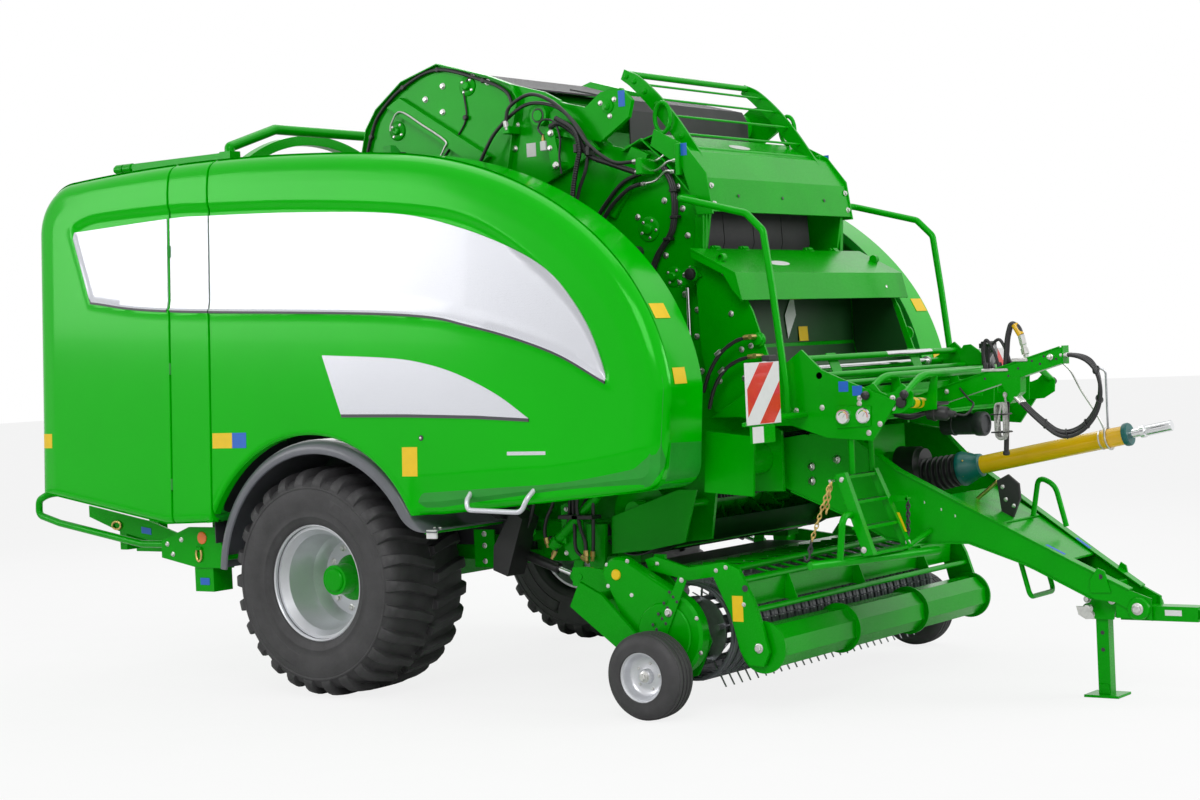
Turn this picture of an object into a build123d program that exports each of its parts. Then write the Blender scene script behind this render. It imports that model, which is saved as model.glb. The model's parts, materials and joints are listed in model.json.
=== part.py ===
"""Round baler with a combined bale wrapper, towed: one solid or group of solids per node.

Millimetres. While it is modelled, X runs forward from the main axle, Y to the left and
Z up from the ground.  On export everything moves along X so that the origin lies on the
ground under the middle of the machine.
"""
from build123d import *
import math
import os

# ---------------------------------------------------------------- driving dimensions
TYRE_R = 595.0            # main tyre, outer radius over the lugs
TYRE_OUT = 1430.0         # outer side wall of a main tyre, from the centre plane
TYRE_IN = 830.0           # inner side wall
LUGS, LUG_H = 26, 34.0    # tread bars on each side of a main tyre, and their height
RIM_R = 290.0             # bead seat radius
SPINDLE_R = 45.0
RUN_FIT = 0.05            # radial clearance of every running fit
GAP = 6.0                 # space between covers that move apart

RAIL_IN, RAIL_OUT = 650.0, 760.0     # main rails, inner and outer face
RAIL_Z = 665.0                       # underside of the main rails
RAIL_TOP = 865.0                     # their top under the chamber
RAIL_TOP_REAR = 745.0                # their top under the wrapping ring
RAIL_REAR, RAIL_FRONT = -2030.0, 1600.0
AXLE_H = 140.0

SIDE_IN, SIDE_OUT = 630.0, 650.0     # chamber side plates
SIDE_FOOT = 700.0                    # their lower edge
CHAMBER_X, CHAMBER_Z, CHAMBER_R = 620.0, 1900.0, 880.0
ROLLER_R = 90.0
GATE_IN, GATE_OUT = 668.0, 690.0     # side plates of the lifting upper chamber
GATE_PIVOT = (1070.0, 2930.0)
ROTOR_X, ROTOR_Z, ROTOR_R = 1620.0, 930.0, 195.0

BEAM_X, BEAM_Z, BEAM_R, BEAM_HALF = 2250.0, 1170.0, 75.0, 950.0

COVER_IN = 1100.0         # inner edge of the side covers
COVER_OUT = 1452.0        # outer face of a cover at COVER_FOOT_Z
COVER_FOOT_Z = 890.0
COVER_LEAN = 0.047        # how far the outer face leans in for each unit of height
COVER_WALL = 38.0
COVER_ROUND = 78.0
ARCH_X, ARCH_Z, ARCH_R = 30.0, 590.0, 775.0
SEAM_REAR, SEAM_FRONT = -960.0, -660.0
FENDER_X, FENDER_Z, FENDER_R, FENDER_T = 50.0, 600.0, 735.0, 14.0

PORTAL_X, PORTAL_TOP = -810.0, 2710.0
PORTAL_OUT = COVER_OUT - 172  # outer face of the portal posts, inside the covers
HOOP_R = 28.0
RING_X, RING_Z = -1190.0, 1980.0
RING_IN, RING_OUT, RING_W = 1035.0, 1092.0, 60.0
GUIDE_R = 40.0            # guide rollers round the ring
FILM_R, FILM_LEN, FILM_AT = 120.0, 620.0, 1090.0
TABLE_PIVOT = (-1985.0, 1215.0)
TABLE_HALF = 450.0

LIFT_PIVOT = (1420.0, 620.0)         # the pickup swings about this line
REEL_X, REEL_Z = 2050.0, 370.0
BAND_R, TINE_R = 232.0, 300.0
PICKUP_HALF = 1030.0
PICKUP_WALL = 18.0        # its side plates stand outside PICKUP_HALF
GUARD_PIVOT = (1900.0, 700.0)        # the crop guard swings on the pickup about this line
CROP_X, CROP_Z, CROP_R = 2477.0, 320.0, 105.0
DRIVE_OFF, DRIVE_W = 60.0, 82.0      # drive cover: distance from the side plate, thickness
GAUGE_X, GAUGE_R, GAUGE_W = 2015.0, 205.0, 165.0
GAUGE_ARM_T = 22.0

LID_PIVOT = (2005.0, 2200.0)
LID_HALF = 830.0
JACK_PIVOT = (3700.0, 420.0)
HAND_Y = 855.0            # hand rails beside the net box
EYE_X, EYE_Z, EYE_R, EYE_BORE, EYE_T = 4220.0, 400.0, 62.0, 25.5, 45.0
PTO_A = (2870.0, 1045.0)             # middle of the joint at the gearbox end
PTO_B = (4067.0, 1262.0)             # free end of the splined shaft
PTO_R, PTO_SPLINE = 23.0, 120.0      # splined end
PTO_CORE = 19.0                      # shaft inside the guard tube
DOOR_PIN = (1075.0, 2770.0)          # front doors lift about these lines (y, z)
PIN_R, KNUCKLE_R = 8.0, 15.0
SWING_OFF = 11.0                     # rear doors swing this far outside the skin
BUMPER_REAR = -2236.0
BUMPER_R = 20.0

SHIFT = -((EYE_X + EYE_R) + (BUMPER_REAR - BUMPER_R)) / 2

nodes = {}


# ---------------------------------------------------------------- helpers
def box(x0, x1, y0, y1, z0, z1):
    """A block between two corners."""
    block = Box(x1 - x0, y1 - y0, z1 - z0)
    return Pos((x0 + x1) / 2, (y0 + y1) / 2, (z0 + z1) / 2) * block


def face_of(points):
    """A flat face with straight edges through points in space."""
    return Face(Wire.make_polygon([Vector(*p) for p in points], close=True))


def plate_xz(outline, y0, y1):
    """A side plate: an outline of (x, z) corners, from y0 to y1."""
    face = face_of([(x, y0, z) for x, z in outline])
    return Solid.extrude(face, Vector(0, y1 - y0, 0))


def plate_line(start, end, outline, thickness):
    """A plate standing over the plan line start-end, given by (x, z) corners."""
    (xa, ya), (xb, yb) = start, end
    slope = (yb - ya) / (xb - xa)
    face = face_of([(x, ya + slope * (x - xa), z) for x, z in outline])
    length = math.hypot(1, slope)
    return Solid.extrude(face, Vector(-slope / length * thickness, thickness / length, 0))


def slab(corners, offset):
    """A plate with given corners in space, thickened by a vector."""
    return Solid.extrude(face_of(corners), Vector(*offset))


def bar(start, end, radius):
    """A round bar between two points in space."""
    a, b = Vector(*start), Vector(*end)
    return Solid.make_cylinder(radius, (b - a).length, Plane(origin=a, z_dir=b - a))


def disc_y(x, z, radius, y0, y1):
    """A round bar along Y."""
    return bar((x, min(y0, y1), z), (x, max(y0, y1), z), radius)


def pipe(points, radius, bend):
    """A round tube along straight runs joined by bends."""
    path = FilletPolyline(*[Vector(*p) for p in points], radius=bend)
    section = Plane(origin=path @ 0, z_dir=path % 0) * Circle(radius)
    return sweep(section, path=path)


def weld(*shapes):
    """All shapes joined to one."""
    flat = [s for shape in shapes for s in (shape if isinstance(shape, list) else [shape])]
    solids = [solid for shape in flat for solid in shape.solids()]
    if len(solids) == 1:
        return solids[0]
    return solids[0].fuse(*solids[1:])


def both(shape):
    """A right-hand shape and its mirror image on the left."""
    return [shape, mirror(shape, about=Plane.XZ)]


def left(shape):
    """The mirror image of a right-hand shape."""
    return mirror(shape, about=Plane.XZ)


def add(name, *shapes):
    """Keep a node: every solid of the shapes, welded where they touch."""
    nodes[name] = weld(*shapes)


# ---------------------------------------------------------------- chassis, axle, wheels
def main_rail():
    outline = [(RAIL_REAR, RAIL_Z), (RAIL_FRONT, RAIL_Z), (RAIL_FRONT, RAIL_TOP - 60),
               (RAIL_FRONT - 120, RAIL_TOP), (-420, RAIL_TOP), (-560, RAIL_TOP_REAR),
               (RAIL_REAR, RAIL_TOP_REAR)]
    return plate_xz(outline, -RAIL_OUT, -RAIL_IN)


def chassis_frame():
    """Two rails, their cross members and the posts that carry the tipping table."""
    cross = [box(x - 40, x + 40, -half, half, RAIL_Z, RAIL_TOP_REAR)
             for x, half in ((-1990, RAIL_IN), (-640, RAIL_IN), (250, SIDE_IN),
                             (1150, SIDE_IN))]
    cross += [box(x - 40, x + 40, -RAIL_IN, RAIL_IN, RAIL_Z, SIDE_FOOT)
              for x in (250, 1150)]
    table_post = box(-2030, -1950, -RAIL_IN, -RAIL_IN + 70, RAIL_TOP_REAR, 1250)
    table_pin = disc_y(*TABLE_PIVOT, 20, -RAIL_IN + 70, -TABLE_HALF - 20)
    add("chassis_frame", cross, [s for side in (main_rail(), table_post, table_pin)
                                 for s in both(side)])


def portal():
    """The frame in front of the ring, with the hoop above the covers."""
    x0, x1 = PORTAL_X - 40, PORTAL_X + 40
    outrigger = box(x0, x1, -PORTAL_OUT, -RAIL_OUT, RAIL_Z, RAIL_TOP_REAR)
    post = box(x0, x1, -PORTAL_OUT, -PORTAL_OUT + 80, RAIL_TOP_REAR, PORTAL_TOP - 70)
    lintel = box(x0, x1, -PORTAL_OUT, PORTAL_OUT, PORTAL_TOP - 70, PORTAL_TOP)
    knee = box(x0, x1, -1090, -1010, PORTAL_TOP, 2900)
    reach = RING_OUT + 5 + GUIDE_R
    start, end = RING_X + RING_W / 2 - 54, RING_X + RING_W / 2 + 5
    guides = []
    high = (reach * math.sin(math.radians(45)), RING_Z + reach * math.cos(math.radians(45)))
    low_y = (RAIL_IN + RAIL_OUT) / 2
    low = (low_y, RING_Z - math.sqrt(reach ** 2 - low_y ** 2))
    for y, z in (high, low):
        guides.append(bar((PORTAL_X - 40, -y, z), (start, -y, z), 15))
        guides.append(bar((start, -y, z), (end, -y, z), GUIDE_R))
    guides.append(box(x0, x1, -high[0] - 30, 30 - high[0], PORTAL_TOP, high[1] + 25))
    guides.append(box(x0, x1, -RAIL_OUT + 15, -RAIL_IN - 15, RAIL_TOP_REAR, low[1] + 25))
    add("portal_frame", both(outrigger), both(post), lintel, both(knee),
        [s for piece in guides for s in both(piece)])

    hoop = pipe([(PORTAL_X, -1050, 2900), (PORTAL_X, -1050, 2925), (PORTAL_X, -690, 3040),
                 (PORTAL_X, 690, 3040), (PORTAL_X, 1050, 2925), (PORTAL_X, 1050, 2900)],
                HOOP_R, 12)
    arm = box(-1560, x0, -1075, -1030, 2856, 2896)
    film_rollers = [bar((-1720, -1052, 2876), (-1560, -1052, 2876), 20),
                    bar((-1705, -1052, 2876), (-1650, -1052, 2876), 27),
                    bar((-1640, -1052, 2876), (-1580, -1052, 2876), 27)]
    add("roof_hoop", hoop, arm, film_rollers)


def yz_plate(corners, x0, x1):
    """A plate across the machine: an outline of (y, z) corners, from x0 to x1."""
    return slab([(x0, y, z) for y, z in corners], (x1 - x0, 0, 0))


# front door hinges: place along X, height of the rail under them
HINGES = ((-520.0, 2690.0), (420.0, 2647.0))


def door_rails():
    """Bent tubes inside the covers, with the ears and pins of the front doors."""
    y, z = DOOR_PIN
    tube = pipe([(PORTAL_X + 40, 25 - y, 2690), (-300, 25 - y, 2690), (700, 25 - y, 2630),
                 (1600, 25 - y, 2205), (1600, -SIDE_OUT, 2205)], 28, 90)
    ears, pins = [], []
    for x, rail_z in HINGES:
        for x0 in (x - 37, x + 25):
            ear = yz_plate([(-y - 16, z + 14), (16 - y, z + 14), (45 - y, rail_z), (5 - y, rail_z)],
                           x0, x0 + 12)
            ears.append(ear)
        pins.append(bar((x - 37, -y, z), (x + 37, -y, z), PIN_R))
    add("door_rails", both(tube), [s for piece in ears + pins for s in both(piece)])


def door_knuckles():
    """The halves of the lifting hinges that belong to the right front door."""
    y, z = DOOR_PIN
    out = []
    for x, _ in HINGES:
        roll = bar((x - 24, -y, z), (x + 24, -y, z), KNUCKLE_R)
        tab = yz_plate([(-y - 2, z - 12), (-y - 2, z + 12), (-COVER_IN - 20, 2816), (-COVER_IN - 60, 2816),
                        (-COVER_IN - 60, 2720), (-COVER_IN - 6, 2720)], x - 24, x + 24)
        out.append(weld(roll, tab) - bar((x - 50, -y, z), (x + 50, -y, z), PIN_R + RUN_FIT))
    return out


def swing_hinge(z, part):
    """Half of a rear door hinge at height z: "leaf" on the strip or "roll" on the door."""
    lean = COVER_LEAN * (z - COVER_FOOT_Z)
    up = Vector(0, COVER_LEAN, 1).normalized()
    out = Vector(0, -1, COVER_LEAN).normalized()
    foot = Vector(SEAM_REAR, lean - COVER_OUT, z) + out * SWING_OFF
    skin = Plane(origin=foot - out * (SWING_OFF + 2), x_dir=(1, 0, 0), z_dir=out)
    if part == "leaf":
        knuckle = Solid.make_cylinder(9, 30, Plane(origin=foot, z_dir=up))
        pin = Solid.make_cylinder(5, 60, Plane(origin=foot, z_dir=up))
        leaf = skin * Pos(23, 15, 4) * Box(46, 30, 8)
        return weld(knuckle, pin, leaf)
    start = foot + up * 30.3
    knuckle = Solid.make_cylinder(9, 29.7, Plane(origin=start, z_dir=up))
    leaf = skin * Pos(-27, 45.15, 4) * Box(46, 29.7, 8)
    hole = Solid.make_cylinder(5 + RUN_FIT, 80, Plane(origin=foot, z_dir=up))
    return weld(knuckle, leaf) - hole


def axle():
    """The axle beam under the rails, with a spindle at each end."""
    beam = box(-70, 70, -RAIL_OUT, RAIL_OUT, RAIL_Z - AXLE_H, RAIL_Z)
    collar = disc_y(0, TYRE_R, 75, -800, -RAIL_OUT)
    spindle = disc_y(0, TYRE_R, SPINDLE_R, -(TYRE_OUT + TYRE_IN) / 2 - 50, -800)
    add("axle_beam", beam, both(collar), both(spindle))


def ring_section(points, y_axis_z):
    """A body of revolution about the wheel axis at X 0, from (r, y) corners."""
    face = face_of([(r, y, y_axis_z) for r, y in points])
    return revolve(face, axis=Axis((0, 0, y_axis_z), (0, 1, 0)))


def faceted(points, x, z, sides):
    """A wheel body of flat facets about the line along Y at (x, z), from (r, y) corners."""
    corners = []
    for k in range(sides):
        turn = 2 * math.pi * (k + 0.5) / sides
        corners.append([Vector(x + r * math.sin(turn), y, z + r * math.cos(turn))
                        for r, y in points])
    faces = []
    for k, here in enumerate(corners):
        there = corners[(k + 1) % sides]
        for i in range(len(points)):
            j = (i + 1) % len(points)
            faces.append(Face(Wire.make_polygon([here[i], here[j], there[j], there[i]],
                                                close=True)))
    return Solid(Shell(faces))


def tread_bar(middle, half, side):
    """One lug at the top of a tyre: bent in plan, and cut to the tyre's shoulder."""
    bend = ((10, 40, 24), (85 - half, 14, 28), (-half - 5, 0, 33))   # y, x, half width
    ahead = [(x + w, side * y - middle, 0) for y, x, w in bend]
    behind = [(x - w, side * y - middle, 0) for y, x, w in reversed(bend)]
    plan = Solid.extrude(face_of(ahead + behind), Vector(0, 0, 2 * TYRE_R))
    top = TYRE_R - 3
    profile = [(20, top - 120), (20, top), (78 - half, top), (2 - half, top - 85),
               (25 - half, top - 120)]
    shoulder = Solid.extrude(face_of([(-200, side * y - middle, z) for y, z in profile]),
                             Vector(400, 0, 0))
    return Pos(0, 0, TYRE_R) * (plan & shoulder)


def main_wheel():
    """Tyre and rim of the right main wheel, with the axis through X 0."""
    middle = (TYRE_OUT + TYRE_IN) / 2
    half = (TYRE_OUT - TYRE_IN) / 2
    seat = RIM_R / math.cos(math.pi / LUGS)
    base = TYRE_R - LUG_H
    carcass = [(seat, half - 60), (480, half), (base, half - 100),
               (base, 100 - half), (480, -half), (seat, 60 - half)]
    tyre = faceted([(r, y - middle) for r, y in carcass], 0, TYRE_R, LUGS)
    axle_line = Axis((0, 0, TYRE_R), (0, 1, 0))
    pitch = 360 / LUGS
    near, far = (tread_bar(middle, half, side) for side in (1, -1))
    bars = [near.rotate(axle_line, pitch * k) for k in range(LUGS)]
    bars += [far.rotate(axle_line, pitch * (k + 0.5)) for k in range(LUGS)]
    tyre = tyre.fuse(*bars)
    rim_points = [(RIM_R, half - 60), (RIM_R, 60 - half), (RIM_R - 14, 60 - half),
                  (RIM_R - 40, 100 - half), (RIM_R - 60, -40), (RIM_R - 90, 30),
                  (SPINDLE_R + RUN_FIT, 30), (SPINDLE_R + RUN_FIT, 110), (95, 110),
                  (110, 50), (RIM_R - 90, 50), (RIM_R - 40, half - 100),
                  (RIM_R - 14, half - 60)]
    rim = ring_section([(r, -middle + y) for r, y in rim_points], TYRE_R)
    hub = bar((0, -middle - 126, TYRE_R), (0, -middle - 56, TYRE_R), 62)
    hub_ring = ring_section([(r, -middle + y) for r, y in
                             ((62, -126), (62, -50), (95, 30), (120, 30), (120, 15),
                              (80, -30), (78, -126))], TYRE_R)
    return tyre, rim, hub, hub_ring


def wheels():
    tyre, rim, hub, hub_ring = main_wheel()
    add("tyre_right", tyre)
    add("rim_right", rim, hub, hub_ring)
    add("tyre_left", left(nodes["tyre_right"]))
    add("rim_left", left(nodes["rim_right"]))


def fenders():
    """Mudguard arcs on two stays each."""
    centre = Plane(origin=(FENDER_X, -TYRE_OUT, FENDER_Z), z_dir=(0, 1, 0))
    width = TYRE_OUT - 860
    shell = Solid.make_cylinder(FENDER_R, width, centre)
    shell -= Solid.make_cylinder(FENDER_R - FENDER_T, width, centre)
    lip = Solid.make_cylinder(FENDER_R, FENDER_T, centre)
    lip -= Solid.make_cylinder(FENDER_R - 75, FENDER_T, centre)
    shell = shell.fuse(lip)
    shell -= box(-900, 1000, -1500, -800, -200, FENDER_Z + 60)
    shell -= plate_xz([(FENDER_X, FENDER_Z), (1000, FENDER_Z + 400), (1000, 0)], -1500, -800)
    tail = plate_xz([(715, 872), (728, 868), (850, 870), (850, 884), (735, 886)], -TYRE_OUT, -860)
    rear_stay = disc_y(-648, 712, 14, -1400, -RAIL_OUT)
    front_stay = disc_y(692, 880, 14, -1400, -RAIL_IN - 30)
    add("fenders", [s for part in (shell, tail, rear_stay, front_stay) for s in both(part)])


# ---------------------------------------------------------------- side covers
def cover_outline(inset):
    """The covers' side outline as a flat face in local (x, z)."""
    i = inset
    top_mid, top_end = (-750, 2830 - i), (583, 2756 - i)
    arc_x, arc_z = 1940 - i, 1320 - i
    start = math.degrees(math.acos((top_end[0] - 300) / arc_x))
    arch = EllipticalCenterArc((300, 1450), arc_x, arc_z, start_angle=4, arc_size=start - 4)
    nose, top_end = arch @ 0, arch @ 1
    rear_low, rear_high = (-2040 + i, 1070 + i), (-2050 + i, 2520)
    shoulder = (-1770, 2797 - i)
    corner = ThreePointArc(rear_high, (-1965 + 0.7 * i, 2715 - 0.7 * i), shoulder)
    top = ThreePointArc(shoulder, top_mid, top_end)
    chin_high, chin_low = (2208 - i, 1190), (2100, 1072 + i)
    front = Line(nose, chin_high)
    chin = ThreePointArc(chin_high, (2178 - 0.7 * i, 1110 + 0.7 * i), chin_low)
    lower = Polyline(chin_low, (900, 962 + i), (-1015, 900 + i), rear_low, rear_high)
    return make_face([corner, top, arch, front, chin, lower])


def cover_block(wall):
    """The right cover without seams, or with a wall the space inside it."""
    inner = Plane(origin=(0, -COVER_IN + wall, 0), x_dir=(1, 0, 0), z_dir=(0, -1, 0))
    sections = [inner * cover_outline(wall)]
    for turn in (0, 45, 90):
        side = COVER_ROUND * (1 - math.cos(math.radians(turn))) * 0.8
        depth = COVER_ROUND * (1 - math.sin(math.radians(turn)))
        foot = COVER_OUT - wall - depth
        leaned = Plane(origin=(0, -foot - COVER_LEAN * COVER_FOOT_Z, 0), x_dir=(1, 0, 0),
                       z_dir=(0, -1, COVER_LEAN))
        sections.append(leaned * cover_outline(wall + side))
    return loft(sections, ruled=True)


def covers():
    """Front door, fixed strip and rear door of the right side, then the left ones."""
    skin = cover_block(0) - cover_block(COVER_WALL)
    skin -= disc_y(ARCH_X, ARCH_Z, ARCH_R, -1600, -1000)
    spans = [("front_door", SEAM_FRONT + GAP, 2300), ("rear_door", -2200, SEAM_REAR - GAP),
             ("side_strip", SEAM_REAR + GAP, SEAM_FRONT - GAP)]
    heights = (1080, 1700, 2330)
    for name, x0, x1 in spans:
        piece = skin & box(x0, x1, -1600, -1000, 600, 3000)
        if name == "side_strip":
            piece -= box(PORTAL_X - 40 - GAP, PORTAL_X + 40 + GAP, -PORTAL_OUT - GAP,
                         80 + GAP - PORTAL_OUT, 800, 1000)
            ties = [box(PORTAL_X - 40, PORTAL_X + 40,
                        -COVER_OUT + COVER_LEAN * (z - COVER_FOOT_Z) + 25, -PORTAL_OUT, z - 30, z + 30)
                    for z in (1330, 2230)]
            leaves = [swing_hinge(z, "leaf") for z in heights]
            add("side_strips", both(weld(piece, ties, leaves)))
            continue
        extra = door_knuckles() if name == "front_door" else [swing_hinge(z, "roll") for z in heights]
        piece = weld(piece, extra)
        add(name + "_right", piece)
        add(name + "_left", left(piece))


# ---------------------------------------------------------------- bale chamber
def chamber():
    """Fixed side plates, the bottom rollers, the lifting upper chamber and the belts."""
    outline = [(-330, SIDE_FOOT), (1480, SIDE_FOOT), (1600, 740), (1950, 775),
               (1990, 1010), (2375, 1010), (2375, 1300), (2240, 1370), (2060, 1400),
               (2000, 1700), (1985, 2150), (2030, 2400), (2010, 2530), (1900, 2660), (1560, 2720), (1460, 2745),
               (1190, 2985), (1120, 3010), (1020, 3010), (960, 2950), (975, 2600),
               (700, 2180), (0, 2120), (-330, 1600)]
    side = plate_xz(outline, -SIDE_OUT, -SIDE_IN)
    side -= disc_y(BEAM_X, BEAM_Z, BEAM_R, -700, -600)
    side -= disc_y(*GATE_PIVOT, 30, -700, -600)
    boss = disc_y(*GATE_PIVOT, 28, -GATE_OUT - 50, -SIDE_IN)
    ties = [disc_y(x, z, 22, -SIDE_IN, SIDE_IN)
            for x, z in ((1700, 2600), (1880, 1750), (1930, 1150), (-270, 900))]
    floor = plate_xz([(1395, 740), (1405, 730), (1500, 712), (1620, 706), (1735, 728),
                      (1730, 740), (1620, 720), (1503, 726), (1410, 744)],
                     -SIDE_IN, SIDE_IN)
    wing = plate_xz([(1490, 715), (1720, 738), (1930, 778), (2010, 1033), (1900, 1033),
                     (1500, 900)], -850, -842)
    wing_ties = [disc_y(x, z, 18, -842, -SIDE_OUT) for x, z in ((1650, 800), (1930, 960))]
    add("chamber_sides", both(side), both(boss), ties, floor,
        [s for piece in [wing] + wing_ties for s in both(piece)])

    angles = (0, -25, -62, -85, -108, -131, -154)
    rollers = []
    for angle in angles:
        a = math.radians(angle)
        x, z = CHAMBER_X + CHAMBER_R * math.cos(a), CHAMBER_Z + CHAMBER_R * math.sin(a)
        rollers.append(disc_y(x, z, ROLLER_R, -SIDE_IN, SIDE_IN))
    rollers.append(disc_y(1420, 2900, 78, -SIDE_IN, SIDE_IN))
    nodes["chamber_rollers"] = Compound(rollers)


def upper_chamber():
    """The upper chamber that lifts to let the bale out, hung on GATE_PIVOT."""
    outline = [(-160, 2814), (-114, 2972), (-36, 3072), (150, 3203), (398, 3271),
               (730, 3172), (890, 3108), (1081, 3052), (1174, 3002), (1409, 2728),
               (1054, 2581), (800, 2330), (0, 2230), (-215, 2400), (-240, 2620)]
    side = plate_xz(outline, -GATE_OUT, -GATE_IN)
    side -= disc_y(*GATE_PIVOT, 28 + RUN_FIT, -800, -600)
    hub = disc_y(*GATE_PIVOT, 52, -GATE_OUT - 45, -GATE_OUT)
    hub -= disc_y(*GATE_PIVOT, 28 + RUN_FIT, -800, -600)
    lever = plate_xz([(1120, 2925), (1202, 2985), (1356, 2945), (1453, 3010), (1576, 3018),
                      (1640, 2952), (1617, 2870), (1440, 2763), (1300, 2800), (1130, 2840)],
                     -GATE_OUT - 26, -GATE_OUT)
    lever -= disc_y(*GATE_PIVOT, 60, -800, -600)
    tubes = [disc_y(x, z, r, -GATE_IN, GATE_IN) for x, z, r in
             ((-150, 2500, 60), (-90, 2860, 60), (120, 3100, 60), (430, 3150, 60),
              (760, 3055, 55), (420, 2560, 55))]
    back = slab([(-205, -GATE_IN, 2420), (-205, GATE_IN, 2420), (-140, GATE_IN, 2820),
                 (-140, -GATE_IN, 2820)], (8, 0, 0))
    add("upper_chamber", both(side), both(hub), both(lever), tubes, back)

    band = plate_xz([(430, 3226), (700, 3142), (905, 3090), (905, 3098), (702, 3150),
                     (432, 3234)], -560, 560)
    nodes["belt_top"] = band
    front = plate_xz([(1150, 3060), (1410, 2992), (1475, 2972), (1508, 2920), (1508, 2740),
                      (1516, 2740), (1516, 2922), (1482, 2980), (1412, 3000), (1152, 3068)],
                     -560, 560)
    nodes["belt_front"] = front


def feed_rotor():
    """The tined rotor that carries the crop into the chamber."""
    shaft = disc_y(ROTOR_X, ROTOR_Z, 70, -590, 590)
    stub = disc_y(ROTOR_X, ROTOR_Z, 25, -SIDE_IN + GAP, SIDE_IN - GAP)
    stars = []
    for k in range(9):
        y = -520 + 130 * k
        for j in range(4):
            a = math.radians(90 * j + 12 * k)
            tip = (ROTOR_X + ROTOR_R * math.cos(a), ROTOR_Z + ROTOR_R * math.sin(a))
            side = (-math.sin(a) * 50, math.cos(a) * 50)
            root = (ROTOR_X + side[0], ROTOR_Z + side[1])
            other = (ROTOR_X - side[0], ROTOR_Z - side[1])
            stars.append(plate_xz([root, other, tip], y - 6, y + 6))
    add("feed_rotor", shaft, stub, stars)


# ---------------------------------------------------------------- front of the machine
def front_beam():
    """The round cross beam with its end plates and the gearbox on it."""
    tube = disc_y(BEAM_X, BEAM_Z, BEAM_R, -BEAM_HALF, BEAM_HALF)
    end = plate_xz([(2130, 1030), (2400, 1010), (2420, 1290), (2150, 1320)],
                   -BEAM_HALF - 16, -BEAM_HALF)
    add("front_beam", tube, both(end))
    case = box(2325, 2600, -170, 170, 985, 1290)
    nose = bar((2600, 0, 1096), (2660, 0, 1096), 60)
    add("gearbox", case, nose)


DRAW_REAR, DRAW_NOSE = (2330.0, -560.0), (3960.0, -62.0)
DRAW_T = 14.0


def drawbar():
    """Two deep plates that meet at the hitch, with a top and a bottom plate."""
    outline = [(2330, 1020), (2620, 880), (2800, 770), (2935, 746), (3170, 742), (3420, 638),
               (3716, 469), (3800, 455), (3960, 366), (3960, 470), (3865, 510), (3624, 644),
               (2860, 1085), (2665, 1244), (2430, 1275), (2330, 1260)]
    side = plate_line(DRAW_REAR, DRAW_NOSE, outline, DRAW_T)

    def y_at(x):
        slope = (DRAW_NOSE[1] - DRAW_REAR[1]) / (DRAW_NOSE[0] - DRAW_REAR[0])
        return DRAW_REAR[1] + slope * (x - DRAW_REAR[0]) + DRAW_T

    def web(xa, za, xb, zb, thick):
        ya, yb = y_at(xa), y_at(xb)
        return slab([(xa, ya, za), (xa, -ya, za), (xb, -yb, zb), (xb, yb, zb)],
                    (0, 0, -thick))

    top = web(3040, 962, 3600, 655, 10)
    bottom = web(3180, 752, 3700, 490, 10)
    nose = box(3640, 3800, -48, 48, 478, 545)
    cheek = slab([(3800, -97, 380), (3940, -54, 380), (3940, -46, 380), (3800, -46, 380)],
                 (0, 0, 90))
    hoop = pipe([(3335, -130, 680), (3390, -130, 470), (3390, 130, 470), (3335, 130, 680)], 12, 30)
    add("drawbar", both(side), top, bottom, nose, both(cheek), hoop)

    shank = box(3800, EYE_X - EYE_R + 15, -46, 46, EYE_Z - 34, EYE_Z + 34)
    ring = Pos(EYE_X, 0, EYE_Z) * Cylinder(EYE_R, EYE_T)
    eye = weld(shank, ring) - Pos(EYE_X, 0, EYE_Z) * Cylinder(EYE_BORE, 200)
    add("hitch_eye", eye)


def jack():
    """The parking jack: two ears under the drawbar and a leg that folds back."""
    x, z = JACK_PIVOT
    ear = plate_xz([(x - 60, z - 55), (x + 65, z - 55), (x + 98, 478), (x - 60, 478)], -48, -38)
    pin = disc_y(x, z, 12, -48, 48)
    add("jack_bracket", both(ear), pin)
    leg = box(x - 30, x + 30, -30, 30, 12, z + 35)
    foot = box(x - 85, x + 85, -75, 75, 0, 12)
    leg = weld(leg, foot) - disc_y(x, z, 12 + RUN_FIT, -60, 60)
    add("jack_leg", leg)


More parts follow.
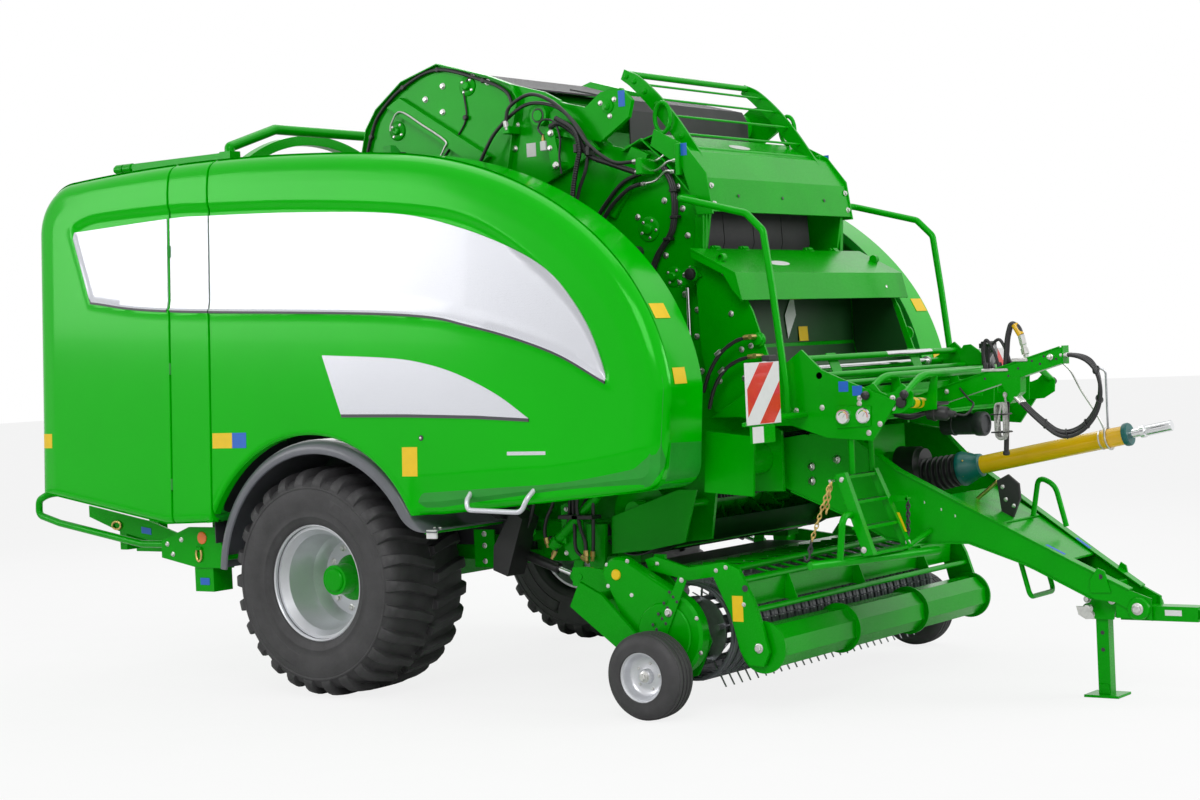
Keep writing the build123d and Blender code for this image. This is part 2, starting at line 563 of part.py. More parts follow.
def pto():
    """The propshaft: its bellows and guard tube stay, the splined shaft turns inside."""
    a, b = Vector(PTO_A[0], 0, PTO_A[1]), Vector(PTO_B[0], 0, PTO_B[1])
    along = (b - a).normalized()
    at = lambda s: a + along * s
    rear = Vector(2660, 0, 1096)
    cup = Solid.make_cone(80, 84, 190, Plane(origin=rear, z_dir=(1, 0, 0)))
    bellows = Solid.make_cylinder(84, 190, Plane(origin=at(-60), z_dir=along))
    cone = Solid.make_cone(80, 46, 85, Plane(origin=at(130), z_dir=along))
    tube = Solid.make_cylinder(43, 800, Plane(origin=at(200), z_dir=along))
    guard = weld(bellows, cone, tube)
    guard -= Solid.make_cylinder(36, 1300, Plane(origin=at(-20), z_dir=along))
    for s in (190, 960):
        ring = Solid.make_cylinder(40, 40, Plane(origin=at(s), z_dir=along))
        guard = guard.fuse(ring)
    guard -= Solid.make_cylinder(PTO_CORE + RUN_FIT, 1400, Plane(origin=at(-20), z_dir=along))
    cup -= Solid.make_cylinder(200, 400, Plane(origin=at(-60), z_dir=along))
    add("pto_guard", guard, cup)
    core_end = (b - at(30)).length - PTO_SPLINE
    core = Solid.make_cylinder(PTO_CORE, core_end, Plane(origin=at(30), z_dir=along))
    spline = Solid.make_cylinder(PTO_R, PTO_SPLINE, Plane(origin=b - along * PTO_SPLINE, z_dir=along))
    add("pto_shaft", core, spline)
    hook = at(900)
    post = pipe([(hook.X, 0, hook.Z + 44.6), (hook.X, 0, 1520), (3660, -120, 1600),
                 (3660, 28 - HOSE_Y, 1600)], 5, 25)
    add("pto_chain", post)


def net_box():
    """Front hood, guard arcs, net box with its lid."""
    hood_top = [(2063, 2374), (2033, 2539), (1931, 2678), (1744, 2778), (1560, 2730)]
    hood_under = [(1560, 2722), (1740, 2770), (1925, 2672), (2025, 2535), (2055, 2372)]
    hood = plate_xz(hood_under + hood_top, -680, 680)
    add("upper_hood", hood)
    outer = [(1503, 3131), (1592, 3086), (1708, 2979), (1820, 2844), (1930, 2686), (2015, 2570)]
    inner = [(1955, 2650), (1871, 2691), (1734, 2902), (1590, 3042), (1500, 3105)]
    arc = plate_xz(outer + inner, -572, -560)
    arc -= plate_xz(hood_top + [(1560, 2400)], -600, -500)
    rods = [disc_y(x, z, r, -562, 562) for x, z, r in
            ((1515, 3112, 16), (1600, 3055, 6), (1690, 2968, 6), (1775, 2868, 6),
             (1848, 2762, 9))]
    add("net_guard", both(arc), rods)
    side = plate_xz([(1985, 2150), (2000, 2165), (2235, 2035), (2275, 1925), (2300, 1880),
                     (2450, 1450), (2450, 1400), (2060, 1400), (2000, 1700)], -740, -728)
    back = plate_xz([(1985, 2150), (1997, 2150), (2012, 1700), (2072, 1400), (2060, 1400),
                     (2000, 1700)], -728, 728)
    shelf = box(2075, 2400, -728, 728, 1400, 1410)
    px, pz = LID_PIVOT
    lugs = [plate_xz([(px - 12, pz + 10), (px + 2, pz + 10), (px + 7, pz - 6), (2000, 2140),
                      (1990, 2140)], y, y + 8) for y in (-612, -548, -352, -288)]
    pins = [disc_y(px, pz, 6, -612, -540), disc_y(px, pz, 6, -352, -280)]
    add("net_box", both(side), back, shelf, [s for piece in lugs + pins for s in both(piece)])
    px, pz = LID_PIVOT
    lid = plate_xz([(2018, 2187), (2262, 2058), (2295, 1930), (2303, 1932), (2270, 2064),
                    (2020, 2195)], -LID_HALF, LID_HALF)
    rolls = [weld(disc_y(px, pz, 12, -y - 40, -y),
                  plate_xz([(px, pz), (px + 5, pz - 10), (2026, 2183), (2030, 2191), (px + 5, pz + 10)],
                           -y - 40, -y)) for y in (560, 300)]
    rolls = [r - disc_y(px, pz, 6 + RUN_FIT, -900, 900) for r in rolls]
    add("net_lid", lid, [s for r in rolls for s in both(r)])


def platform():
    """The film shelf and step at the front, with its cross rods and warning boards."""
    side = plate_xz([(2075, 1376), (2493, 1617), (2589, 1684), (2692, 1587), (2786, 1547),
                     (3080, 1430), (2947, 1253), (2710, 1270), (2520, 1330), (2420, 1330),
                     (2240, 1376)], -790, -776)
    deck = box(2380, 2900, -776, 776, 1340, 1350)
    stem = box(2245, 2380, -776, 776, 1388, 1400)
    rods = [disc_y(x, z, 15, -776, 776) for x, z in
            ((2450, 1540), (2510, 1590), (2590, 1640), (2680, 1560), (2770, 1520),
             (2900, 1455))]
    rung = [box(2372, 2380, -776, 776, 1340, 1400)]
    arm = bar((2600, -1250, 1380), (2600, -790, 1380), 14)
    rail_lug = box(2510, 2600, -HAND_Y - 25, -790, 1380, 1394)
    board_foot = [box(2606, 2614, -1200, -1170, 1366, 1400), rail_lug]
    add("platform", both(side), deck, stem, rung, rods, both(arm),
        [s for f in board_foot for s in both(f)])
    board = box(2614, 2622, -1335, -1050, 1358, 1638)
    nodes["warning_boards"] = Compound(both(board))


def rails():
    """Bent hand rails beside the net box."""
    rail = pipe([(1975, -SIDE_OUT, 2440), (1975, -HAND_Y, 2440), (2360, -HAND_Y, 2338),
                 (2450, -HAND_Y, 2250), (2487, -HAND_Y, 1970), (2540, -HAND_Y, 1500),
                 (2540, -HAND_Y, 1394)], 17, 45)
    add("guard_rails", both(rail))


def ladder():
    """The ladder at the right of the drawbar with its bent bumper tube."""
    top, foot = (2800.0, 1105.0), (2955.0, 735.0)
    sides = []
    for y_top, y_foot in ((-890, -930), (-580, -560)):
        sides.append(slab([(top[0], y_top, top[1]), (top[0] + 45, y_top, top[1] + 10),
                           (foot[0] + 45, y_foot, foot[1] + 10), (foot[0], y_foot, foot[1])],
                          (0, 12, 0)))
    treads = []
    for k in range(4):
        t = 0.02 + 0.31 * k
        x = top[0] + 20 + (foot[0] - top[0]) * t
        z = top[1] + (foot[1] - top[1]) * t
        treads.append(box(x - 30, x + 30, -888 - 40 * t, -568 + 20 * t, z - 14, z))
    bumper = pipe([(2800, -1150, 712), (2945, -735, 712), (3045, -380, 712)], 20, 300)
    hanger = bar((2818, -574, 1100), (2818, -574, 1340), 14)
    hanger2 = bar((2818, -760, 1095), (2818, -760, 1340), 14)
    link = bar((2985, -590, 742), (3000, -372, 800), 14)
    bend = pipe([(2885, -900, 925), (2885, -985, 925), (2860, -985, 715)], 16, 45)
    add("ladder", sides, treads, bumper, hanger, hanger2, link, bend)


def hose_arm():
    """The hose carrier with a clamp under it that takes the hoses back in."""
    arm = plate_xz([(2830, 1365), (2900, 1350), (HOSE_TIP_X, 1570), (HOSE_TIP_X, 1642),
                    (3670, 1642), (2860, 1415)], -HOSE_Y - 28, -HOSE_Y + 28)
    foot = box(2830, 2890, -HOSE_Y - 28, -HOSE_Y + 28, 1350, 1366)
    clamp = plate_xz([(3380, 1495), (3480, 1520), (HOSE_IN[0] + 27.75, HOSE_IN[1] + 25),
                      (HOSE_IN[0] - 27.75, HOSE_IN[1] - 25)], -HOSE_Y - 30, -HOSE_Y + 30)
    add("hose_arm", arm, foot, clamp)


HOSE_Y, HOSE_TIP_X = 303.0, 3690.0
HOSE_IN = (3450.0, 1417.5)     # middle of the clamp's face
HOSE_OUT_Z = 1607.0            # height of the middle hose at the arm's tip
HOSE_R = 9.0
# the loop's free points (x, z) of the middle hose, from the tip down and back up
HOSE_LOOP = [(3760, 1607), (3835, 1560), (3862, 1455), (3835, 1345), (3755, 1262),
             (3655, 1240), (3569, 1304), (3500, 1362)]
# how each hose lies beside the middle one: to the right, further out, lower
HOSES = {"hose_inner": (-19.5, -9.0, 8.0), "hose_middle": (0.0, 0.0, 0.0),
         "hose_outer": (19.5, 10.0, -14.0)}


def hoses():
    """Three hoses that loop from the carrier's tip back to its clamp."""
    for name, (aside, out, low) in HOSES.items():
        y = -HOSE_Y - aside
        free = [(x + out, z + low) for x, z in HOSE_LOOP[1:-1]]
        route = [(HOSE_TIP_X, HOSE_OUT_Z), HOSE_LOOP[0], *free, HOSE_LOOP[-1], HOSE_IN]
        points = [Vector(x, y, z) for x, z in route]
        runs = [b - a for a, b in zip(points, points[1:])]
        radii = []
        for before, after in zip(runs, runs[1:]):
            turn = math.radians(before.get_angle(after))
            radii.append(0.45 * min(before.length, after.length) / math.tan(turn / 2))
        path = FilletPolyline(*points, radius=radii)
        tube = sweep(Plane(origin=path @ 0, z_dir=path % 0) * Circle(HOSE_R), path=path)
        share = tube.volume / (math.pi * HOSE_R ** 2 * path.length)
        print(f"{name}: length {path.length:.0f}, smallest radius {min(radii):.0f}, "
              f"volume over section times length {share:.4f}")
        add(name, tube)


def rear_parts():
    """Bumper tube round the rear and the wheel chock in its holder."""
    side = [(-900, -1300, 768), (-1389, -1300, 770), (-2061, -1300, 880),
            (BUMPER_REAR, -1300, 925), (BUMPER_REAR + 6, -1300, 1010), (-2150, -1300, 1045),
            (-2150, 0, 1045)]
    tube = pipe(side, BUMPER_R, 40)
    foot = box(-940, -700, -1320, -1280, 650, 768)
    plate = plate_xz([(-1200, 700), (-1200, 790), (-980, 870), (-760, 870), (-700, 650), (-930, 650)],
                     -1332, -1320)
    block = box(-960, -820, -1320, -1180, 520, 650)
    bumper = [tube, foot, plate, block]
    add("rear_bumper", [s for part in bumper for s in both(part)])

    chock = plate_xz([(870, 640), (960, 610), (1070, 900), (1000, 940), (880, 760)],
                     -1020, -880)
    hanger = box(900, 960, -880, -RAIL_OUT, 700, 760)
    add("wheel_chock", chock, hanger)


def ring():
    """The wrapping ring with two film carriers, on four guides."""
    centre = Plane(origin=(RING_X - RING_W / 2, 0, RING_Z), z_dir=(1, 0, 0))
    hoop = Solid.make_cylinder(RING_OUT, RING_W, centre)
    hoop -= Solid.make_cylinder(RING_IN, RING_W, centre)
    arms, rolls = [], []
    x_ring = RING_X - RING_W / 2
    for side in (-1, 1):
        y = side * FILM_AT
        arms.append(box(x_ring - 30, x_ring, y - 55, y + 25 if side > 0 else y + 55,
                        RING_Z - 180, RING_Z + 180))
        arms.append(bar((x_ring - 30 - FILM_LEN - 20, y, RING_Z), (x_ring, y, RING_Z), 22))
        roll = bar((x_ring - 40 - FILM_LEN, y, RING_Z), (x_ring - 40, y, RING_Z), FILM_R)
        rolls.append(roll - bar((x_ring - 800, y, RING_Z), (x_ring, y, RING_Z), 22))
    add("wrap_ring", hoop, arms)
    nodes["film_rolls"] = Compound(rolls)


def wrap_table():
    """The tipping table with its two rollers, hinged at the rear."""
    x, z = TABLE_PIVOT
    arm = plate_xz([(x - 30, z - 32), (-620, z - 20), (-600, z + 20), (-760, z + 60),
                    (-1680, z + 60), (x - 30, z + 32)], -TABLE_HALF - 12, -TABLE_HALF)
    arm -= disc_y(x, z, 20 + RUN_FIT, -900, 0)
    cross = [disc_y(px, z, 30, -TABLE_HALF, TABLE_HALF) for px in (-700, -1250, -1850)]
    add("wrap_table", both(arm), cross)
    rollers = [disc_y(px, z + 96, ROLLER_R, -TABLE_HALF + 6, TABLE_HALF - 6)
               for px in (-1640, -800)]
    nodes["table_rollers"] = Compound(rollers)


# ---------------------------------------------------------------- pickup
def pickup():
    """The pickup: side plates, lift arms, bands, deflector, drive cover."""
    px, pz = LIFT_PIVOT
    side = plate_xz([(1560, 520), (1700, 700), (1950, 640), (2130, 480), (2180, 330),
                     (2100, 170), (1960, 122), (1765, 118), (1740, 250)],
                    -PICKUP_HALF - PICKUP_WALL, -PICKUP_HALF)
    arm = plate_xz([(px - 45, pz - 45), (px + 45, pz - 50), (1640, 500), (1720, 560),
                    (1700, 640), (px + 40, pz + 50), (px - 45, pz + 45)],
                   -PICKUP_HALF, -PICKUP_HALF + 20)
    arm -= disc_y(px, pz, 16 + RUN_FIT, -1200, -800)
    rear_tube = disc_y(1700, 570, 38, -PICKUP_HALF, PICKUP_HALF)
    deflector = slab([(1760, -PICKUP_HALF, 640), (1760, PICKUP_HALF, 640),
                      (1930, PICKUP_HALF, 636), (1930, -PICKUP_HALF, 636)], (0, 0, 6))
    wall_y = PICKUP_HALF + PICKUP_WALL
    arm_y = wall_y + DRIVE_OFF + DRIVE_W + 38
    gauge_arm = plate_xz([(1500, 500), (1560, 620), (1690, 560), (2040, 225), (2015, 165),
                          (1950, 180)], -arm_y, -arm_y + GAUGE_ARM_T)
    gauge_tie = disc_y(1620, 540, 24, -arm_y + GAUGE_ARM_T, -wall_y)
    axle_stub = disc_y(GAUGE_X, GAUGE_R, 15, 50 - gauge_out(), -arm_y)
    guard_pin = disc_y(*GUARD_PIVOT, 14, -wall_y - 52, -wall_y)
    guard_lug = plate_xz([(1850, 640), (1950, 620), (1940, 740), (1880, 740)],
                         -wall_y, -PICKUP_HALF)
    sides = [side, arm, gauge_arm, gauge_tie, axle_stub, guard_pin, guard_lug]
    frame = weld([s for piece in sides for s in both(piece)], rear_tube, deflector)
    add("pickup_frame", frame)

    bands = []
    count = 28
    pitch = 2 * (PICKUP_HALF - 12) / count
    centre_y = [-PICKUP_HALF + 12 + pitch * (k + 0.5) for k in range(count)]
    for y in centre_y:
        plane = Plane(origin=(REEL_X, y - 22, REEL_Z), z_dir=(0, 1, 0))
        band = Solid.make_cylinder(BAND_R, 44, plane) - Solid.make_cylinder(BAND_R - 4, 44, plane)
        band -= box(REEL_X - 400, REEL_X, y - 30, y + 30, REEL_Z - 400, REEL_Z + 400)
        top = REEL_Z + BAND_R
        low = REEL_Z - BAND_R
        back = plate_xz([(REEL_X, top - 4), (REEL_X, top), (1766, 633), (1766, 629)],
                        y - 22, y + 22)
        under = plate_xz([(REEL_X, low), (REEL_X, low + 4), (1780, low + 4), (1780, low)],
                         y - 22, y + 22)
        bands += [band, back, under]
    carriers = [disc_y(1782, REEL_Z - BAND_R + 4, 12, -PICKUP_HALF, PICKUP_HALF),
                disc_y(1766, 624, 9, -PICKUP_HALF, PICKUP_HALF)]
    add("pickup_bands", bands, carriers)

    cover = plate_xz([(1680, 690), (1720, 735), (1790, 738), (1840, 700), (2200, 430),
                      (2235, 330), (2200, 230), (2100, 180), (1960, 200), (1860, 330)],
                     -wall_y - DRIVE_OFF - DRIVE_W, -wall_y - DRIVE_OFF)
    foot = disc_y(1760, 640, 40, -wall_y - DRIVE_OFF, -wall_y)
    add("drive_cover", cover, foot)

    shaft = disc_y(REEL_X, REEL_Z, 45, -PICKUP_HALF + GAP, PICKUP_HALF - GAP)
    tines = []
    for row in range(5):
        a = math.radians(72 * row + 10)
        ca, sa = math.cos(a), math.sin(a)
        bar_x, bar_z = REEL_X + 150 * ca, REEL_Z + 150 * sa
        tines.append(disc_y(bar_x, bar_z, 14, -PICKUP_HALF + 20, PICKUP_HALF - 20))
        for k in range(count - 1):
            y = centre_y[k] + pitch / 2
            tip = (REEL_X + TINE_R * ca, REEL_Z + TINE_R * sa)
            w = 4
            tines.append(plate_xz([(bar_x - w * sa, bar_z + w * ca),
                                   (bar_x + w * sa, bar_z - w * ca),
                                   (tip[0] + 2 * sa, tip[1] - 2 * ca),
                                   (tip[0] - 2 * sa, tip[1] + 2 * ca)], y - 4, y + 4))
    for share in (-0.93, -0.31, 0.31, 0.93):
        y = share * PICKUP_HALF
        tines.append(disc_y(REEL_X, REEL_Z, 165, y - 5, y + 5))
    add("pickup_reel", shaft, tines)


def crop_guard():
    """Two arms and the roller that hold the swath down."""
    gx, gz = GUARD_PIVOT
    arm_y = PICKUP_HALF + PICKUP_WALL + 26
    end_y = arm_y - 12
    arm = plate_xz([(gx - 40, gz + 20), (gx - 20, gz - 30), (2103, 625), (2243, 645),
                    (2330, 470), (2375, 300), (2420, 240), (CROP_X + 20, 235), (2530, 300),
                    (2505, 400), (2456, 545), (2382, 685), (2301, 715), (2103, 685),
                    (gx + 20, gz + 35)], -arm_y - 22, -arm_y)
    arm -= disc_y(gx, gz, 14 + RUN_FIT, -arm_y - 100, -arm_y + 70)
    spigot = disc_y(CROP_X, CROP_Z, 18, -arm_y, 44 - arm_y)
    tie = disc_y(2290, 672, 17, -arm_y, arm_y)
    add("crop_guard", both(arm), both(spigot), tie)
    facets = [(CROP_X + CROP_R * math.cos(math.radians(22.5 + 45 * k)),
               CROP_Z + CROP_R * math.sin(math.radians(22.5 + 45 * k))) for k in range(8)]
    body = plate_xz(facets, 12 - end_y, end_y - 12)
    flanges = [disc_y(CROP_X, CROP_Z, 122, y, y + 12)
               for y in (-end_y, -end_y / 3 - 6, end_y / 3 - 6, end_y - 12)]
    roller = weld(body, flanges)
    roller -= disc_y(CROP_X, CROP_Z, 18 + RUN_FIT, -end_y - 40, 38 - end_y)
    roller -= disc_y(CROP_X, CROP_Z, 18 + RUN_FIT, end_y - 38, end_y + 40)
    add("crop_roller", roller)


def gauge_out():
    """Outer face of the gauge wheels, worked out from the drive cover inside them."""
    return PICKUP_HALF + PICKUP_WALL + DRIVE_OFF + DRIVE_W + 45 + GAUGE_W


def gauge_wheels():
    y0 = -gauge_out()
    bore = 15 + RUN_FIT
    rows = [(10, 38), (34, 38), (100, 66), (112, 0), (188, 8), (GAUGE_R, 38),
            (GAUGE_R, GAUGE_W - 38), (188, GAUGE_W - 8), (112, GAUGE_W), (34, GAUGE_W - 4),
            (10, GAUGE_W - 4)]
    wheel = faceted([(r, y0 + y) for r, y in rows], GAUGE_X, GAUGE_R, 16)
    wheel -= disc_y(GAUGE_X, GAUGE_R, bore, y0, y0 + GAUGE_W)
    add("gauge_wheel_right", wheel)
    add("gauge_wheel_left", left(wheel))


def pickup_brackets():
    """Plates under the rails that carry the pickup's pivot pins."""
    px, pz = LIFT_PIVOT
    plate = plate_xz([(px - 60, 865), (px + 60, 865), (px + 40, pz - 40), (px - 40, pz - 40)],
                     -RAIL_OUT - 120, -RAIL_OUT - 100)
    tie = box(px - 40, px + 40, -RAIL_OUT - 100, -RAIL_OUT, 700, 800)
    pin = disc_y(px, pz, 16, -max(PICKUP_HALF, RAIL_OUT + 140) - 4, -RAIL_OUT - 100)
    add("pickup_brackets", [s for piece in (plate, tie, pin) for s in both(piece)])


# ---------------------------------------------------------------- build and write
for build in (chassis_frame, portal, door_rails, axle, wheels, fenders, covers, chamber,
              upper_chamber, feed_rotor, front_beam, drawbar, jack, pto, net_box, platform,
              rails, ladder, hose_arm, hoses, rear_parts, ring, wrap_table, pickup,
              crop_guard, gauge_wheels, pickup_brackets):
    build()

os.makedirs("parts", exist_ok=True)
for name, shape in nodes.items():
    export_step(Pos(SHIFT, 0, 0) * shape, f"parts/{name}.step")
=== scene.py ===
"""Looks of the towed round baler with its bale wrapper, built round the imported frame.

Places are metres in the machine's own terms: x forward from the main axle, y to the
left, z up.  at() moves them into the frame's row coordinates.
"""
import bpy
import bmesh
import json
import math
import numpy as np
from mathutils import Vector, Matrix


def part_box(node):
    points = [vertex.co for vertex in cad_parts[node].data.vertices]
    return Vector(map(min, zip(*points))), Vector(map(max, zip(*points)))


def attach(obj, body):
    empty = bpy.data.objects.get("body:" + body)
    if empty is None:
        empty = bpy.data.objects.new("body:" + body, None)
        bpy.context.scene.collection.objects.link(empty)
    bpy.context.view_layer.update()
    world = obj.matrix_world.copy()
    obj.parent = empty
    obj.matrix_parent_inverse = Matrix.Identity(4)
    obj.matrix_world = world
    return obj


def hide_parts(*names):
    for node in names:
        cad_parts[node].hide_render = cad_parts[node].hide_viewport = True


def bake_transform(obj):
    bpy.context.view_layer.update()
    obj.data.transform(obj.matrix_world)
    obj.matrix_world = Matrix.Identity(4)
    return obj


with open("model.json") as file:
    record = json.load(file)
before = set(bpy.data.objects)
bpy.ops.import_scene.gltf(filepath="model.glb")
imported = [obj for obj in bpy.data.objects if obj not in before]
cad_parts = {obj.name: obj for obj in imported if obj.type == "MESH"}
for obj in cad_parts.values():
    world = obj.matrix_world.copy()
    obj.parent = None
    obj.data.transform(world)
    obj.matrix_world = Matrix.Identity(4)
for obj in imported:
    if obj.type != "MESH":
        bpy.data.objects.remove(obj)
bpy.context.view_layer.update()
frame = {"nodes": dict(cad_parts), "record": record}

NODES = frame["nodes"]
RIM_LOW, RIM_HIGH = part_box("rim_right")
AXLE = (RIM_LOW[0] + RIM_HIGH[0]) / 2      # where the main axle stands in the row
SIDES = (("right", -1), ("left", 1))       # name of each side and the sign of its y
bpy.context.scene.view_settings.view_transform = "Standard"


def at(x, y, z):
    """A point given from the axle, in row coordinates."""
    return Vector((x + AXLE, y, z))


# ------------------------------------------------------------------ camera
CAMERA_FROM_AXLE = (7.93, -9.789, 1.728)
YAW, PITCH, ROLL = map(math.radians, (35.8935, -1.2932, -2.6378))
LENS = 66.896


def make_camera():
    look = Vector((-math.sin(YAW) * math.cos(PITCH), math.cos(YAW) * math.cos(PITCH),
                   math.sin(PITCH)))
    side = Vector((math.cos(YAW), math.sin(YAW), 0))
    up = side.cross(look)
    right = side * math.cos(ROLL) + up * math.sin(ROLL)
    high = up * math.cos(ROLL) - side * math.sin(ROLL)
    data = bpy.data.cameras.new("camera")
    data.lens = LENS
    data.clip_end = 200
    camera = bpy.data.objects.new("camera", data)
    turn = Matrix((right, high, -look)).transposed().to_4x4()
    camera.matrix_world = Matrix.Translation(at(*CAMERA_FROM_AXLE)) @ turn
    bpy.context.scene.collection.objects.link(camera)
    bpy.context.scene.camera = camera


make_camera()


# ------------------------------------------------------------------ materials
def node_tree(name):
    mat = bpy.data.materials.new(name)
    mat.use_nodes = True
    tree = mat.node_tree
    shader = tree.nodes["Principled BSDF"]
    return mat, tree, shader


def noise(tree, scale, detail, rough):
    """A noise texture on the object's own coordinates."""
    place = tree.nodes.new("ShaderNodeTexCoord")
    tex = tree.nodes.new("ShaderNodeTexNoise")
    tex.inputs["Scale"].default_value = scale
    tex.inputs["Detail"].default_value = detail
    tex.inputs["Roughness"].default_value = rough
    tree.links.new(place.outputs["Object"], tex.inputs["Vector"])
    return tex.outputs["Fac"]


def ramp(tree, source, stops):
    """A colour ramp from (place, colour) stops."""
    node = tree.nodes.new("ShaderNodeValToRGB")
    marks = node.color_ramp.elements
    while len(marks) < len(stops):
        marks.new(0.5)
    for mark, (place, colour) in zip(marks, stops):
        mark.position = place
        mark.color = (*colour, 1)
    tree.links.new(source, node.inputs["Fac"])
    return node.outputs["Color"]


def spread(tree, source, low, high):
    """A number that runs from low to high with the source."""
    node = tree.nodes.new("ShaderNodeMapRange")
    node.inputs["From Min"].default_value = 0.3
    node.inputs["From Max"].default_value = 0.7
    node.inputs["To Min"].default_value = low
    node.inputs["To Max"].default_value = high
    tree.links.new(source, node.inputs["Value"])
    return node.outputs["Result"]


def bump(tree, shader, source, strength, distance, rounding=0.0):
    node = tree.nodes.new("ShaderNodeBump")
    node.inputs["Strength"].default_value = strength
    node.inputs["Distance"].default_value = distance
    tree.links.new(source, node.inputs["Height"])
    if rounding:
        bevel = tree.nodes.new("ShaderNodeBevel")
        bevel.samples = 4
        bevel.inputs["Radius"].default_value = rounding
        tree.links.new(bevel.outputs["Normal"], node.inputs["Normal"])
    tree.links.new(node.outputs["Normal"], shader.inputs["Normal"])


def shade(colour, factor):
    return tuple(min(1.0, c * factor) for c in colour)


def surface(name, colour, rough, metal=0.0, coat=0.0, shine=0.5, vary=0.08, patch=3.0, grain=220.0,
            depth=0.0002, strength=0.25, rounding=0.0, rough_vary=0.06, gleam=(1, 1, 1)):
    """A finish whose colour, gloss and fine relief vary a little over the surface."""
    mat, tree, shader = node_tree(name)
    wide = noise(tree, patch, 4.0, 0.6)
    fine = noise(tree, grain, 2.0, 0.5)
    colours = ramp(tree, wide, [(0.3, shade(colour, 1 - vary)), (0.7, shade(colour, 1 + vary))])
    tree.links.new(colours, shader.inputs["Base Color"])
    gloss = spread(tree, fine, max(0.02, rough - rough_vary), rough + rough_vary)
    tree.links.new(gloss, shader.inputs["Roughness"])
    shader.inputs["Metallic"].default_value = metal
    shader.inputs["Coat Weight"].default_value = coat
    shader.inputs["Coat Roughness"].default_value = 0.04
    shader.inputs["Specular IOR Level"].default_value = shine
    shader.inputs["Specular Tint"].default_value = (*gleam, 1)
    bump(tree, shader, fine, strength, depth, rounding)
    return mat


GREEN = (0.0, 0.37, 0.0)
M = {
    "paint": surface("green_paint", GREEN, 0.26, coat=0.03, shine=0.40, vary=0.10, patch=2.5,
                     grain=380, depth=0.00015, strength=0.2, rounding=0.003,
                     gleam=(0.25, 1.0, 0.30)),
    "cover": surface("cover_green", (0.0, 0.50, 0.0), 0.16, coat=0.05, shine=0.45, vary=0.05,
                     patch=0.9, grain=700, depth=0.00008, strength=0.12,
                     gleam=(0.25, 1.0, 0.25)),
    "inside": surface("cover_inside", (0.0, 0.30, 0.01), 0.5, vary=0.12, patch=4, grain=90),
    "silver": surface("silver_panel", (0.66, 0.67, 0.72), 0.30, metal=0.3, coat=0.4,
                      vary=0.02, patch=1.2, grain=1500, depth=0.00004, strength=0.1),
    "charcoal": surface("charcoal_trim", (0.035, 0.035, 0.045), 0.35, coat=0.3, grain=600),
    "fender": surface("fender_grey", (0.13, 0.135, 0.155), 0.42, coat=0.3, vary=0.12, patch=5,
                      grain=900, depth=0.0002, strength=0.35),
    "tyre": surface("tyre_rubber", (0.040, 0.039, 0.041), 0.58, vary=0.28, patch=9,
                    grain=160, depth=0.0008, strength=0.3, rounding=0.006),
    "rim": surface("rim_silver", (0.64, 0.65, 0.68), 0.33, metal=0.55, coat=0.3, vary=0.04,
                   patch=6, grain=500, rounding=0.002),
    "zinc": surface("zinc_bolts", (0.62, 0.62, 0.60), 0.34, metal=1.0, vary=0.12, patch=60,
                    grain=900),
    "brass": surface("yellow_zinc", (0.62, 0.44, 0.16), 0.36, metal=1.0, vary=0.25, patch=40,
                     grain=700),
    "chrome": surface("chrome_steel", (0.78, 0.79, 0.80), 0.13, metal=1.0, vary=0.04,
                      patch=30, grain=900, rough_vary=0.04),
    "steel": surface("tine_steel", (0.42, 0.43, 0.45), 0.36, metal=0.9, vary=0.2, patch=18,
                     grain=400),
    "band": surface("band_steel", (0.115, 0.12, 0.135), 0.34, metal=0.35, coat=0.3, vary=0.15,
                    patch=8, grain=300, rounding=0.002),
    "black": surface("black_plastic", (0.012, 0.012, 0.013), 0.42, vary=0.2, patch=14,
                     grain=500, rounding=0.002),
    "hose": surface("hose_rubber", (0.014, 0.014, 0.015), 0.40, vary=0.25, patch=30,
                    grain=260, depth=0.0003),
    "yellow": surface("guard_yellow", (0.80, 0.47, 0.0), 0.36, coat=0.4, vary=0.06, patch=6,
                      grain=400),
    "teal": surface("teal_plastic", (0.0, 0.11, 0.10), 0.38, vary=0.12, patch=12, grain=500),
    "label": surface("label_yellow", (0.95, 0.62, 0.0), 0.4, vary=0.03, patch=30, grain=900),
    "blue": surface("label_blue", (0.01, 0.14, 0.62), 0.4, vary=0.05, patch=30, grain=900),
    "white": surface("label_white", (0.80, 0.80, 0.80), 0.4, vary=0.03, patch=30, grain=900),
    "orange": surface("reflector_orange", (0.90, 0.17, 0.01), 0.25, coat=0.8, vary=0.08,
                      patch=50, grain=900),
    "red": surface("board_red", (0.72, 0.03, 0.02), 0.3, coat=0.5, vary=0.1, patch=20,
                   grain=900),
    "film": surface("wrap_film", (0.52, 0.62, 0.50), 0.22, coat=0.8, vary=0.08, patch=6,
                    grain=60, depth=0.0006, strength=0.3),
    "rope": surface("rope_fleck", (0.42, 0.43, 0.40), 0.75, vary=0.55, patch=160, grain=500,
                    depth=0.0008, strength=0.6),
    # dark: near-black paint for black parts; the hole discs and the panels inside the wheel arches
    # in it are painted shade
    "dark": surface("dark_paint_and_painted_shade", (0.03, 0.032, 0.036), 0.42, vary=0.2, patch=10, grain=300,
                    rounding=0.003),
    # painted shade: a very dark green for the shaded inside of the net box, the gaps behind the
    # seams and the trough and deck under the rotor
    "painted_shade": surface("painted_shade_green", (0.0, 0.055, 0.004), 0.45, vary=0.15, patch=4, grain=300),
}


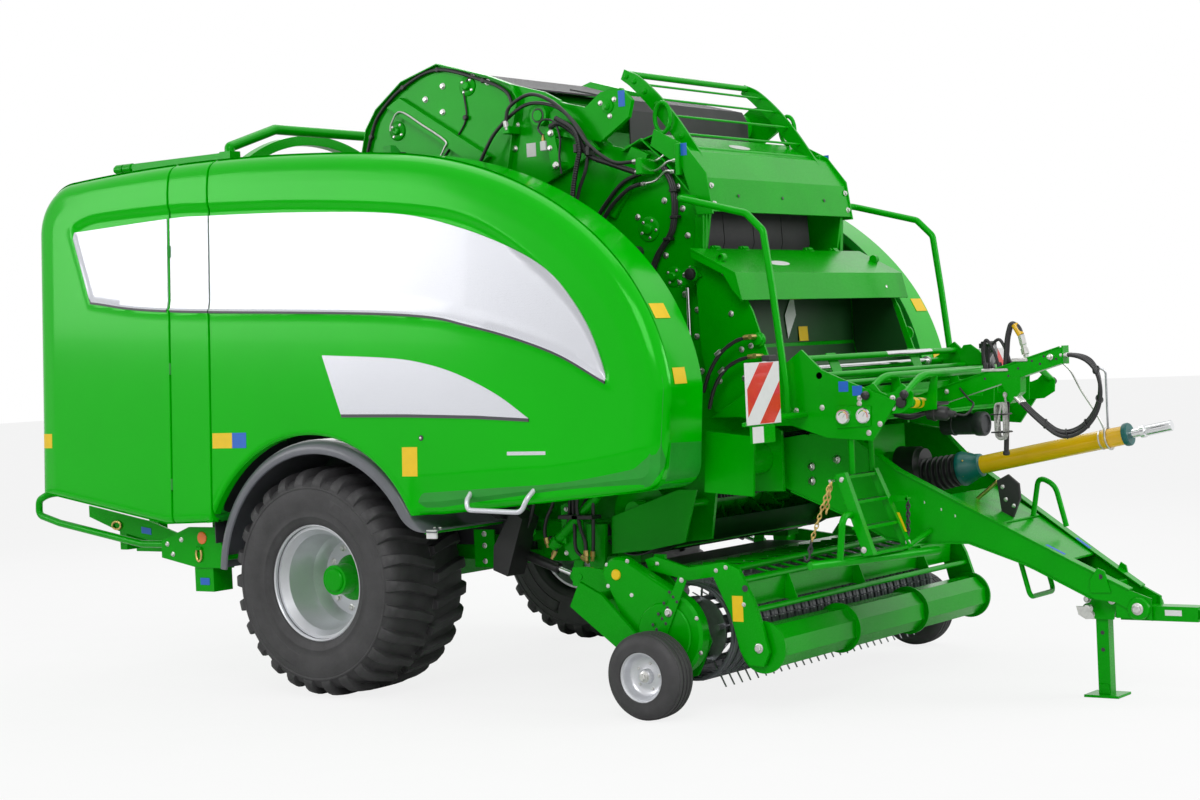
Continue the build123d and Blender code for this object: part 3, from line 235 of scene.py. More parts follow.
def belt_material():
    """Black belting: a fine crossed rib pressed into the rubber."""
    mat, tree, shader = node_tree("belt_rubber")
    wide = noise(tree, 5.0, 4.0, 0.6)
    colours = ramp(tree, wide, [(0.25, (0.012, 0.012, 0.013)), (0.75, (0.030, 0.030, 0.032))])
    tree.links.new(colours, shader.inputs["Base Color"])
    place = tree.nodes.new("ShaderNodeTexCoord")
    ribs = tree.nodes.new("ShaderNodeTexWave")
    ribs.inputs["Scale"].default_value = 55
    ribs.inputs["Distortion"].default_value = 0.6
    ribs.bands_direction = "Y"
    tree.links.new(place.outputs["Object"], ribs.inputs["Vector"])
    shader.inputs["Roughness"].default_value = 0.55
    bump(tree, shader, ribs.outputs["Fac"], 0.5, 0.001)
    return mat


M["belt"] = belt_material()


# ------------------------------------------------------------------ mesh helpers
def angles(count, ahead=0.0):
    """Evenly spread angles of a full turn, moved ahead by a share of one step."""
    return [2 * math.pi * (k + ahead) / count for k in range(count)]


class Piece:
    """Collects simple shapes in one mesh; each shape takes one of its materials."""

    def __init__(self, name, body, *materials):
        self.name, self.body, self.materials = name, body, materials
        self.bm = bmesh.new()
        self.fill = 0

    def use(self, material):
        self.fill = self.materials.index(material)
        return self

    def raw(self, verts, faces):
        made = [self.bm.verts.new(v) for v in verts]
        for face in faces:
            try:
                self.bm.faces.new([made[i] for i in face]).material_index = self.fill
            except ValueError:
                pass
        return made

    def loft(self, rings, closed=True, caps=True):
        """A skin over rings of equally many points."""
        n = len(rings[0])
        verts = [p for ring in rings for p in ring]
        faces = []
        last = n if closed else n - 1
        for i in range(len(rings) - 1):
            for j in range(last):
                k = (j + 1) % n
                faces.append((i * n + j, i * n + k, (i + 1) * n + k, (i + 1) * n + j))
        if caps:
            faces.append(tuple(range(n))[::-1])
            faces.append(tuple((len(rings) - 1) * n + j for j in range(n)))
        return self.raw(verts, faces)

    def box(self, low, high, bevel=0.003):
        """A block between two corners, its edges broken."""
        lo, hi = Vector(low), Vector(high)
        b = min(bevel, min(hi - lo) * 0.3)
        rings = []
        for z, inset in ((lo.z, b), (lo.z + b, 0), (hi.z - b, 0), (hi.z, b)):
            rings.append(self.corner_ring(lo, hi, z, inset, b))
        self.loft(rings)

    @staticmethod
    def corner_ring(lo, hi, z, inset, b):
        x0, x1, y0, y1 = lo.x + inset, hi.x - inset, lo.y + inset, hi.y - inset
        return [Vector(p) for p in ((x0 + b, y0, z), (x1 - b, y0, z), (x1, y0 + b, z),
                                    (x1, y1 - b, z), (x1 - b, y1, z), (x0 + b, y1, z),
                                    (x0, y1 - b, z), (x0, y0 + b, z))]

    def turned(self, centre, axis, profile, sides=24):
        """A turned shape from (radius, distance along the axis) pairs."""
        axis = Vector(axis).normalized()
        across = axis.orthogonal().normalized()
        other = axis.cross(across)
        rings = []
        for radius, along in profile:
            r = max(radius, 1e-5)
            rings.append([Vector(centre) + axis * along
                          + (across * math.cos(a) + other * math.sin(a)) * r
                          for a in angles(sides)])
        self.loft(rings)

    def bolt(self, centre, axis, size=0.010, washer=True):
        """A hexagon head on a washer; size is the head's radius."""
        if washer:
            self.turned(centre, axis, [(size * 1.35, 0), (size * 1.35, size * 0.2),
                                       (size * 1.2, size * 0.28)], 14)
        base = size * 0.28 if washer else 0
        self.turned(centre, axis, [(size, base), (size, base + size * 0.6),
                                   (size * 0.8, base + size * 0.78)], 6)

    def tube(self, points, radius, sides=12, caps=True, closed=False):
        """A tube along points, its section carried without twist."""
        pts = [Vector(p) for p in points]
        rings, side = [], None
        count = len(pts)
        for i, p in enumerate(pts):
            before = pts[i - 1] if i or closed else p
            after = pts[(i + 1) % count] if i < count - 1 or closed else p
            along = (after - before).normalized()
            if side is None:
                side = along.orthogonal().normalized()
            side = (side - along * side.dot(along)).normalized()
            other = along.cross(side)
            r = radius[i] if isinstance(radius, (list, tuple)) else radius
            rings.append([p + (side * math.cos(a) + other * math.sin(a)) * r
                          for a in angles(sides)])
        if closed:
            rings.append(rings[0])
        self.loft(rings, caps=caps and not closed)

    def plate(self, corners, offset, bevel=0.002):
        """A flat plate with given corners, thickened by a vector, edges broken."""
        pts = [Vector(c) for c in corners]
        middle = sum(pts, Vector()) / len(pts)
        off = Vector(offset)
        thick = off.length
        b = min(bevel, thick * 0.3)
        step = off / thick
        rings = []
        for along, inset in ((0, b), (b, 0), (thick - b, 0), (thick, b)):
            rings.append([p + (middle - p).normalized() * inset + step * along for p in pts])
        self.loft(rings)

    def flat(self, y, spots, thick, bevel=0.002):
        """A plate across Y whose corners are (x, z) spots in the machine's own terms."""
        self.plate([at(x, y, z) for x, z in spots], (0, thick, 0), bevel)

    def rod(self, x, z, y0, y1, radius, sides=12):
        """A round bar across the machine."""
        self.tube([at(x, y0, z), at(x, y1, z)], radius, sides)

    def mirror(self):
        """Adds the mirror image on the machine's other side."""
        copied = bmesh.ops.duplicate(self.bm, geom=self.bm.verts[:] + self.bm.edges[:]
                                     + self.bm.faces[:])["geom"]
        verts = [g for g in copied if isinstance(g, bmesh.types.BMVert)]
        for v in verts:
            v.co.y = -v.co.y
        bmesh.ops.reverse_faces(self.bm, faces=[g for g in copied
                                                if isinstance(g, bmesh.types.BMFace)])
        return self

    def done(self, angle=32, slot=None, stands_for=()):
        mesh = bpy.data.meshes.new(self.name)
        bmesh.ops.recalc_face_normals(self.bm, faces=self.bm.faces)
        self.bm.to_mesh(mesh)
        self.bm.free()
        mesh.polygons.foreach_set("use_smooth", [True] * len(mesh.polygons))
        mesh.set_sharp_from_angle(angle=math.radians(angle))
        for key in self.materials:
            mesh.materials.append(M[key])
        piece = bpy.data.objects.new(self.name, mesh)
        bpy.context.scene.collection.objects.link(piece)
        if self.body:
            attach(piece, self.body)
        if stands_for:
            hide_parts(*stands_for)
        return piece


def bend_line(points, radius, steps=6):
    """Points along straight runs joined by round bends."""
    pts = [Vector(p) for p in points]
    out = [pts[0]]
    for before, corner, after in zip(pts, pts[1:], pts[2:]):
        a, b = (before - corner), (after - corner)
        cut = min(radius, a.length * 0.45, b.length * 0.45)
        start, end = corner + a.normalized() * cut, corner + b.normalized() * cut
        for k in range(steps + 1):
            t = k / steps
            out.append(start * (1 - t) ** 2 + corner * 2 * t * (1 - t) + end * t ** 2)
    out.append(pts[-1])
    return out


def soft_line(points, steps=8):
    """A smooth line through points (Catmull-Rom)."""
    pts = [Vector(p) for p in points]
    pts = [pts[0] * 2 - pts[1]] + pts + [pts[-1] * 2 - pts[-2]]
    out = []
    for p0, p1, p2, p3 in zip(pts, pts[1:], pts[2:], pts[3:]):
        for k in range(steps):
            t = k / steps
            out.append(0.5 * ((2 * p1) + (p2 - p0) * t + (2 * p0 - 5 * p1 + 4 * p2 - p3) * t * t
                              + (3 * p1 - p0 - 3 * p2 + p3) * t ** 3))
    out.append(pts[-2])
    return out


# ------------------------------------------------------------------ light and floor
def seen_or_reflected(tree):
    """1 for rays from the camera and for mirrored or refracted rays, else 0."""
    path = tree.nodes.new("ShaderNodeLightPath")
    seen = tree.nodes.new("ShaderNodeMath")
    seen.operation = "MAXIMUM"
    tree.links.new(path.outputs["Is Camera Ray"], seen.inputs[0])
    tree.links.new(path.outputs["Is Glossy Ray"], seen.inputs[1])
    through = tree.nodes.new("ShaderNodeMath")
    through.operation = "MAXIMUM"
    tree.links.new(seen.outputs[0], through.inputs[0])
    tree.links.new(path.outputs["Is Transmission Ray"], through.inputs[1])
    return through.outputs[0]


def make_world():
    world = bpy.data.worlds.new("studio")
    bpy.context.scene.world = world
    world.use_nodes = True
    tree = world.node_tree
    soft = tree.nodes["Background"]
    soft.inputs["Color"].default_value = (1.0, 1.0, 1.0, 1)
    soft.inputs["Strength"].default_value = 0.36
    white = tree.nodes.new("ShaderNodeBackground")
    white.inputs["Color"].default_value = (1, 1, 1, 1)
    white.inputs["Strength"].default_value = 1.0
    mix = tree.nodes.new("ShaderNodeMixShader")
    tree.links.new(seen_or_reflected(tree), mix.inputs["Fac"])
    tree.links.new(soft.outputs["Background"], mix.inputs[1])
    tree.links.new(white.outputs["Background"], mix.inputs[2])
    tree.links.new(mix.outputs["Shader"], tree.nodes["World Output"].inputs["Surface"])


def area_light(name, place, target, size, power):
    data = bpy.data.lights.new(name, "AREA")
    data.shape = "RECTANGLE"
    data.size, data.size_y = size
    data.energy = power
    light = bpy.data.objects.new(name, data)
    light.location = at(*place)
    aim = at(*target) - light.location
    light.rotation_euler = aim.to_track_quat("-Z", "Y").to_euler()
    bpy.context.scene.collection.objects.link(light)


def make_floor():
    mesh = bpy.data.meshes.new("floor")
    half = 60.0
    low = min(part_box("tyre_right")[0].z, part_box("tyre_left")[0].z) - 0.001
    mesh.from_pydata([(-half, -half, low), (half, -half, low), (half, half, low),
                      (-half, half, low)], [], [(0, 1, 2, 3)])
    mat, tree, shader = node_tree("floor_white")
    speck = noise(tree, 3.0, 2.0, 0.5)
    tree.links.new(ramp(tree, speck, [(0.3, (0.84, 0.84, 0.84)), (0.7, (0.87, 0.87, 0.87))]),
                   shader.inputs["Base Color"])
    shader.inputs["Roughness"].default_value = 0.9
    glow = tree.nodes.new("ShaderNodeEmission")
    path = tree.nodes.new("ShaderNodeLightPath")
    share = tree.nodes.new("ShaderNodeMath")
    share.operation = "MULTIPLY"
    share.inputs[1].default_value = 0.84
    tree.links.new(path.outputs["Is Camera Ray"], share.inputs[0])
    mix = tree.nodes.new("ShaderNodeMixShader")
    tree.links.new(share.outputs[0], mix.inputs["Fac"])
    tree.links.new(shader.outputs["BSDF"], mix.inputs[1])
    tree.links.new(glow.outputs["Emission"], mix.inputs[2])
    tree.links.new(mix.outputs["Shader"], tree.nodes["Material Output"].inputs["Surface"])
    mesh.materials.append(mat)
    floor = bpy.data.objects.new("floor", mesh)
    bpy.context.scene.collection.objects.link(floor)


make_world()
make_floor()
area_light("key", (6.0, -8.5, 7.0), (0.4, -0.5, 1.3), (5.0, 4.0), 360)
area_light("side", (-6.5, -7.5, 4.0), (-0.5, -1.0, 1.4), (4.0, 3.0), 140)
area_light("front", (9.0, 2.5, 4.0), (2.5, 0.0, 1.2), (3.0, 3.0), 170)
area_light("top", (0.5, 0.5, 8.0), (0.5, 0.0, 1.5), (8.0, 6.0), 190)
area_light("back", (-5.0, 7.0, 5.0), (0.0, 0.5, 1.5), (5.0, 4.0), 150)


# ------------------------------------------------------------------ finishes of the CAD nodes
# nodes that a piece stands for are hidden, so they have none
NODE_FINISH = {
    "paint": ("chassis_frame", "portal_frame", "roof_hoop", "axle_beam", "front_beam",
              "gearbox", "drawbar", "jack_bracket", "jack_leg", "chamber_sides",
              "chamber_rollers", "upper_chamber", "upper_hood", "net_box", "net_lid",
              "platform", "guard_rails", "ladder", "hose_arm", "wrap_ring", "pickup_frame",
              "crop_guard", "crop_roller", "feed_rotor", "rear_bumper", "pickup_brackets",
              "hitch_eye"),
    "inside": ("side_strips", "front_door_right", "front_door_left", "rear_door_right",
               "rear_door_left"),
    "dark": ("door_rails", "wrap_table", "table_rollers"),
    "belt": ("belt_top", "belt_front"),
    "steel": ("pickup_reel", "pto_chain"),
    "chrome": ("pto_shaft",),
    "film": ("film_rolls",),
    "white": ("warning_boards",),
    "black": ("wheel_chock",),
}


def finish_node(node, *keys):
    mesh = NODES[node].data
    mesh.materials.clear()
    for key in keys:
        mesh.materials.append(M[key])
    mesh.polygons.foreach_set("material_index", [0] * len(mesh.polygons))
    return mesh


for key, members in NODE_FINISH.items():
    for member in members:
        finish_node(member, key)


WHEEL_Z = (RIM_LOW.z + RIM_HIGH.z) / 2
HUB_R = 0.125


def paint_rims():
    """Silver dishes round green hubs."""
    for side, _ in SIDES:
        for face in finish_node("rim_" + side, "rim", "paint").polygons:
            centre = face.center - Vector((AXLE, 0, 0))
            face.material_index = int(math.hypot(centre.x, centre.z - WHEEL_Z) < HUB_R)


paint_rims()


# ------------------------------------------------------------------ cover skins
SEAMS = (-0.96, -0.66)
SEAM_GAP = 0.006
COVER_LEAN, COVER_FOOT, COVER_FACE = 0.047, 0.89, 1.452
SKIN = 0.016                 # the skin stands this far outside the door's shell
GROW = 0.004                 # and its edge this far outside the shell's edge
COVER_IN = 1.10
ARCH = (0.03, 0.59, 0.775)
NOSE = (2.2353, 1.542)
REAR_X = -2.05
FOOT_LINE = ((-2.06, 1.07), (-2.04, 1.07), (-1.015, 0.90), (0.90, 0.962), (2.10, 1.072),
             (2.145, 1.087), (2.178, 1.110), (2.197, 1.145), (2.208, 1.19), NOSE)


def circle_through(a, b, c):
    """Centre and radius of the circle through three points."""
    ax, az, bx, bz, cx, cz = *a, *b, *c
    d = 2 * (ax * (bz - cz) + bx * (cz - az) + cx * (az - bz))
    a2, b2, c2 = ax * ax + az * az, bx * bx + bz * bz, cx * cx + cz * cz
    x = (a2 * (bz - cz) + b2 * (cz - az) + c2 * (az - bz)) / d
    z = (a2 * (cx - bx) + b2 * (ax - cx) + c2 * (bx - ax)) / d
    return x, z, math.hypot(ax - x, az - z)


REAR_CORNER = circle_through((-2.05, 2.52), (-1.965, 2.715), (-1.77, 2.797))
ROOF = circle_through((-1.77, 2.797), (-0.75, 2.83), (0.583, 2.756))


def on_circle(circle, x):
    cx, cz, r = circle
    return cz + math.sqrt(max(0.0, r * r - (x - cx) ** 2))


def along(line, x):
    """Height of a polyline of (x, z) points at x."""
    return float(np.interp(x, [p[0] for p in line], [p[1] for p in line]))


def cover_top(x):
    if x < -1.77:
        return max(2.52, on_circle(REAR_CORNER, max(x, REAR_X)))
    if x < 0.583:
        return on_circle(ROOF, x)
    return 1.45 + 1.32 * math.sqrt(max(0.0, 1 - ((x - 0.30) / 1.94) ** 2))


def cover_foot(x):
    foot = along(FOOT_LINE, x)
    if abs(x - ARCH[0]) < ARCH[2]:
        foot = max(foot, on_circle(ARCH, x))
    return foot


def line_points(fn, x0, x1, count):
    """Points on a line z = fn(x), closer together towards its ends."""
    spots = [x0 + (x1 - x0) * 0.5 * (1 - math.cos(math.pi * k / count))
             for k in range(count + 1)]
    return [(x, fn(x)) for x in spots]


def in_arch(x):
    return abs(x - ARCH[0]) < ARCH[2] and on_circle(ARCH, x) > along(FOOT_LINE, x)


def distances(points, line):
    """Least distance of each point to a polyline."""
    pts = np.asarray(points, float)
    a, b = np.asarray(line[:-1], float), np.asarray(line[1:], float)
    best = np.full(len(pts), 1e9)
    for p, q in zip(a, b):
        run = q - p
        t = np.clip(((pts - p) @ run) / max(run @ run, 1e-12), 0, 1)
        best = np.minimum(best, np.linalg.norm(pts - (p + t[:, None] * run), axis=1))
    return best


UPPER_EDGE = ([(REAR_X, 1.07), (REAR_X, 2.52)] + line_points(cover_top, REAR_X, NOSE[0], 160)
              + [(2.208, 1.19)])
LOWER_EDGE = line_points(cover_foot, REAR_X, 2.208, 200)
PANEL_TOP = ((-1.723, 2.514), (-0.96, 2.538), (-0.67, 2.533), (0.0, 2.502), (0.657, 2.447),
             (1.06, 2.350), (1.399, 2.221), (1.60, 2.110), (1.741, 1.965), (1.85, 1.795),
             (1.932, 1.575))
PANEL_FOOT = ((-1.723, 2.514), (-1.579, 2.121), (-0.995, 2.049), (0.626, 1.956),
              (1.133, 1.874), (1.61, 1.735), (1.932, 1.575))
BAND_TOP = ((-1.76, 2.54), (-1.683, 2.575), (-1.515, 2.606), (-0.959, 2.613),
            (-0.655, 2.601), (-0.004, 2.567), (0.67, 2.50), (1.111, 2.409), (1.467, 2.216),
            (1.748, 1.965), (1.90, 1.72), (1.955, 1.555))
FLASH_TOP = ((0.149, 1.764), (0.612, 1.733), (0.85, 1.695), (1.056, 1.634), (1.28, 1.535),
             (1.472, 1.416))
FLASH_FOOT = ((0.149, 1.764), (0.273, 1.46), (0.70, 1.452), (1.15, 1.436), (1.472, 1.416))
TUCK_LINE = ((0.60, 1.14), (0.766, 1.143), (1.27, 1.17), (1.631, 1.191), (1.98, 1.24),
             (2.24, 1.29))


def eased(line, first):
    """The same line with its corners after the first ones rounded."""
    soft = soft_line([(x, 0, z) for x, z in line[first:]], 8)
    return tuple(line[:first]) + tuple((p.x, p.z) for p in soft)


PANEL_TOP, PANEL_FOOT, BAND_TOP = eased(PANEL_TOP, 0), eased(PANEL_FOOT, 1), eased(BAND_TOP, 0)
FLASH_TOP, TUCK_LINE = eased(FLASH_TOP, 0), eased(TUCK_LINE, 0)


def smooth(t):
    t = np.clip(t, 0, 1)
    return t * t * (3 - 2 * t)


def quarter_drop(distance, radius):
    near = np.clip(radius - distance, 0, radius)
    return radius - np.sqrt(radius * radius - near * near)


def within(points, top, foot):
    """Which points lie between a foot line and a top line."""
    pts = np.asarray(points, float)
    x0, x1 = max(top[0][0], foot[0][0]), min(top[-1][0], foot[-1][0])
    hi = np.interp(pts[:, 0], [p[0] for p in top], [p[1] for p in top])
    lo = np.interp(pts[:, 0], [p[0] for p in foot], [p[1] for p in foot])
    return (pts[:, 0] > x0) & (pts[:, 0] < x1) & (pts[:, 1] < hi) & (pts[:, 1] > lo)


def cover_depth(points):
    """How far out from the middle of the machine the cover's skin is at (x, z) points."""
    pts = np.asarray(points, float)
    out = COVER_FACE - COVER_LEAN * (pts[:, 1] - COVER_FOOT) + SKIN
    upper = distances(pts, UPPER_EDGE)
    lower = distances(pts, LOWER_EDGE)
    arch = np.hypot(pts[:, 0] - ARCH[0], pts[:, 1] - ARCH[1]) - ARCH[2]
    drop = quarter_drop(upper, 0.075) + np.clip(0.15 - upper, 0, 0.15) * 0.10
    low_drop = np.where(arch < 0.02, quarter_drop(np.clip(arch, 0, 1), 0.014),
                        quarter_drop(lower, 0.032))
    recess_in = distances(pts, BAND_TOP)
    foot_in = distances(pts, PANEL_FOOT)
    inside = within(pts, BAND_TOP, PANEL_FOOT)
    recess = np.where(inside, 0.0145 * np.minimum(smooth(recess_in / 0.05),
                                                  smooth(foot_in / 0.02)), 0)
    ridge = np.where(inside, 0, 0.006 * smooth(1 - foot_in / 0.05))
    tuck = np.interp(pts[:, 0], [p[0] for p in TUCK_LINE], [p[1] for p in TUCK_LINE])
    below = np.clip(tuck - pts[:, 1], 0, 1) * smooth((pts[:, 0] - 0.70) / 0.10)
    return out - np.maximum(drop, low_drop) - recess + ridge * 0.5 - below * 0.20


def edge_steps(length, fine, step):
    """Places from 0 to length, with fine steps near both ends."""
    n = max(2, int(math.ceil((length - 2 * fine[-1]) / step)))
    inner = [fine[-1] + (length - 2 * fine[-1]) * k / n for k in range(1, n)]
    return list(fine) + inner + [length - f for f in reversed(fine)]


ROUND_STEPS = (0, 0.003, 0.009, 0.018, 0.030, 0.044, 0.060, 0.078, 0.10, 0.125, 0.15)
SEAM_STEPS = (0, 0.003, 0.008, 0.016)


def span_columns(x0, x1):
    """Columns of a skin, closer near an outer edge than near a seam."""
    left_steps = ROUND_STEPS if x0 <= REAR_X else SEAM_STEPS
    right_steps = ROUND_STEPS if x1 >= NOSE[0] else SEAM_STEPS
    inner0, inner1 = x0 + left_steps[-1], x1 - right_steps[-1]
    n = int(math.ceil((inner1 - inner0) / 0.017))
    mid = [inner0 + (inner1 - inner0) * k / n for k in range(1, n)]
    return [x0 + s for s in left_steps] + mid + [x1 - s for s in reversed(right_steps)]


def grid_faces(columns, rows):
    """Faces of a grid whose points run up each column in turn."""
    return [(c * rows + r, c * rows + r + 1, (c + 1) * rows + r + 1, (c + 1) * rows + r)
            for c in range(columns - 1) for r in range(rows - 1)]


def grid_border(columns, rows):
    """The grid's outer points, once round."""
    return ([c * rows for c in range(columns)]
            + [(columns - 1) * rows + r for r in range(1, rows)]
            + [c * rows + rows - 1 for c in range(columns - 2, -1, -1)]
            + [r for r in range(rows - 2, 0, -1)])


def border_faces(border, first):
    """Faces between the border and its copy, whose points start at first."""
    after = border[1:] + border[:1]
    total = len(border)
    return [(here, there, first + (k + 1) % total, first + k)
            for k, (here, there) in enumerate(zip(border, after))]


def cover_skin(name, body, x0, x1, sign):
    """One door's outer skin with its turned-in edge; sign is -1 on the right side."""
    columns = span_columns(x0, x1)
    rows = edge_steps(1.86, ROUND_STEPS, 0.017)
    share = [r / rows[-1] for r in rows]
    flat = []
    for x in columns:
        low, high = cover_foot(x) - GROW, cover_top(x) + GROW
        if x >= NOSE[0] - 1e-6:
            low, high = NOSE[1] - 0.004, NOSE[1] + 0.004
        flat += [(x, low + (high - low) * s) for s in share]
    depth = cover_depth(flat)
    seam_columns = ([0] if x0 > REAR_X else []) + ([len(columns) - 1] if x1 < NOSE[0] else [])
    n = len(rows)
    verts = []
    for i, (x, z) in enumerate(flat):
        sunk = 0.004 if i // n in seam_columns else 0
        verts.append(at(x, sign * (depth[i] - sunk), z))
    border = grid_border(len(columns), n)
    faces = grid_faces(len(columns), n) + border_faces(border, len(verts))
    for i in border:
        x, z = flat[i]
        inner = depth[i] - 0.028 if i // n in seam_columns else COVER_IN + 0.002
        if in_arch(x) and i % n == 0:
            inner = depth[i] - 0.045
        verts.append(at(x, sign * inner, z))
    piece = Piece(name, body, "cover")
    piece.raw(verts, faces)
    return piece.done(angle=38, slot="cover_green")


PATCH_ROWS = (0, 0.02, 0.1, 0.2, 0.3, 0.4, 0.5, 0.6, 0.7, 0.8, 0.9, 0.98, 1)


def patch(name, body, sign, top, foot, x0, x1, lift, material):
    """A thin panel laid on the skin between two lines, its edges turned down."""
    count = max(3, int((x1 - x0) / 0.02))
    flat = []
    for k in range(count + 1):
        x = x0 + (x1 - x0) * k / count
        low, high = along(foot, x), max(along(top, x), along(foot, x) + 0.001)
        flat += [(x, low + (high - low) * s) for s in PATCH_ROWS]
    depth = cover_depth(flat)
    verts = [at(x, sign * (y + lift), z) for (x, z), y in zip(flat, depth)]
    border = grid_border(count + 1, len(PATCH_ROWS))
    faces = grid_faces(count + 1, len(PATCH_ROWS)) + border_faces(border, len(verts))
    verts += [at(flat[i][0], sign * (depth[i] - 0.002), flat[i][1]) for i in border]
    piece = Piece(name, body, material)
    piece.raw(verts, faces)
    return piece.done(angle=30)


def lowered(line, drop):
    return tuple((x, z - drop) for x, z in line)


SWING_GAP = 0.012            # a rear door's panel ends this far before the fixed strip's
SPANS = (("front_door", "front_door", SEAMS[1] + SEAM_GAP, NOSE[0]),
         ("side_strip", "root", SEAMS[0] + SEAM_GAP, SEAMS[1] - SEAM_GAP),
         ("rear_door", "rear_door", REAR_X, SEAMS[0] - SEAM_GAP))


def dress_span(name, body, x0, x1, side, sign):
    """Skin, silver panel and dark trim of one door or strip."""
    rides = body if body == "root" else f"{body}_{side}"
    cover_skin(f"{name}_skin_{side}", rides, x0, x1, sign)
    hi = min(x1 - (SWING_GAP if name == "rear_door" else 0.0), PANEL_TOP[-1][0] - 0.012)
    patch(f"{name}_panel_{side}", rides, sign, PANEL_TOP, PANEL_FOOT,
          max(x0, PANEL_TOP[0][0] + 0.012), hi, 0.007, "silver")
    lo = max(x0 + (SWING_GAP / 2 if name == "side_strip" else 0.0), PANEL_FOOT[1][0] - 0.02)
    patch(f"{name}_trim_{side}", rides, sign, lowered(PANEL_FOOT, -0.002),
          lowered(PANEL_FOOT, 0.012), lo, hi, 0.008 if name == "front_door" else 0.004, "charcoal")


def dress_covers():
    for side, sign in SIDES:
        for name, body, x0, x1 in SPANS:
            dress_span(name, body, x0, x1, side, sign)
        door = f"front_door_{side}"
        patch(f"front_door_flash_{side}", door, sign, FLASH_TOP, FLASH_FOOT, 0.152, 1.468, 0.003,
              "silver")
        patch(f"front_door_flash_trim_{side}", door, sign, lowered(FLASH_FOOT[1:], -0.002),
              lowered(FLASH_FOOT[1:], 0.014), 0.275, 1.470, 0.004, "charcoal")


dress_covers()


# ------------------------------------------------------------------ main tyres
TYRE_LOW, TYRE_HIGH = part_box("tyre_right")
TYRE_MIDDLE = -(TYRE_LOW.y + TYRE_HIGH.y) / 2      # distance of the tyre's middle plane
LUGS = 26                                          # tread bars on each side
# carcass: radius, distance from the tyre's middle plane
CARCASS = ((0.298, 0.240), (0.303, 0.266), (0.312, 0.276), (0.330, 0.2815), (0.338, 0.285),
           (0.342, 0.2885), (0.349, 0.2888), (0.353, 0.2875), (0.380, 0.2925), (0.410, 0.2965),
           (0.440, 0.2985), (0.470, 0.2975), (0.488, 0.2955), (0.491, 0.2985),
           (0.499, 0.2980), (0.502, 0.2935), (0.518, 0.282), (0.535, 0.262), (0.547, 0.235),
           (0.555, 0.19), (0.559, 0.13), (0.561, 0.06), (0.562, 0.0))
# bar: distance from the middle, lean ahead, half width at its top; foot and top radius
BAR = ((0.008, 0.058, 0.021, 0.556, 0.5945), (0.030, 0.054, 0.022, 0.556, 0.5952),
       (0.060, 0.045, 0.023, 0.555, 0.5950), (0.100, 0.032, 0.0235, 0.553, 0.5940),
       (0.150, 0.019, 0.024, 0.549, 0.5925), (0.195, 0.010, 0.0245, 0.543, 0.5895),
       (0.230, 0.005, 0.025, 0.534, 0.583), (0.258, 0.002, 0.026, 0.520, 0.571),
       (0.281, 0.0, 0.027, 0.508, 0.552), (0.2935, 0.0, 0.028, 0.500, 0.530),
       (0.2970, 0.0, 0.028, 0.494, 0.510), (0.2930, 0.0, 0.026, 0.488, 0.496))


def ring_points(radius, y, sides):
    return [at(radius * math.sin(a), y, WHEEL_Z + radius * math.cos(a)) for a in angles(sides)]


def tyre(side, sign):
    piece = Piece(f"tyre_{side}_rubber", WHEEL_BODY[side], "tyre")
    middle = sign * TYRE_MIDDLE
    outline = list(CARCASS) + [(r, -y) for r, y in reversed(CARCASS[:-1])]
    rings = [ring_points(r, middle + y, 156) for r, y in outline]
    piece.loft(rings + [rings[0]], caps=False)
    for half in (1, -1):
        ahead = 0 if half == -sign else 0.5
        for turn in angles(LUGS, ahead):
            tread_bar(piece, middle, half, turn)
    for half in (1, -1):
        for start in (0.35, 3.45):
            plaque(piece, middle, half, start, start + 1.0)
    return piece.done(angle=40, slot="tyre_rubber", stands_for=[f"tyre_{side}"])


def tread_bar(piece, middle, half, turn):
    rings = []
    for y, lean, width, foot, top in BAR:
        inner = max(0.0, y - (0.006 if y > 0.25 else 0.0))
        ring = []
        for off, r in ((-width - 0.007, foot), (-width, top - 0.005), (-width + 0.004, top),
                       (width - 0.004, top), (width, top - 0.005), (width + 0.007, foot)):
            a = turn + (lean + off) / r
            depth = inner if r == foot else y
            ring.append(at(r * math.sin(a), middle + half * depth, WHEEL_Z + r * math.cos(a)))
        rings.append(ring)
    piece.loft(rings)


def plaque(piece, middle, half, start, end):
    """A low blank band raised on the side wall."""
    steps = 22
    rings = []
    for k in range(steps + 1):
        a = start + (end - start) * k / steps
        lift = 0.0 if k in (0, steps) else 0.0022
        rings.append([at(r * math.sin(a), middle + half * (y + d), WHEEL_Z + r * math.cos(a))
                      for r, y, d in ((0.385, 0.2905, -0.002), (0.389, 0.2930, lift),
                                      (0.420, 0.2965, lift), (0.452, 0.2975, lift),
                                      (0.457, 0.2975, -0.002))])
    piece.loft(rings, closed=False, caps=False)


def body_of_node(node):
    for name, members in frame["record"]["behaviour"]["bodies"].items():
        if node in members:
            return name
    return "root"


WHEEL_BODY = {side: body_of_node("tyre_" + side) for side, _ in SIDES}


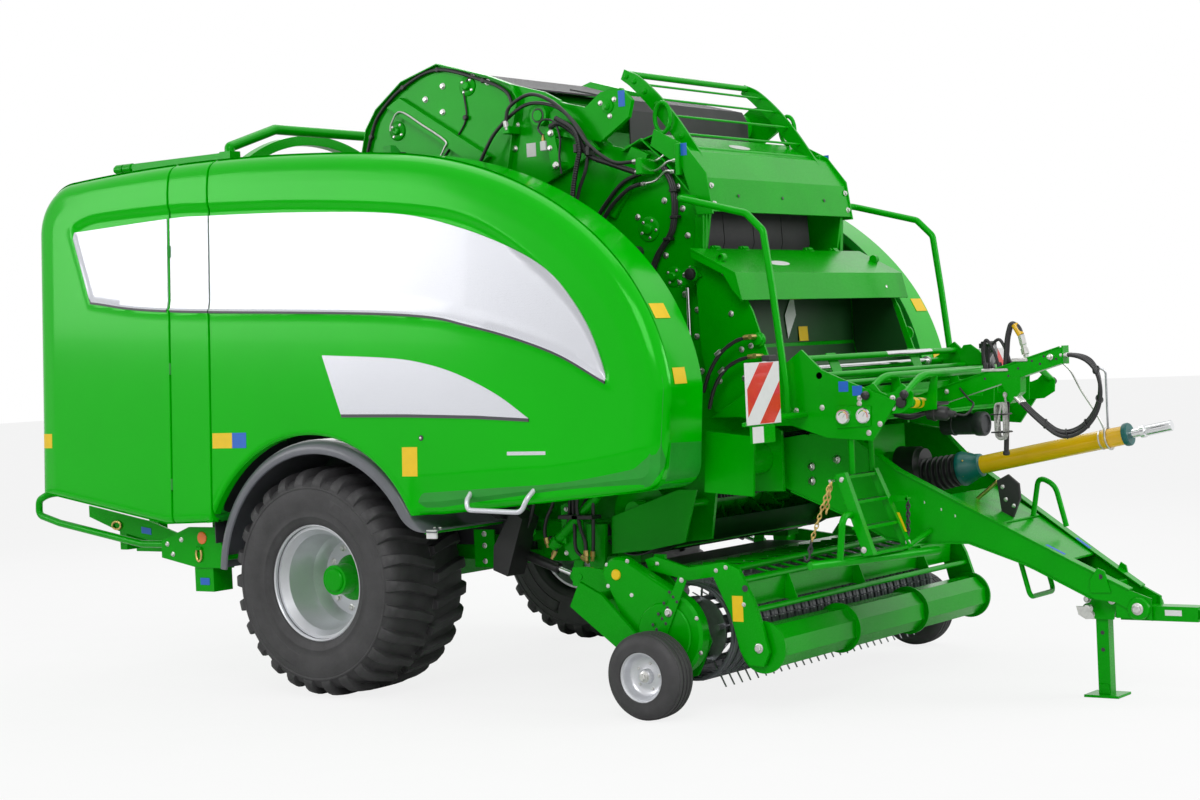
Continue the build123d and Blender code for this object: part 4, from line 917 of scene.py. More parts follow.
def rim_details(side, sign):
    """Nuts round the hub, the valve, the flange's rolled edge and the hub's cap."""
    piece = Piece(f"rim_{side}_details", WHEEL_BODY[side], "zinc", "brass", "rim", "paint")
    middle = sign * TYRE_MIDDLE
    piece.use("zinc")
    for a in angles(10, 0.3):
        piece.bolt(at(0.165 * math.sin(a), middle - sign * 0.030, WHEEL_Z + 0.165 * math.cos(a)),
                   (0, sign, 0), 0.014)
    piece.use("brass")
    a = 2.75
    piece.turned(at(0.245 * math.sin(a), middle - sign * 0.02, WHEEL_Z + 0.245 * math.cos(a)),
                 (0, sign, 0.25), [(0.009, 0), (0.009, 0.012), (0.005, 0.016), (0.005, 0.045),
                                   (0.006, 0.047), (0.006, 0.060)], 10)
    piece.use("rim")
    flange = [(0.296, 0.236), (0.303, 0.243), (0.306, 0.252), (0.303, 0.261), (0.297, 0.264),
              (0.291, 0.259), (0.291, 0.245)]
    rings = [ring_points(r, middle + sign * y, 96) for r, y in flange]
    piece.loft(rings + [rings[0]], caps=False)
    piece.use("paint")
    piece.turned(at(0, middle + sign * 0.124, WHEEL_Z), (0, sign, 0),
                 [(0.062, 0), (0.061, 0.008), (0.054, 0.014), (0.0, 0.016)], 40)
    piece.done(slot="rim_silver")


for side, sign in SIDES:
    tyre(side, sign)
    rim_details(side, sign)


# ------------------------------------------------------------------ propshaft
PTO_A, PTO_B = Vector((2.870, 0, 1.045)), Vector((4.067, 0, 1.262))
PTO_ALONG = (PTO_B - PTO_A).normalized()


def on_pto(s):
    """A point on the propshaft's axis, s metres from its rear joint."""
    return at(*(PTO_A + PTO_ALONG * s))


def shaft_guard():
    """Bellows, cones and tube of the propshaft's guard."""
    guard = Piece("pto_guard_cover", "root", "yellow", "black", "teal", "zinc")
    rear = at(*PTO_A)
    guard.use("black")
    guard.turned(at(2.660, 0, 1.096), (1, 0, 0), [(0.070, 0), (0.086, 0.0), (0.088, 0.02),
                 (0.084, 0.03), (0.086, 0.11), (0.081, 0.115), (0.075, 0.14)], 40)
    profile = [(0.060, -0.075)]
    for k in range(7):
        s = -0.070 + 0.029 * k
        wide = 0.088 - 0.0015 * k
        profile += [(wide - 0.016, s), (wide, s + 0.007), (wide, s + 0.016),
                    (wide - 0.016, s + 0.023)]
    profile += [(0.066, 0.135), (0.05, 0.136)]
    guard.turned(rear, PTO_ALONG, profile, 40)
    guard.use("teal")
    guard.turned(rear, PTO_ALONG, [(0.05, 0.126), (0.083, 0.128), (0.085, 0.140), (0.081, 0.150),
                 (0.070, 0.185), (0.060, 0.205), (0.056, 0.235), (0.048, 0.240),
                 (0.044, 0.242)], 40)
    guard.use("yellow")
    guard.turned(rear, PTO_ALONG, [(0.040, 0.21), (0.0445, 0.215), (0.0445, 0.88), (0.047, 0.884),
                 (0.047, 0.900), (0.0445, 0.904), (0.0445, 0.985), (0.036, 0.986)], 40)
    for a in angles(6):
        out = Vector((0, math.sin(a), math.cos(a)))
        guard.turned(on_pto(0.165) + out * 0.074, out, [(0.004, 0), (0.004, 0.003),
                     (0.002, 0.004)], 8)
    guard.use("teal")
    guard.turned(rear, PTO_ALONG, [(0.030, 0.984), (0.052, 0.985), (0.054, 0.992), (0.054, 1.006),
                 (0.050, 1.012), (0.030, 1.012)], 40)
    guard.use("zinc")
    guard.turned(rear, PTO_ALONG, [(0.046, 0.865), (0.0475, 0.866), (0.0475, 0.872),
                 (0.046, 0.873)], 40)
    guard.done(slot="pto_yellow", stands_for=["pto_guard"])


def shaft_splines():
    """The propshaft's collar and the twelve teeth on its bare end."""
    shaft = Piece("pto_splines", body_of_node("pto_shaft"), "chrome")
    shaft.turned(at(*PTO_A), PTO_ALONG, [(0.017, 1.000), (0.0215, 1.0), (0.0215, 1.06),
                 (0.030, 1.065), (0.030, 1.085), (0.023, 1.090)], 24)
    side = PTO_ALONG.orthogonal().normalized()
    other = PTO_ALONG.cross(side)
    base, end = on_pto(1.095), on_pto(1.214)
    for a in angles(12):
        out = side * math.cos(a) + other * math.sin(a)
        wide = other * math.cos(a) - side * math.sin(a)
        corners = [base + out * 0.0215 + wide * 0.003, base + out * 0.0215 - wide * 0.003,
                   base + out * 0.0255 - wide * 0.0024, base + out * 0.0255 + wide * 0.0024]
        shaft.loft([corners, [c + (end - base) for c in corners]])
    shaft.done(slot="chrome_steel")


shaft_guard()
shaft_splines()


# ------------------------------------------------------------------ hoses
HOSE_Y, HOSE_R = 0.303, 0.009
HOSE_TIP = (3.690, 1.607)
HOSE_IN = (3.450, 1.4175)
HOSE_LOOP = ((3.760, 1.607), (3.835, 1.560), (3.862, 1.455), (3.835, 1.345), (3.755, 1.262),
             (3.655, 1.240), (3.569, 1.304), (3.500, 1.362))
# name: step aside, swing out, hang low
HOSES = (("hose_inner", -0.0195, -0.009, 0.008), ("hose_middle", 0.0, 0.0, 0.0),
         ("hose_outer", 0.0195, 0.010, -0.014))


def hose_route(aside, out, low):
    middle = [(x + out, z + low) for x, z in HOSE_LOOP[1:-1]]
    flat = [HOSE_TIP, HOSE_LOOP[0]] + middle + [HOSE_LOOP[-1], HOSE_IN]
    return [at(x, -HOSE_Y - aside, z) for x, z in flat]


def cord_curve(name, route, radius, material):
    curve = bpy.data.curves.new(name, "CURVE")
    curve.dimensions = "3D"
    spline = curve.splines.new("NURBS")
    spline.points.add(len(route) - 1)
    for point, place in zip(spline.points, route):
        point.co = (*place, 1)
    spline.order_u = 3
    spline.use_endpoint_u = True
    spline.resolution_u = 10
    curve.bevel_depth = radius
    curve.bevel_resolution = 4
    curve.use_fill_caps = True
    curve.materials.append(M[material])
    piece = bpy.data.objects.new(name, curve)
    bpy.context.scene.collection.objects.link(piece)
    return piece


def spline_points(curve_object):
    """Points along a cord's own smooth line."""
    bare = curve_object.data.copy()
    bare.bevel_depth = 0
    holder = bpy.data.objects.new("bare", bare)
    mesh = bpy.data.meshes.new_from_object(holder)
    points = [v.co.copy() for v in mesh.vertices]
    bpy.data.objects.remove(holder)
    bpy.data.meshes.remove(mesh)
    return points


def line_length(points):
    return sum((b - a).length for a, b in zip(points, points[1:]))


def free_hoses():
    """The three hoses that hang from the arm; gives the points along each."""
    lines = []
    for name, aside, out, low in HOSES:
        route = hose_route(aside, out, low)
        hose = cord_curve(name + "_rubber", route, HOSE_R, "hose")
        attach(hose, "root")
        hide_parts(name)
        points = spline_points(hose)
        lines.append(points)
    return lines


def hose_ties(lines):
    """Bands that hold the three hoses side by side."""
    ties = Piece("hose_ties", "root", "black")
    for share in (0.22, 0.38, 0.52, 0.66, 0.80):
        spots = [line[int(share * (len(line) - 1))] for line in lines]
        run = (lines[1][int(share * (len(lines[1]) - 1)) + 1] - spots[1]).normalized()
        middle = sum(spots, Vector()) / 3
        wide = (spots[2] - spots[0]).normalized()
        high = run.cross(wide).normalized()
        reach = (spots[2] - spots[0]).length / 2 + HOSE_R + 0.002
        ring = [middle + wide * math.cos(a) * reach + high * math.sin(a) * (HOSE_R + 0.006)
                for a in angles(20)]
        ties.tube(ring, 0.0035, 6, closed=True)
    ties.done(slot="black_plastic")


def hose_fittings():
    """The sleeves at both ends of each free hose."""
    ends = Piece("hose_fittings", "root", "zinc")
    (tip_x, tip_z), (in_x, in_z), (last_x, last_z) = HOSE_TIP, HOSE_IN, HOSE_LOOP[-1]
    for _, aside, _, _ in HOSES:
        ends.turned(at(tip_x - 0.012, -HOSE_Y - aside, tip_z), (1, 0, 0),
                    [(0.011, 0), (0.0115, 0.006), (0.0115, 0.034), (0.0098, 0.036)], 12)
        ends.turned(at(in_x, -HOSE_Y - aside, in_z), (last_x - in_x, 0, last_z - in_z),
                    [(0.0115, -0.006), (0.0115, 0.030), (0.0098, 0.034)], 12)
    ends.done(slot="zinc_steel")


hose_ties(free_hoses())
hose_fittings()


# ------------------------------------------------------------------ gauge wheels
GAUGE_BODY = {side: body_of_node("gauge_wheel_" + side) for side, _ in SIDES}
GAUGE_LOW, GAUGE_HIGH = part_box("gauge_wheel_right")
GAUGE_X = (GAUGE_LOW.x + GAUGE_HIGH.x) / 2 - AXLE
GAUGE_Z = (GAUGE_LOW.z + GAUGE_HIGH.z) / 2
# outline from the hub outwards: radius, distance from the outer face
GAUGE_RIM = ((0.0165, 0.034), (0.030, 0.034), (0.034, 0.038), (0.036, 0.060), (0.060, 0.066),
             (0.085, 0.062), (0.096, 0.050), (0.101, 0.026), (0.108, 0.012), (0.113, 0.006),
             (0.116, 0.006), (0.117, 0.010))
GAUGE_TYRE = ((0.116, 0.004), (0.120, -0.001), (0.128, 0.001), (0.150, -0.002),
              (0.172, 0.002), (0.186, 0.010), (0.196, 0.020), (0.199, 0.024), (0.199, 0.030),
              (0.203, 0.032), (0.2045, 0.050), (0.198, 0.052), (0.198, 0.058),
              (0.2055, 0.060), (0.2055, 0.078), (0.199, 0.080))


def gauge_wheel(side, sign):
    low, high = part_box("gauge_wheel_" + side)
    face_y = low.y if sign < 0 else high.y
    width = high.y - low.y
    piece = Piece(f"gauge_{side}_wheel", GAUGE_BODY[side], "tyre", "rim", "zinc", "black")

    def ring(r, depth):
        return [at(GAUGE_X + r * math.sin(a), face_y - sign * depth, GAUGE_Z + r * math.cos(a))
                for a in angles(72)]

    piece.use("tyre")
    outline = list(GAUGE_TYRE) + [(r, width - d) for r, d in reversed(GAUGE_TYRE)]
    rings = [ring(r, d) for r, d in outline]
    piece.loft(rings + [rings[0]], caps=False)
    piece.use("rim")
    back = [(r, width - d) for r, d in reversed(GAUGE_RIM[3:])]
    rings = [ring(r, d) for r, d in list(GAUGE_RIM) + back + [(0.0165, width - 0.02)]]
    piece.loft(rings + [rings[0]], caps=False)
    piece.use("zinc")
    face = at(GAUGE_X, face_y - sign * 0.034, GAUGE_Z)
    piece.turned(face, (0, sign, 0), [(0.026, 0), (0.026, 0.004), (0.020, 0.006)], 24)
    piece.bolt(face + Vector((0, sign * 0.006, 0)), (0, sign, 0), 0.016)
    for a in angles(5, 0.2):
        piece.bolt(at(GAUGE_X + 0.062 * math.sin(a), face_y - sign * 0.067,
                      GAUGE_Z + 0.062 * math.cos(a)), (0, sign, 0), 0.007)
    piece.use("black")
    piece.turned(at(GAUGE_X + 0.070, face_y - sign * 0.066, GAUGE_Z - 0.045), (0.4, sign, -0.3),
                 [(0.006, 0), (0.005, 0.010), (0.0045, 0.032), (0.003, 0.034)], 10)
    piece.done(angle=40, slot="tyre_rubber", stands_for=[f"gauge_wheel_{side}"])


for side, sign in SIDES:
    gauge_wheel(side, sign)


# ------------------------------------------------------------------ pickup
REEL_X, REEL_Z, BAND_R = 2.050, 0.370, 0.232
PICKUP_HALF, PICKUP_WALL = 1.030, 0.018
WALL_Y = PICKUP_HALF + PICKUP_WALL
DRIVE_OFF, DRIVE_W = 0.060, 0.082
BAND_COUNT = 28
CROP_X, CROP_Z = 2.477, 0.320
ROTOR_X, ROTOR_Z = 1.620, 0.930


def pickup_bands():
    """Pressed steel strips that run round the reel, each with a folded rib."""
    piece = Piece("pickup_strips", "pickup", "band")
    pitch = 2 * (PICKUP_HALF - 0.012) / BAND_COUNT
    line = [(1.766, 0.633), (1.86, 0.622)]
    line += [(REEL_X + (BAND_R + 0.001) * math.sin(a), REEL_Z + (BAND_R + 0.001) * math.cos(a))
             for a in (math.pi * k / 18 for k in range(19))]
    line += [(1.90, REEL_Z - BAND_R - 0.001), (1.780, REEL_Z - BAND_R)]
    section = ((-0.027, -0.012), (-0.027, -0.002), (-0.024, 0.001), (-0.010, 0.001),
               (-0.007, 0.005), (0.007, 0.005), (0.010, 0.001), (0.024, 0.001),
               (0.027, -0.002), (0.027, -0.012), (0.025, -0.012), (0.024, -0.002),
               (-0.024, -0.002), (-0.025, -0.012))
    for k in range(BAND_COUNT):
        y = -PICKUP_HALF + 0.012 + pitch * (k + 0.5)
        rings = []
        for i, (x, z) in enumerate(line):
            x0, z0 = line[max(i - 1, 0)]
            x1, z1 = line[min(i + 1, len(line) - 1)]
            run = math.hypot(x1 - x0, z1 - z0)
            nx, nz = -(z1 - z0) / run, (x1 - x0) / run
            rings.append([at(x + nx * lift, y + side, z + nz * lift) for side, lift in section])
        piece.loft(rings)
    for x, z, r in ((1.782, REEL_Z - BAND_R + 0.004, 0.012), (1.766, 0.624, 0.009)):
        piece.rod(x, z, -PICKUP_HALF, PICKUP_HALF, r, 12)
    piece.done(angle=30, slot="dark_steel", stands_for=["pickup_bands"])


def circle_run(x, z, r, start, end, steps):
    """Points on an arc, angles in degrees from +z towards +x."""
    return [(x + r * math.sin(math.radians(start + (end - start) * k / steps)),
             z + r * math.cos(math.radians(start + (end - start) * k / steps)))
            for k in range(steps + 1)]


def side_plate(piece, outline, y0, y1, bevel=0.004):
    """A plate across Y with a broken outer edge; the outline is in (x, z)."""
    cx = sum(x for x, z in outline) / len(outline)
    cz = sum(z for x, z in outline) / len(outline)
    rings = []
    step = 1 if y1 > y0 else -1
    for y, inset in ((y0, bevel), (y0 + step * bevel, 0), (y1 - step * bevel, 0), (y1, bevel)):
        ring = []
        for x, z in outline:
            reach = math.hypot(x - cx, z - cz)
            ring.append(at(x - (x - cx) / reach * inset, y, z - (z - cz) / reach * inset))
        rings.append(ring)
    piece.loft(rings)


def bolts_on(piece, y, sign, spots, size=0.011):
    for x, z in spots:
        piece.bolt(at(x, y, z), (0, sign, 0), size)


def drive_side():
    """The right side's chain cover with its round ends, plug, bolts and perforated strip."""
    inner, outer = WALL_Y + DRIVE_OFF, WALL_Y + DRIVE_OFF + DRIVE_W
    piece = Piece("pickup_drive_right", "pickup", "paint", "zinc", "label", "dark", "white")
    piece.use("paint")
    outline = (circle_run(1.760, 0.640, 0.098, -75, 40, 10)
               + circle_run(2.020, 0.380, 0.205, 38, 180, 14)
               + circle_run(1.985, 0.300, 0.125, 185, 235, 5))
    side_plate(piece, outline, -inner, -outer, 0.014)
    side_plate(piece, circle_run(2.020, 0.380, 0.150, 0, 345, 23), -outer + 0.002,
               -outer - 0.010, 0.006)
    piece.use("label")
    piece.turned(at(1.755, -outer, 0.655), (0, -1, 0), [(0.026, 0), (0.026, 0.004),
                 (0.022, 0.009), (0.0, 0.011)], 28)
    piece.use("white")
    for x, z in ((1.840, 0.560), (2.085, 0.430), (1.705, 0.600)):
        piece.turned(at(x, -outer, z), (0, -1, 0), [(0.010, 0), (0.010, 0.003), (0.006, 0.006)], 14)
    piece.use("zinc")
    bolts_on(piece, -outer + 0.004, -1, ((1.70, 0.70), (1.82, 0.72), (2.20, 0.46), (2.215, 0.30),
                                         (1.95, 0.20)), 0.008)
    piece.use("paint")
    face = outer + 0.012
    strip = [(2.125, 0.665), (2.165, 0.635), (1.985, 0.255), (1.925, 0.275)]
    side_plate(piece, strip, -face, -face - 0.006, 0.0015)
    # painted shade: near-black discs stand for the shaded holes of the perforated strip
    piece.use("dark")
    for row in range(5):
        for col in range(3):
            x = 2.088 - 0.034 * row + 0.020 * (col - 1)
            z = 0.560 - 0.052 * row - 0.022 * (col - 1)
            piece.turned(at(x, -face - 0.0055, z), (0, -1, 0),
                         [(0.008, 0), (0.008, 0.0012), (0.006, 0.0014)], 14)
    piece.use("zinc")
    piece.bolt(at(2.058, -face - 0.006, 0.485), (0, -1, 0), 0.015)
    piece.bolt(at(2.140, -face - 0.006, 0.640), (0, -1, 0), 0.009)
    piece.done(angle=30, slot="green_paint", stands_for=["drive_cover"])


def guard_dress():
    """Bars, back plate, bolts and labels of the crop guard."""
    piece = Piece("crop_guard_bars", "crop_guard", "paint", "zinc", "label", "dark")
    arm_y = WALL_Y + 0.026
    piece.use("paint")
    piece.rod(2.444, 0.492, -arm_y, arm_y, 0.014, 14)
    piece.rod(2.385, 0.630, -arm_y, arm_y, 0.016, 16)
    piece.plate([at(2.385, -arm_y + 0.03, 0.622), at(2.385, arm_y - 0.03, 0.622),
                 at(2.372, arm_y - 0.03, 0.500), at(2.372, -arm_y + 0.03, 0.500)],
                (-0.004, 0, 0.001))
    for y in (-0.68, -0.02, 0.66):
        piece.flat(y, [(2.395, 0.635), (2.45, 0.49), (2.37, 0.50), (2.375, 0.63)], 0.006)
    for k in range(15):
        y = -0.80 + 1.60 * k / 14
        piece.tube(bend_line([at(2.380, y, 0.638), at(2.20, y, 0.672), at(1.92, y, 0.658)],
                             0.1, 4), 0.006, 8)
    for sign in (-1, 1):
        outer = sign * (arm_y + 0.022)
        piece.use("zinc")
        piece.bolt(at(CROP_X, outer, CROP_Z), (0, sign, 0), 0.017)
        for x, z in ((2.26, 0.675), (2.315, 0.69), (2.405, 0.52), (1.93, 0.70)):
            piece.bolt(at(x, outer, z), (0, sign, 0), 0.008)
        piece.use("label")
        decal_plate(piece, (2.342, 0.560), (2.400, 0.440), outer, sign)
        piece.use("dark")
        piece.turned(at(2.415, outer - sign * 0.001, 0.595), (0, sign, 0),
                     [(0.016, 0), (0.016, 0.0022), (0.012, 0.0024)], 20)
    piece.done(slot="green_paint")


def decal_plate(piece, corner_a, corner_b, y, sign):
    """A thin sticker on a face across Y, between two (x, z) corners."""
    (x0, z0), (x1, z1) = corner_a, corner_b
    piece.flat(y, [(x0, z0), (x1, z0), (x1, z1), (x0, z1)], sign * 0.0012, 0.0004)


def intake():
    """What lies behind the pickup: pans, combs and augers beside the rotor."""
    piece = Piece("intake_parts", "root", "dark", "paint")
    pan = circle_run(ROTOR_X, ROTOR_Z, 0.222, 250, 110, 14)
    for half in (-1, 1):
        piece.loft([[at(x, half * 0.655, z), at(x, half * 0.838, z),
                     at(x + (ROTOR_X - x) * 0.02, half * 0.838, z + (ROTOR_Z - z) * 0.02),
                     at(x + (ROTOR_X - x) * 0.02, half * 0.655, z + (ROTOR_Z - z) * 0.02)]
                    for x, z in pan])
    comb = (circle_run(1.700, 1.000, 0.300, 35, 95, 7)
            + circle_run(1.700, 1.000, 0.262, 95, 35, 7))
    for k in range(46):
        y = -0.615 + 1.230 * k / 45
        piece.loft([[at(x, y + d, z) for x, z in comb] for d in (-0.003, 0.003)])
    piece.rod(1.86, 1.235, -0.628, 0.628, 0.018)
    piece.use("paint")
    for half in (-1, 1):
        auger_flight(piece, half)
        piece.rod(ROTOR_X, ROTOR_Z, half * 0.652, half * 0.838, 0.046, 20)
    piece.done(slot="dark_green")


def auger_flight(piece, half, turns=1.6, count=40):
    """The screw that draws the crop inwards at one end of the rotor."""
    rings = []
    for k in range(count + 1):
        t = k / count
        a = half * 2 * math.pi * turns * t
        y = half * (0.660 + 0.170 * t)
        rings.append([at(ROTOR_X + r * math.sin(a), y + d, ROTOR_Z + r * math.cos(a))
                      for r, d in ((0.045, -0.002), (0.140, -0.002), (0.140, 0.002),
                                   (0.045, 0.002))])
    piece.loft(rings)


pickup_bands()
drive_side()
guard_dress()
intake()


# ------------------------------------------------------------------ fittings on side plates
GATE_FACE = 0.690            # outer face of the lifting chamber's sides
WALL_FACE = 0.650            # outer face of the fixed chamber's sides


def run_in_plane(piece, y, spots, radius, steps=7, sides=10):
    """A smooth tube through (x, z) spots at one distance from the middle."""
    piece.tube(soft_line([at(x, y, z) for x, z in spots], steps), radius, sides)


def ribbon(piece, spots, y0, y1, thick):
    """A flat strip that follows (x, z) spots, standing across Y."""
    rings = []
    for i, (x, z) in enumerate(spots):
        x0, z0 = spots[max(i - 1, 0)]
        x1, z1 = spots[min(i + 1, len(spots) - 1)]
        run = math.hypot(x1 - x0, z1 - z0)
        nx, nz = -(z1 - z0) / run * thick, (x1 - x0) / run * thick
        rings.append([at(x, y0, z), at(x, y1, z), at(x + nx, y1, z + nz), at(x + nx, y0, z + nz)])
    piece.loft(rings)


def round_cover(piece, x, z, y, sign, radius, holds=4):
    """A round plate held by small bolts, with a boss in its middle."""
    piece.use("paint")
    piece.turned(at(x, y, z), (0, sign, 0), [(radius, 0), (radius, 0.006), (radius - 0.004, 0.008),
                 (radius * 0.45, 0.009), (radius * 0.42, 0.022), (radius * 0.3, 0.026)], 28)
    piece.use("zinc")
    for k in range(holds):
        a = 2 * math.pi * (k + 0.4) / holds
        piece.bolt(at(x + radius * 0.72 * math.sin(a), y + sign * 0.008,
                      z + radius * 0.72 * math.cos(a)), (0, sign, 0), 0.006)


def corrugated(piece, points, radius, pitch=0.012):
    """A ribbed conduit along points."""
    steps = max(2, int(line_length(points) / pitch))
    spots, radii = [], []
    total = line_length(points)
    for k in range(steps * 2 + 1):
        want, gone = total * k / (steps * 2), 0.0
        for a, b in zip(points, points[1:]):
            step = (b - a).length
            if gone + step >= want - 1e-9:
                spots.append(a.lerp(b, (want - gone) / max(step, 1e-9)))
                break
            gone += step
        radii.append(radius if k % 2 else radius * 0.86)
    piece.tube(spots, radii[:len(spots)], 10)


def gate_rims(piece, y):
    """Raised rims, stiffeners and bearing covers."""
    piece.use("paint")
    ribbon(piece, [(-0.235, 2.62), (-0.158, 2.812), (-0.112, 2.968), (-0.036, 3.068),
                   (0.15, 3.197), (0.398, 3.264), (0.73, 3.166), (0.885, 3.104)],
           y, y - 0.024, 0.006)
    ribbon(piece, [(0.885, 3.100), (0.925, 3.035), (0.845, 2.678), (0.80, 2.45)],
           y, y - 0.034, 0.008)
    piece.flat(y, [(0.045, 3.073), (0.137, 3.118), (0.735, 2.752), (0.655, 2.700)], -0.034, 0.005)
    piece.flat(y - 0.026, [(1.10, 2.845), (1.13, 2.86), (1.30, 2.815), (1.29, 2.79)], -0.012)
    for x, z in ((0.093, 2.946), (0.586, 3.133)):
        round_cover(piece, x, z, y, -1, 0.052)
    piece.use("paint")
    piece.turned(at(1.495, y - 0.026, 2.935), (0, -1, 0),
                 [(0.034, 0), (0.033, 0.006), (0.018, 0.008), (0.017, 0.014), (0.012, 0.016)], 24)


def gate_lines(piece, y):
    """Bolts, the grease line, the hoses and their clips."""
    piece.use("zinc")
    bolts_on(piece, y, -1, ((0.418, 3.151), (0.296, 3.093), (0.41, 3.015), (0.62, 3.18),
                            (0.72, 3.14), (-0.09, 2.72), (0.90, 2.90), (0.88, 2.78)), 0.013)
    bolts_on(piece, y - 0.026, -1, ((1.45, 2.955), (1.535, 2.965), (1.505, 2.885)), 0.010)
    run_in_plane(piece, y - 0.040, [(0.075, 2.945), (0.086, 2.985), (0.15, 3.040),
                                    (0.30, 2.955), (0.447, 2.860), (0.440, 2.820),
                                    (0.396, 2.759)], 0.0055, 6, 8)
    piece.use("hose")
    run_in_plane(piece, y - 0.014, [(-0.20, 2.66), (-0.132, 2.81), (-0.086, 2.93),
                                    (-0.02, 3.045), (0.155, 3.170), (0.398, 3.238),
                                    (0.70, 3.150), (0.845, 3.080), (0.885, 3.010)], 0.0095)
    run_in_plane(piece, y - 0.006, [(0.70, 3.155), (0.60, 3.170), (0.565, 3.10), (0.572, 2.97),
                                    (0.50, 2.87), (0.38, 2.75), (0.30, 2.64)], 0.0055)
    for x, z in ((0.155, 3.170), (0.398, 3.238), (0.70, 3.150), (-0.086, 2.93), (0.572, 2.97)):
        piece.use("black")
        piece.turned(at(x, y - 0.002, z), (0, -1, 0), [(0.014, 0), (0.014, 0.018), (0.011, 0.022)],
                     10)


def gate_labels(piece, y):
    """Blank labels and a round hole."""
    piece.use("blue")
    decal_plate(piece, (1.560, 3.005), (1.600, 2.925), y - 0.0262, -1)
    piece.use("white")
    decal_plate(piece, (0.955, 2.80), (1.015, 2.73), y - 0.001, -1)
    # painted shade: the round hole's recess is near-black
    piece.use("dark")
    piece.turned(at(1.07, -0.735, 2.93), (0, -1, 0), [(0.037, 0.0), (0.037, 0.002), (0.030, 0.002),
                 (0.030, -0.012), (0.0, -0.012)], 30)


def lifting_chamber_dress():
    """Rims, covers, bolts, hoses and blank labels of the lifting chamber."""
    piece = Piece("lifting_chamber_fittings", "upper_chamber", "paint", "zinc", "hose", "white",
                  "blue", "black", "dark")
    y = -GATE_FACE
    gate_rims(piece, y)
    gate_lines(piece, y)
    gate_labels(piece, y)
    piece.mirror()
    piece.done(slot="green_paint")


def chamber_rims(piece, y):
    """The raised rim, two stiffeners and two bearing covers."""
    piece.use("paint")
    ribbon(piece, [(1.545, 2.705), (1.66, 2.755), (1.79, 2.640), (2.005, 2.390), (1.990, 2.160),
                   (1.955, 1.95)], y, y - 0.036, 0.008)
    piece.flat(y, [(1.60, 2.73), (1.70, 2.68), (1.475, 2.38), (1.40, 2.42)], -0.030, 0.004)
    piece.flat(y, [(1.95, 2.36), (2.02, 2.40), (1.99, 2.05), (1.93, 2.02)], -0.018, 0.003)
    round_cover(piece, 1.667, 2.314, y, -1, 0.062, 5)
    round_cover(piece, 1.800, 2.070, y, -1, 0.050, 4)


def chamber_pipes(piece, y):
    """Bolts and the three pipes with their nuts."""
    piece.use("zinc")
    bolts_on(piece, y, -1, ((1.87, 2.600), (2.00, 2.470), (1.846, 2.510), (1.87, 2.400),
                            (1.764, 2.447), (1.60, 2.377), (1.774, 2.258), (1.759, 2.177),
                            (1.892, 2.266), (1.90, 2.10), (1.86, 1.98), (1.93, 1.90),
                            (1.78, 1.90), (1.92, 1.77), (1.78, 1.70), (1.94, 1.60)), 0.012)
    pipes = (((1.70, 2.640), (1.76, 2.650), (1.83, 2.688), (1.88, 2.690)),
             ((1.69, 2.590), (1.76, 2.600), (1.82, 2.632), (1.87, 2.634)),
             ((1.68, 2.535), (1.75, 2.545), (1.81, 2.585), (1.86, 2.580)))
    for k, spots in enumerate(pipes):
        run_in_plane(piece, y - 0.030 - 0.010 * k, spots, 0.0065)
        piece.turned(at(spots[0][0] - 0.012, y - 0.030 - 0.010 * k, spots[0][1] - 0.002),
                     (1, 0, 0.15), [(0.0125, -0.012), (0.0125, 0.010), (0.0105, 0.012),
                                    (0.0105, 0.026)], 8)
        piece.turned(at(spots[-1][0], y - 0.030 - 0.010 * k, spots[-1][1]), (1, 0, 0),
                     [(0.011, -0.016), (0.011, 0.0), (0.008, 0.004)], 6)


def chamber_hoses(piece, y):
    """The block, the hoses behind it and their clips."""
    piece.use("paint")
    piece.box(at(1.875, y - 0.060, 2.560), at(1.900, y - 0.002, 2.715))
    piece.use("hose")
    run_in_plane(piece, y - 0.046, [(1.36, 2.36), (1.44, 2.453), (1.55, 2.550), (1.675, 2.592)],
                 0.011)
    run_in_plane(piece, y - 0.060, [(1.40, 2.33), (1.48, 2.434), (1.586, 2.512), (1.665, 2.535)],
                 0.011)
    for k in range(4):
        shift = 0.013 * (k % 2)
        run_in_plane(piece, y - 0.022 - 0.016 * (k // 2),
                     [(1.78 + shift, 2.612), (1.825 + shift, 2.53), (1.838 + shift, 2.43),
                      (1.826 + shift, 2.33), (1.80 + shift, 2.27), (1.725 + shift, 2.18),
                      (1.66 + shift, 2.05)], 0.0075)
    piece.use("black")
    for x, z in ((1.838, 2.49), (1.836, 2.36), (1.79, 2.255)):
        piece.box(at(x - 0.014, y - 0.052, z - 0.008), at(x + 0.032, y - 0.010, z + 0.008))


def chamber_corner(piece):
    """The capped hub by the net box with its bracket and rod."""
    piece.turned(at(1.985, -0.780, 2.072), (0, -1, 0), [(0.030, 0), (0.030, 0.010),
                 (0.026, 0.018), (0.0, 0.022)], 24)
    piece.use("paint")
    piece.turned(at(1.985, -0.780, 2.072), (0, 1, 0), [(0.036, 0), (0.036, 0.018), (0.026, 0.02),
                 (0.026, 0.05), (0.034, 0.052), (0.034, 0.135)], 24)
    piece.flat(-0.745, [(1.90, 2.09), (1.985, 2.115), (2.03, 2.06), (1.97, 2.03),
                        (1.89, 2.01)], -0.012, 0.002)
    piece.use("zinc")
    bolts_on(piece, -0.757, -1, ((1.935, 2.070), (1.905, 2.035)), 0.010)
    piece.use("chrome")
    piece.tube([at(1.925, -0.72, 2.01), at(1.925, -0.72, 1.62)], 0.010, 14)


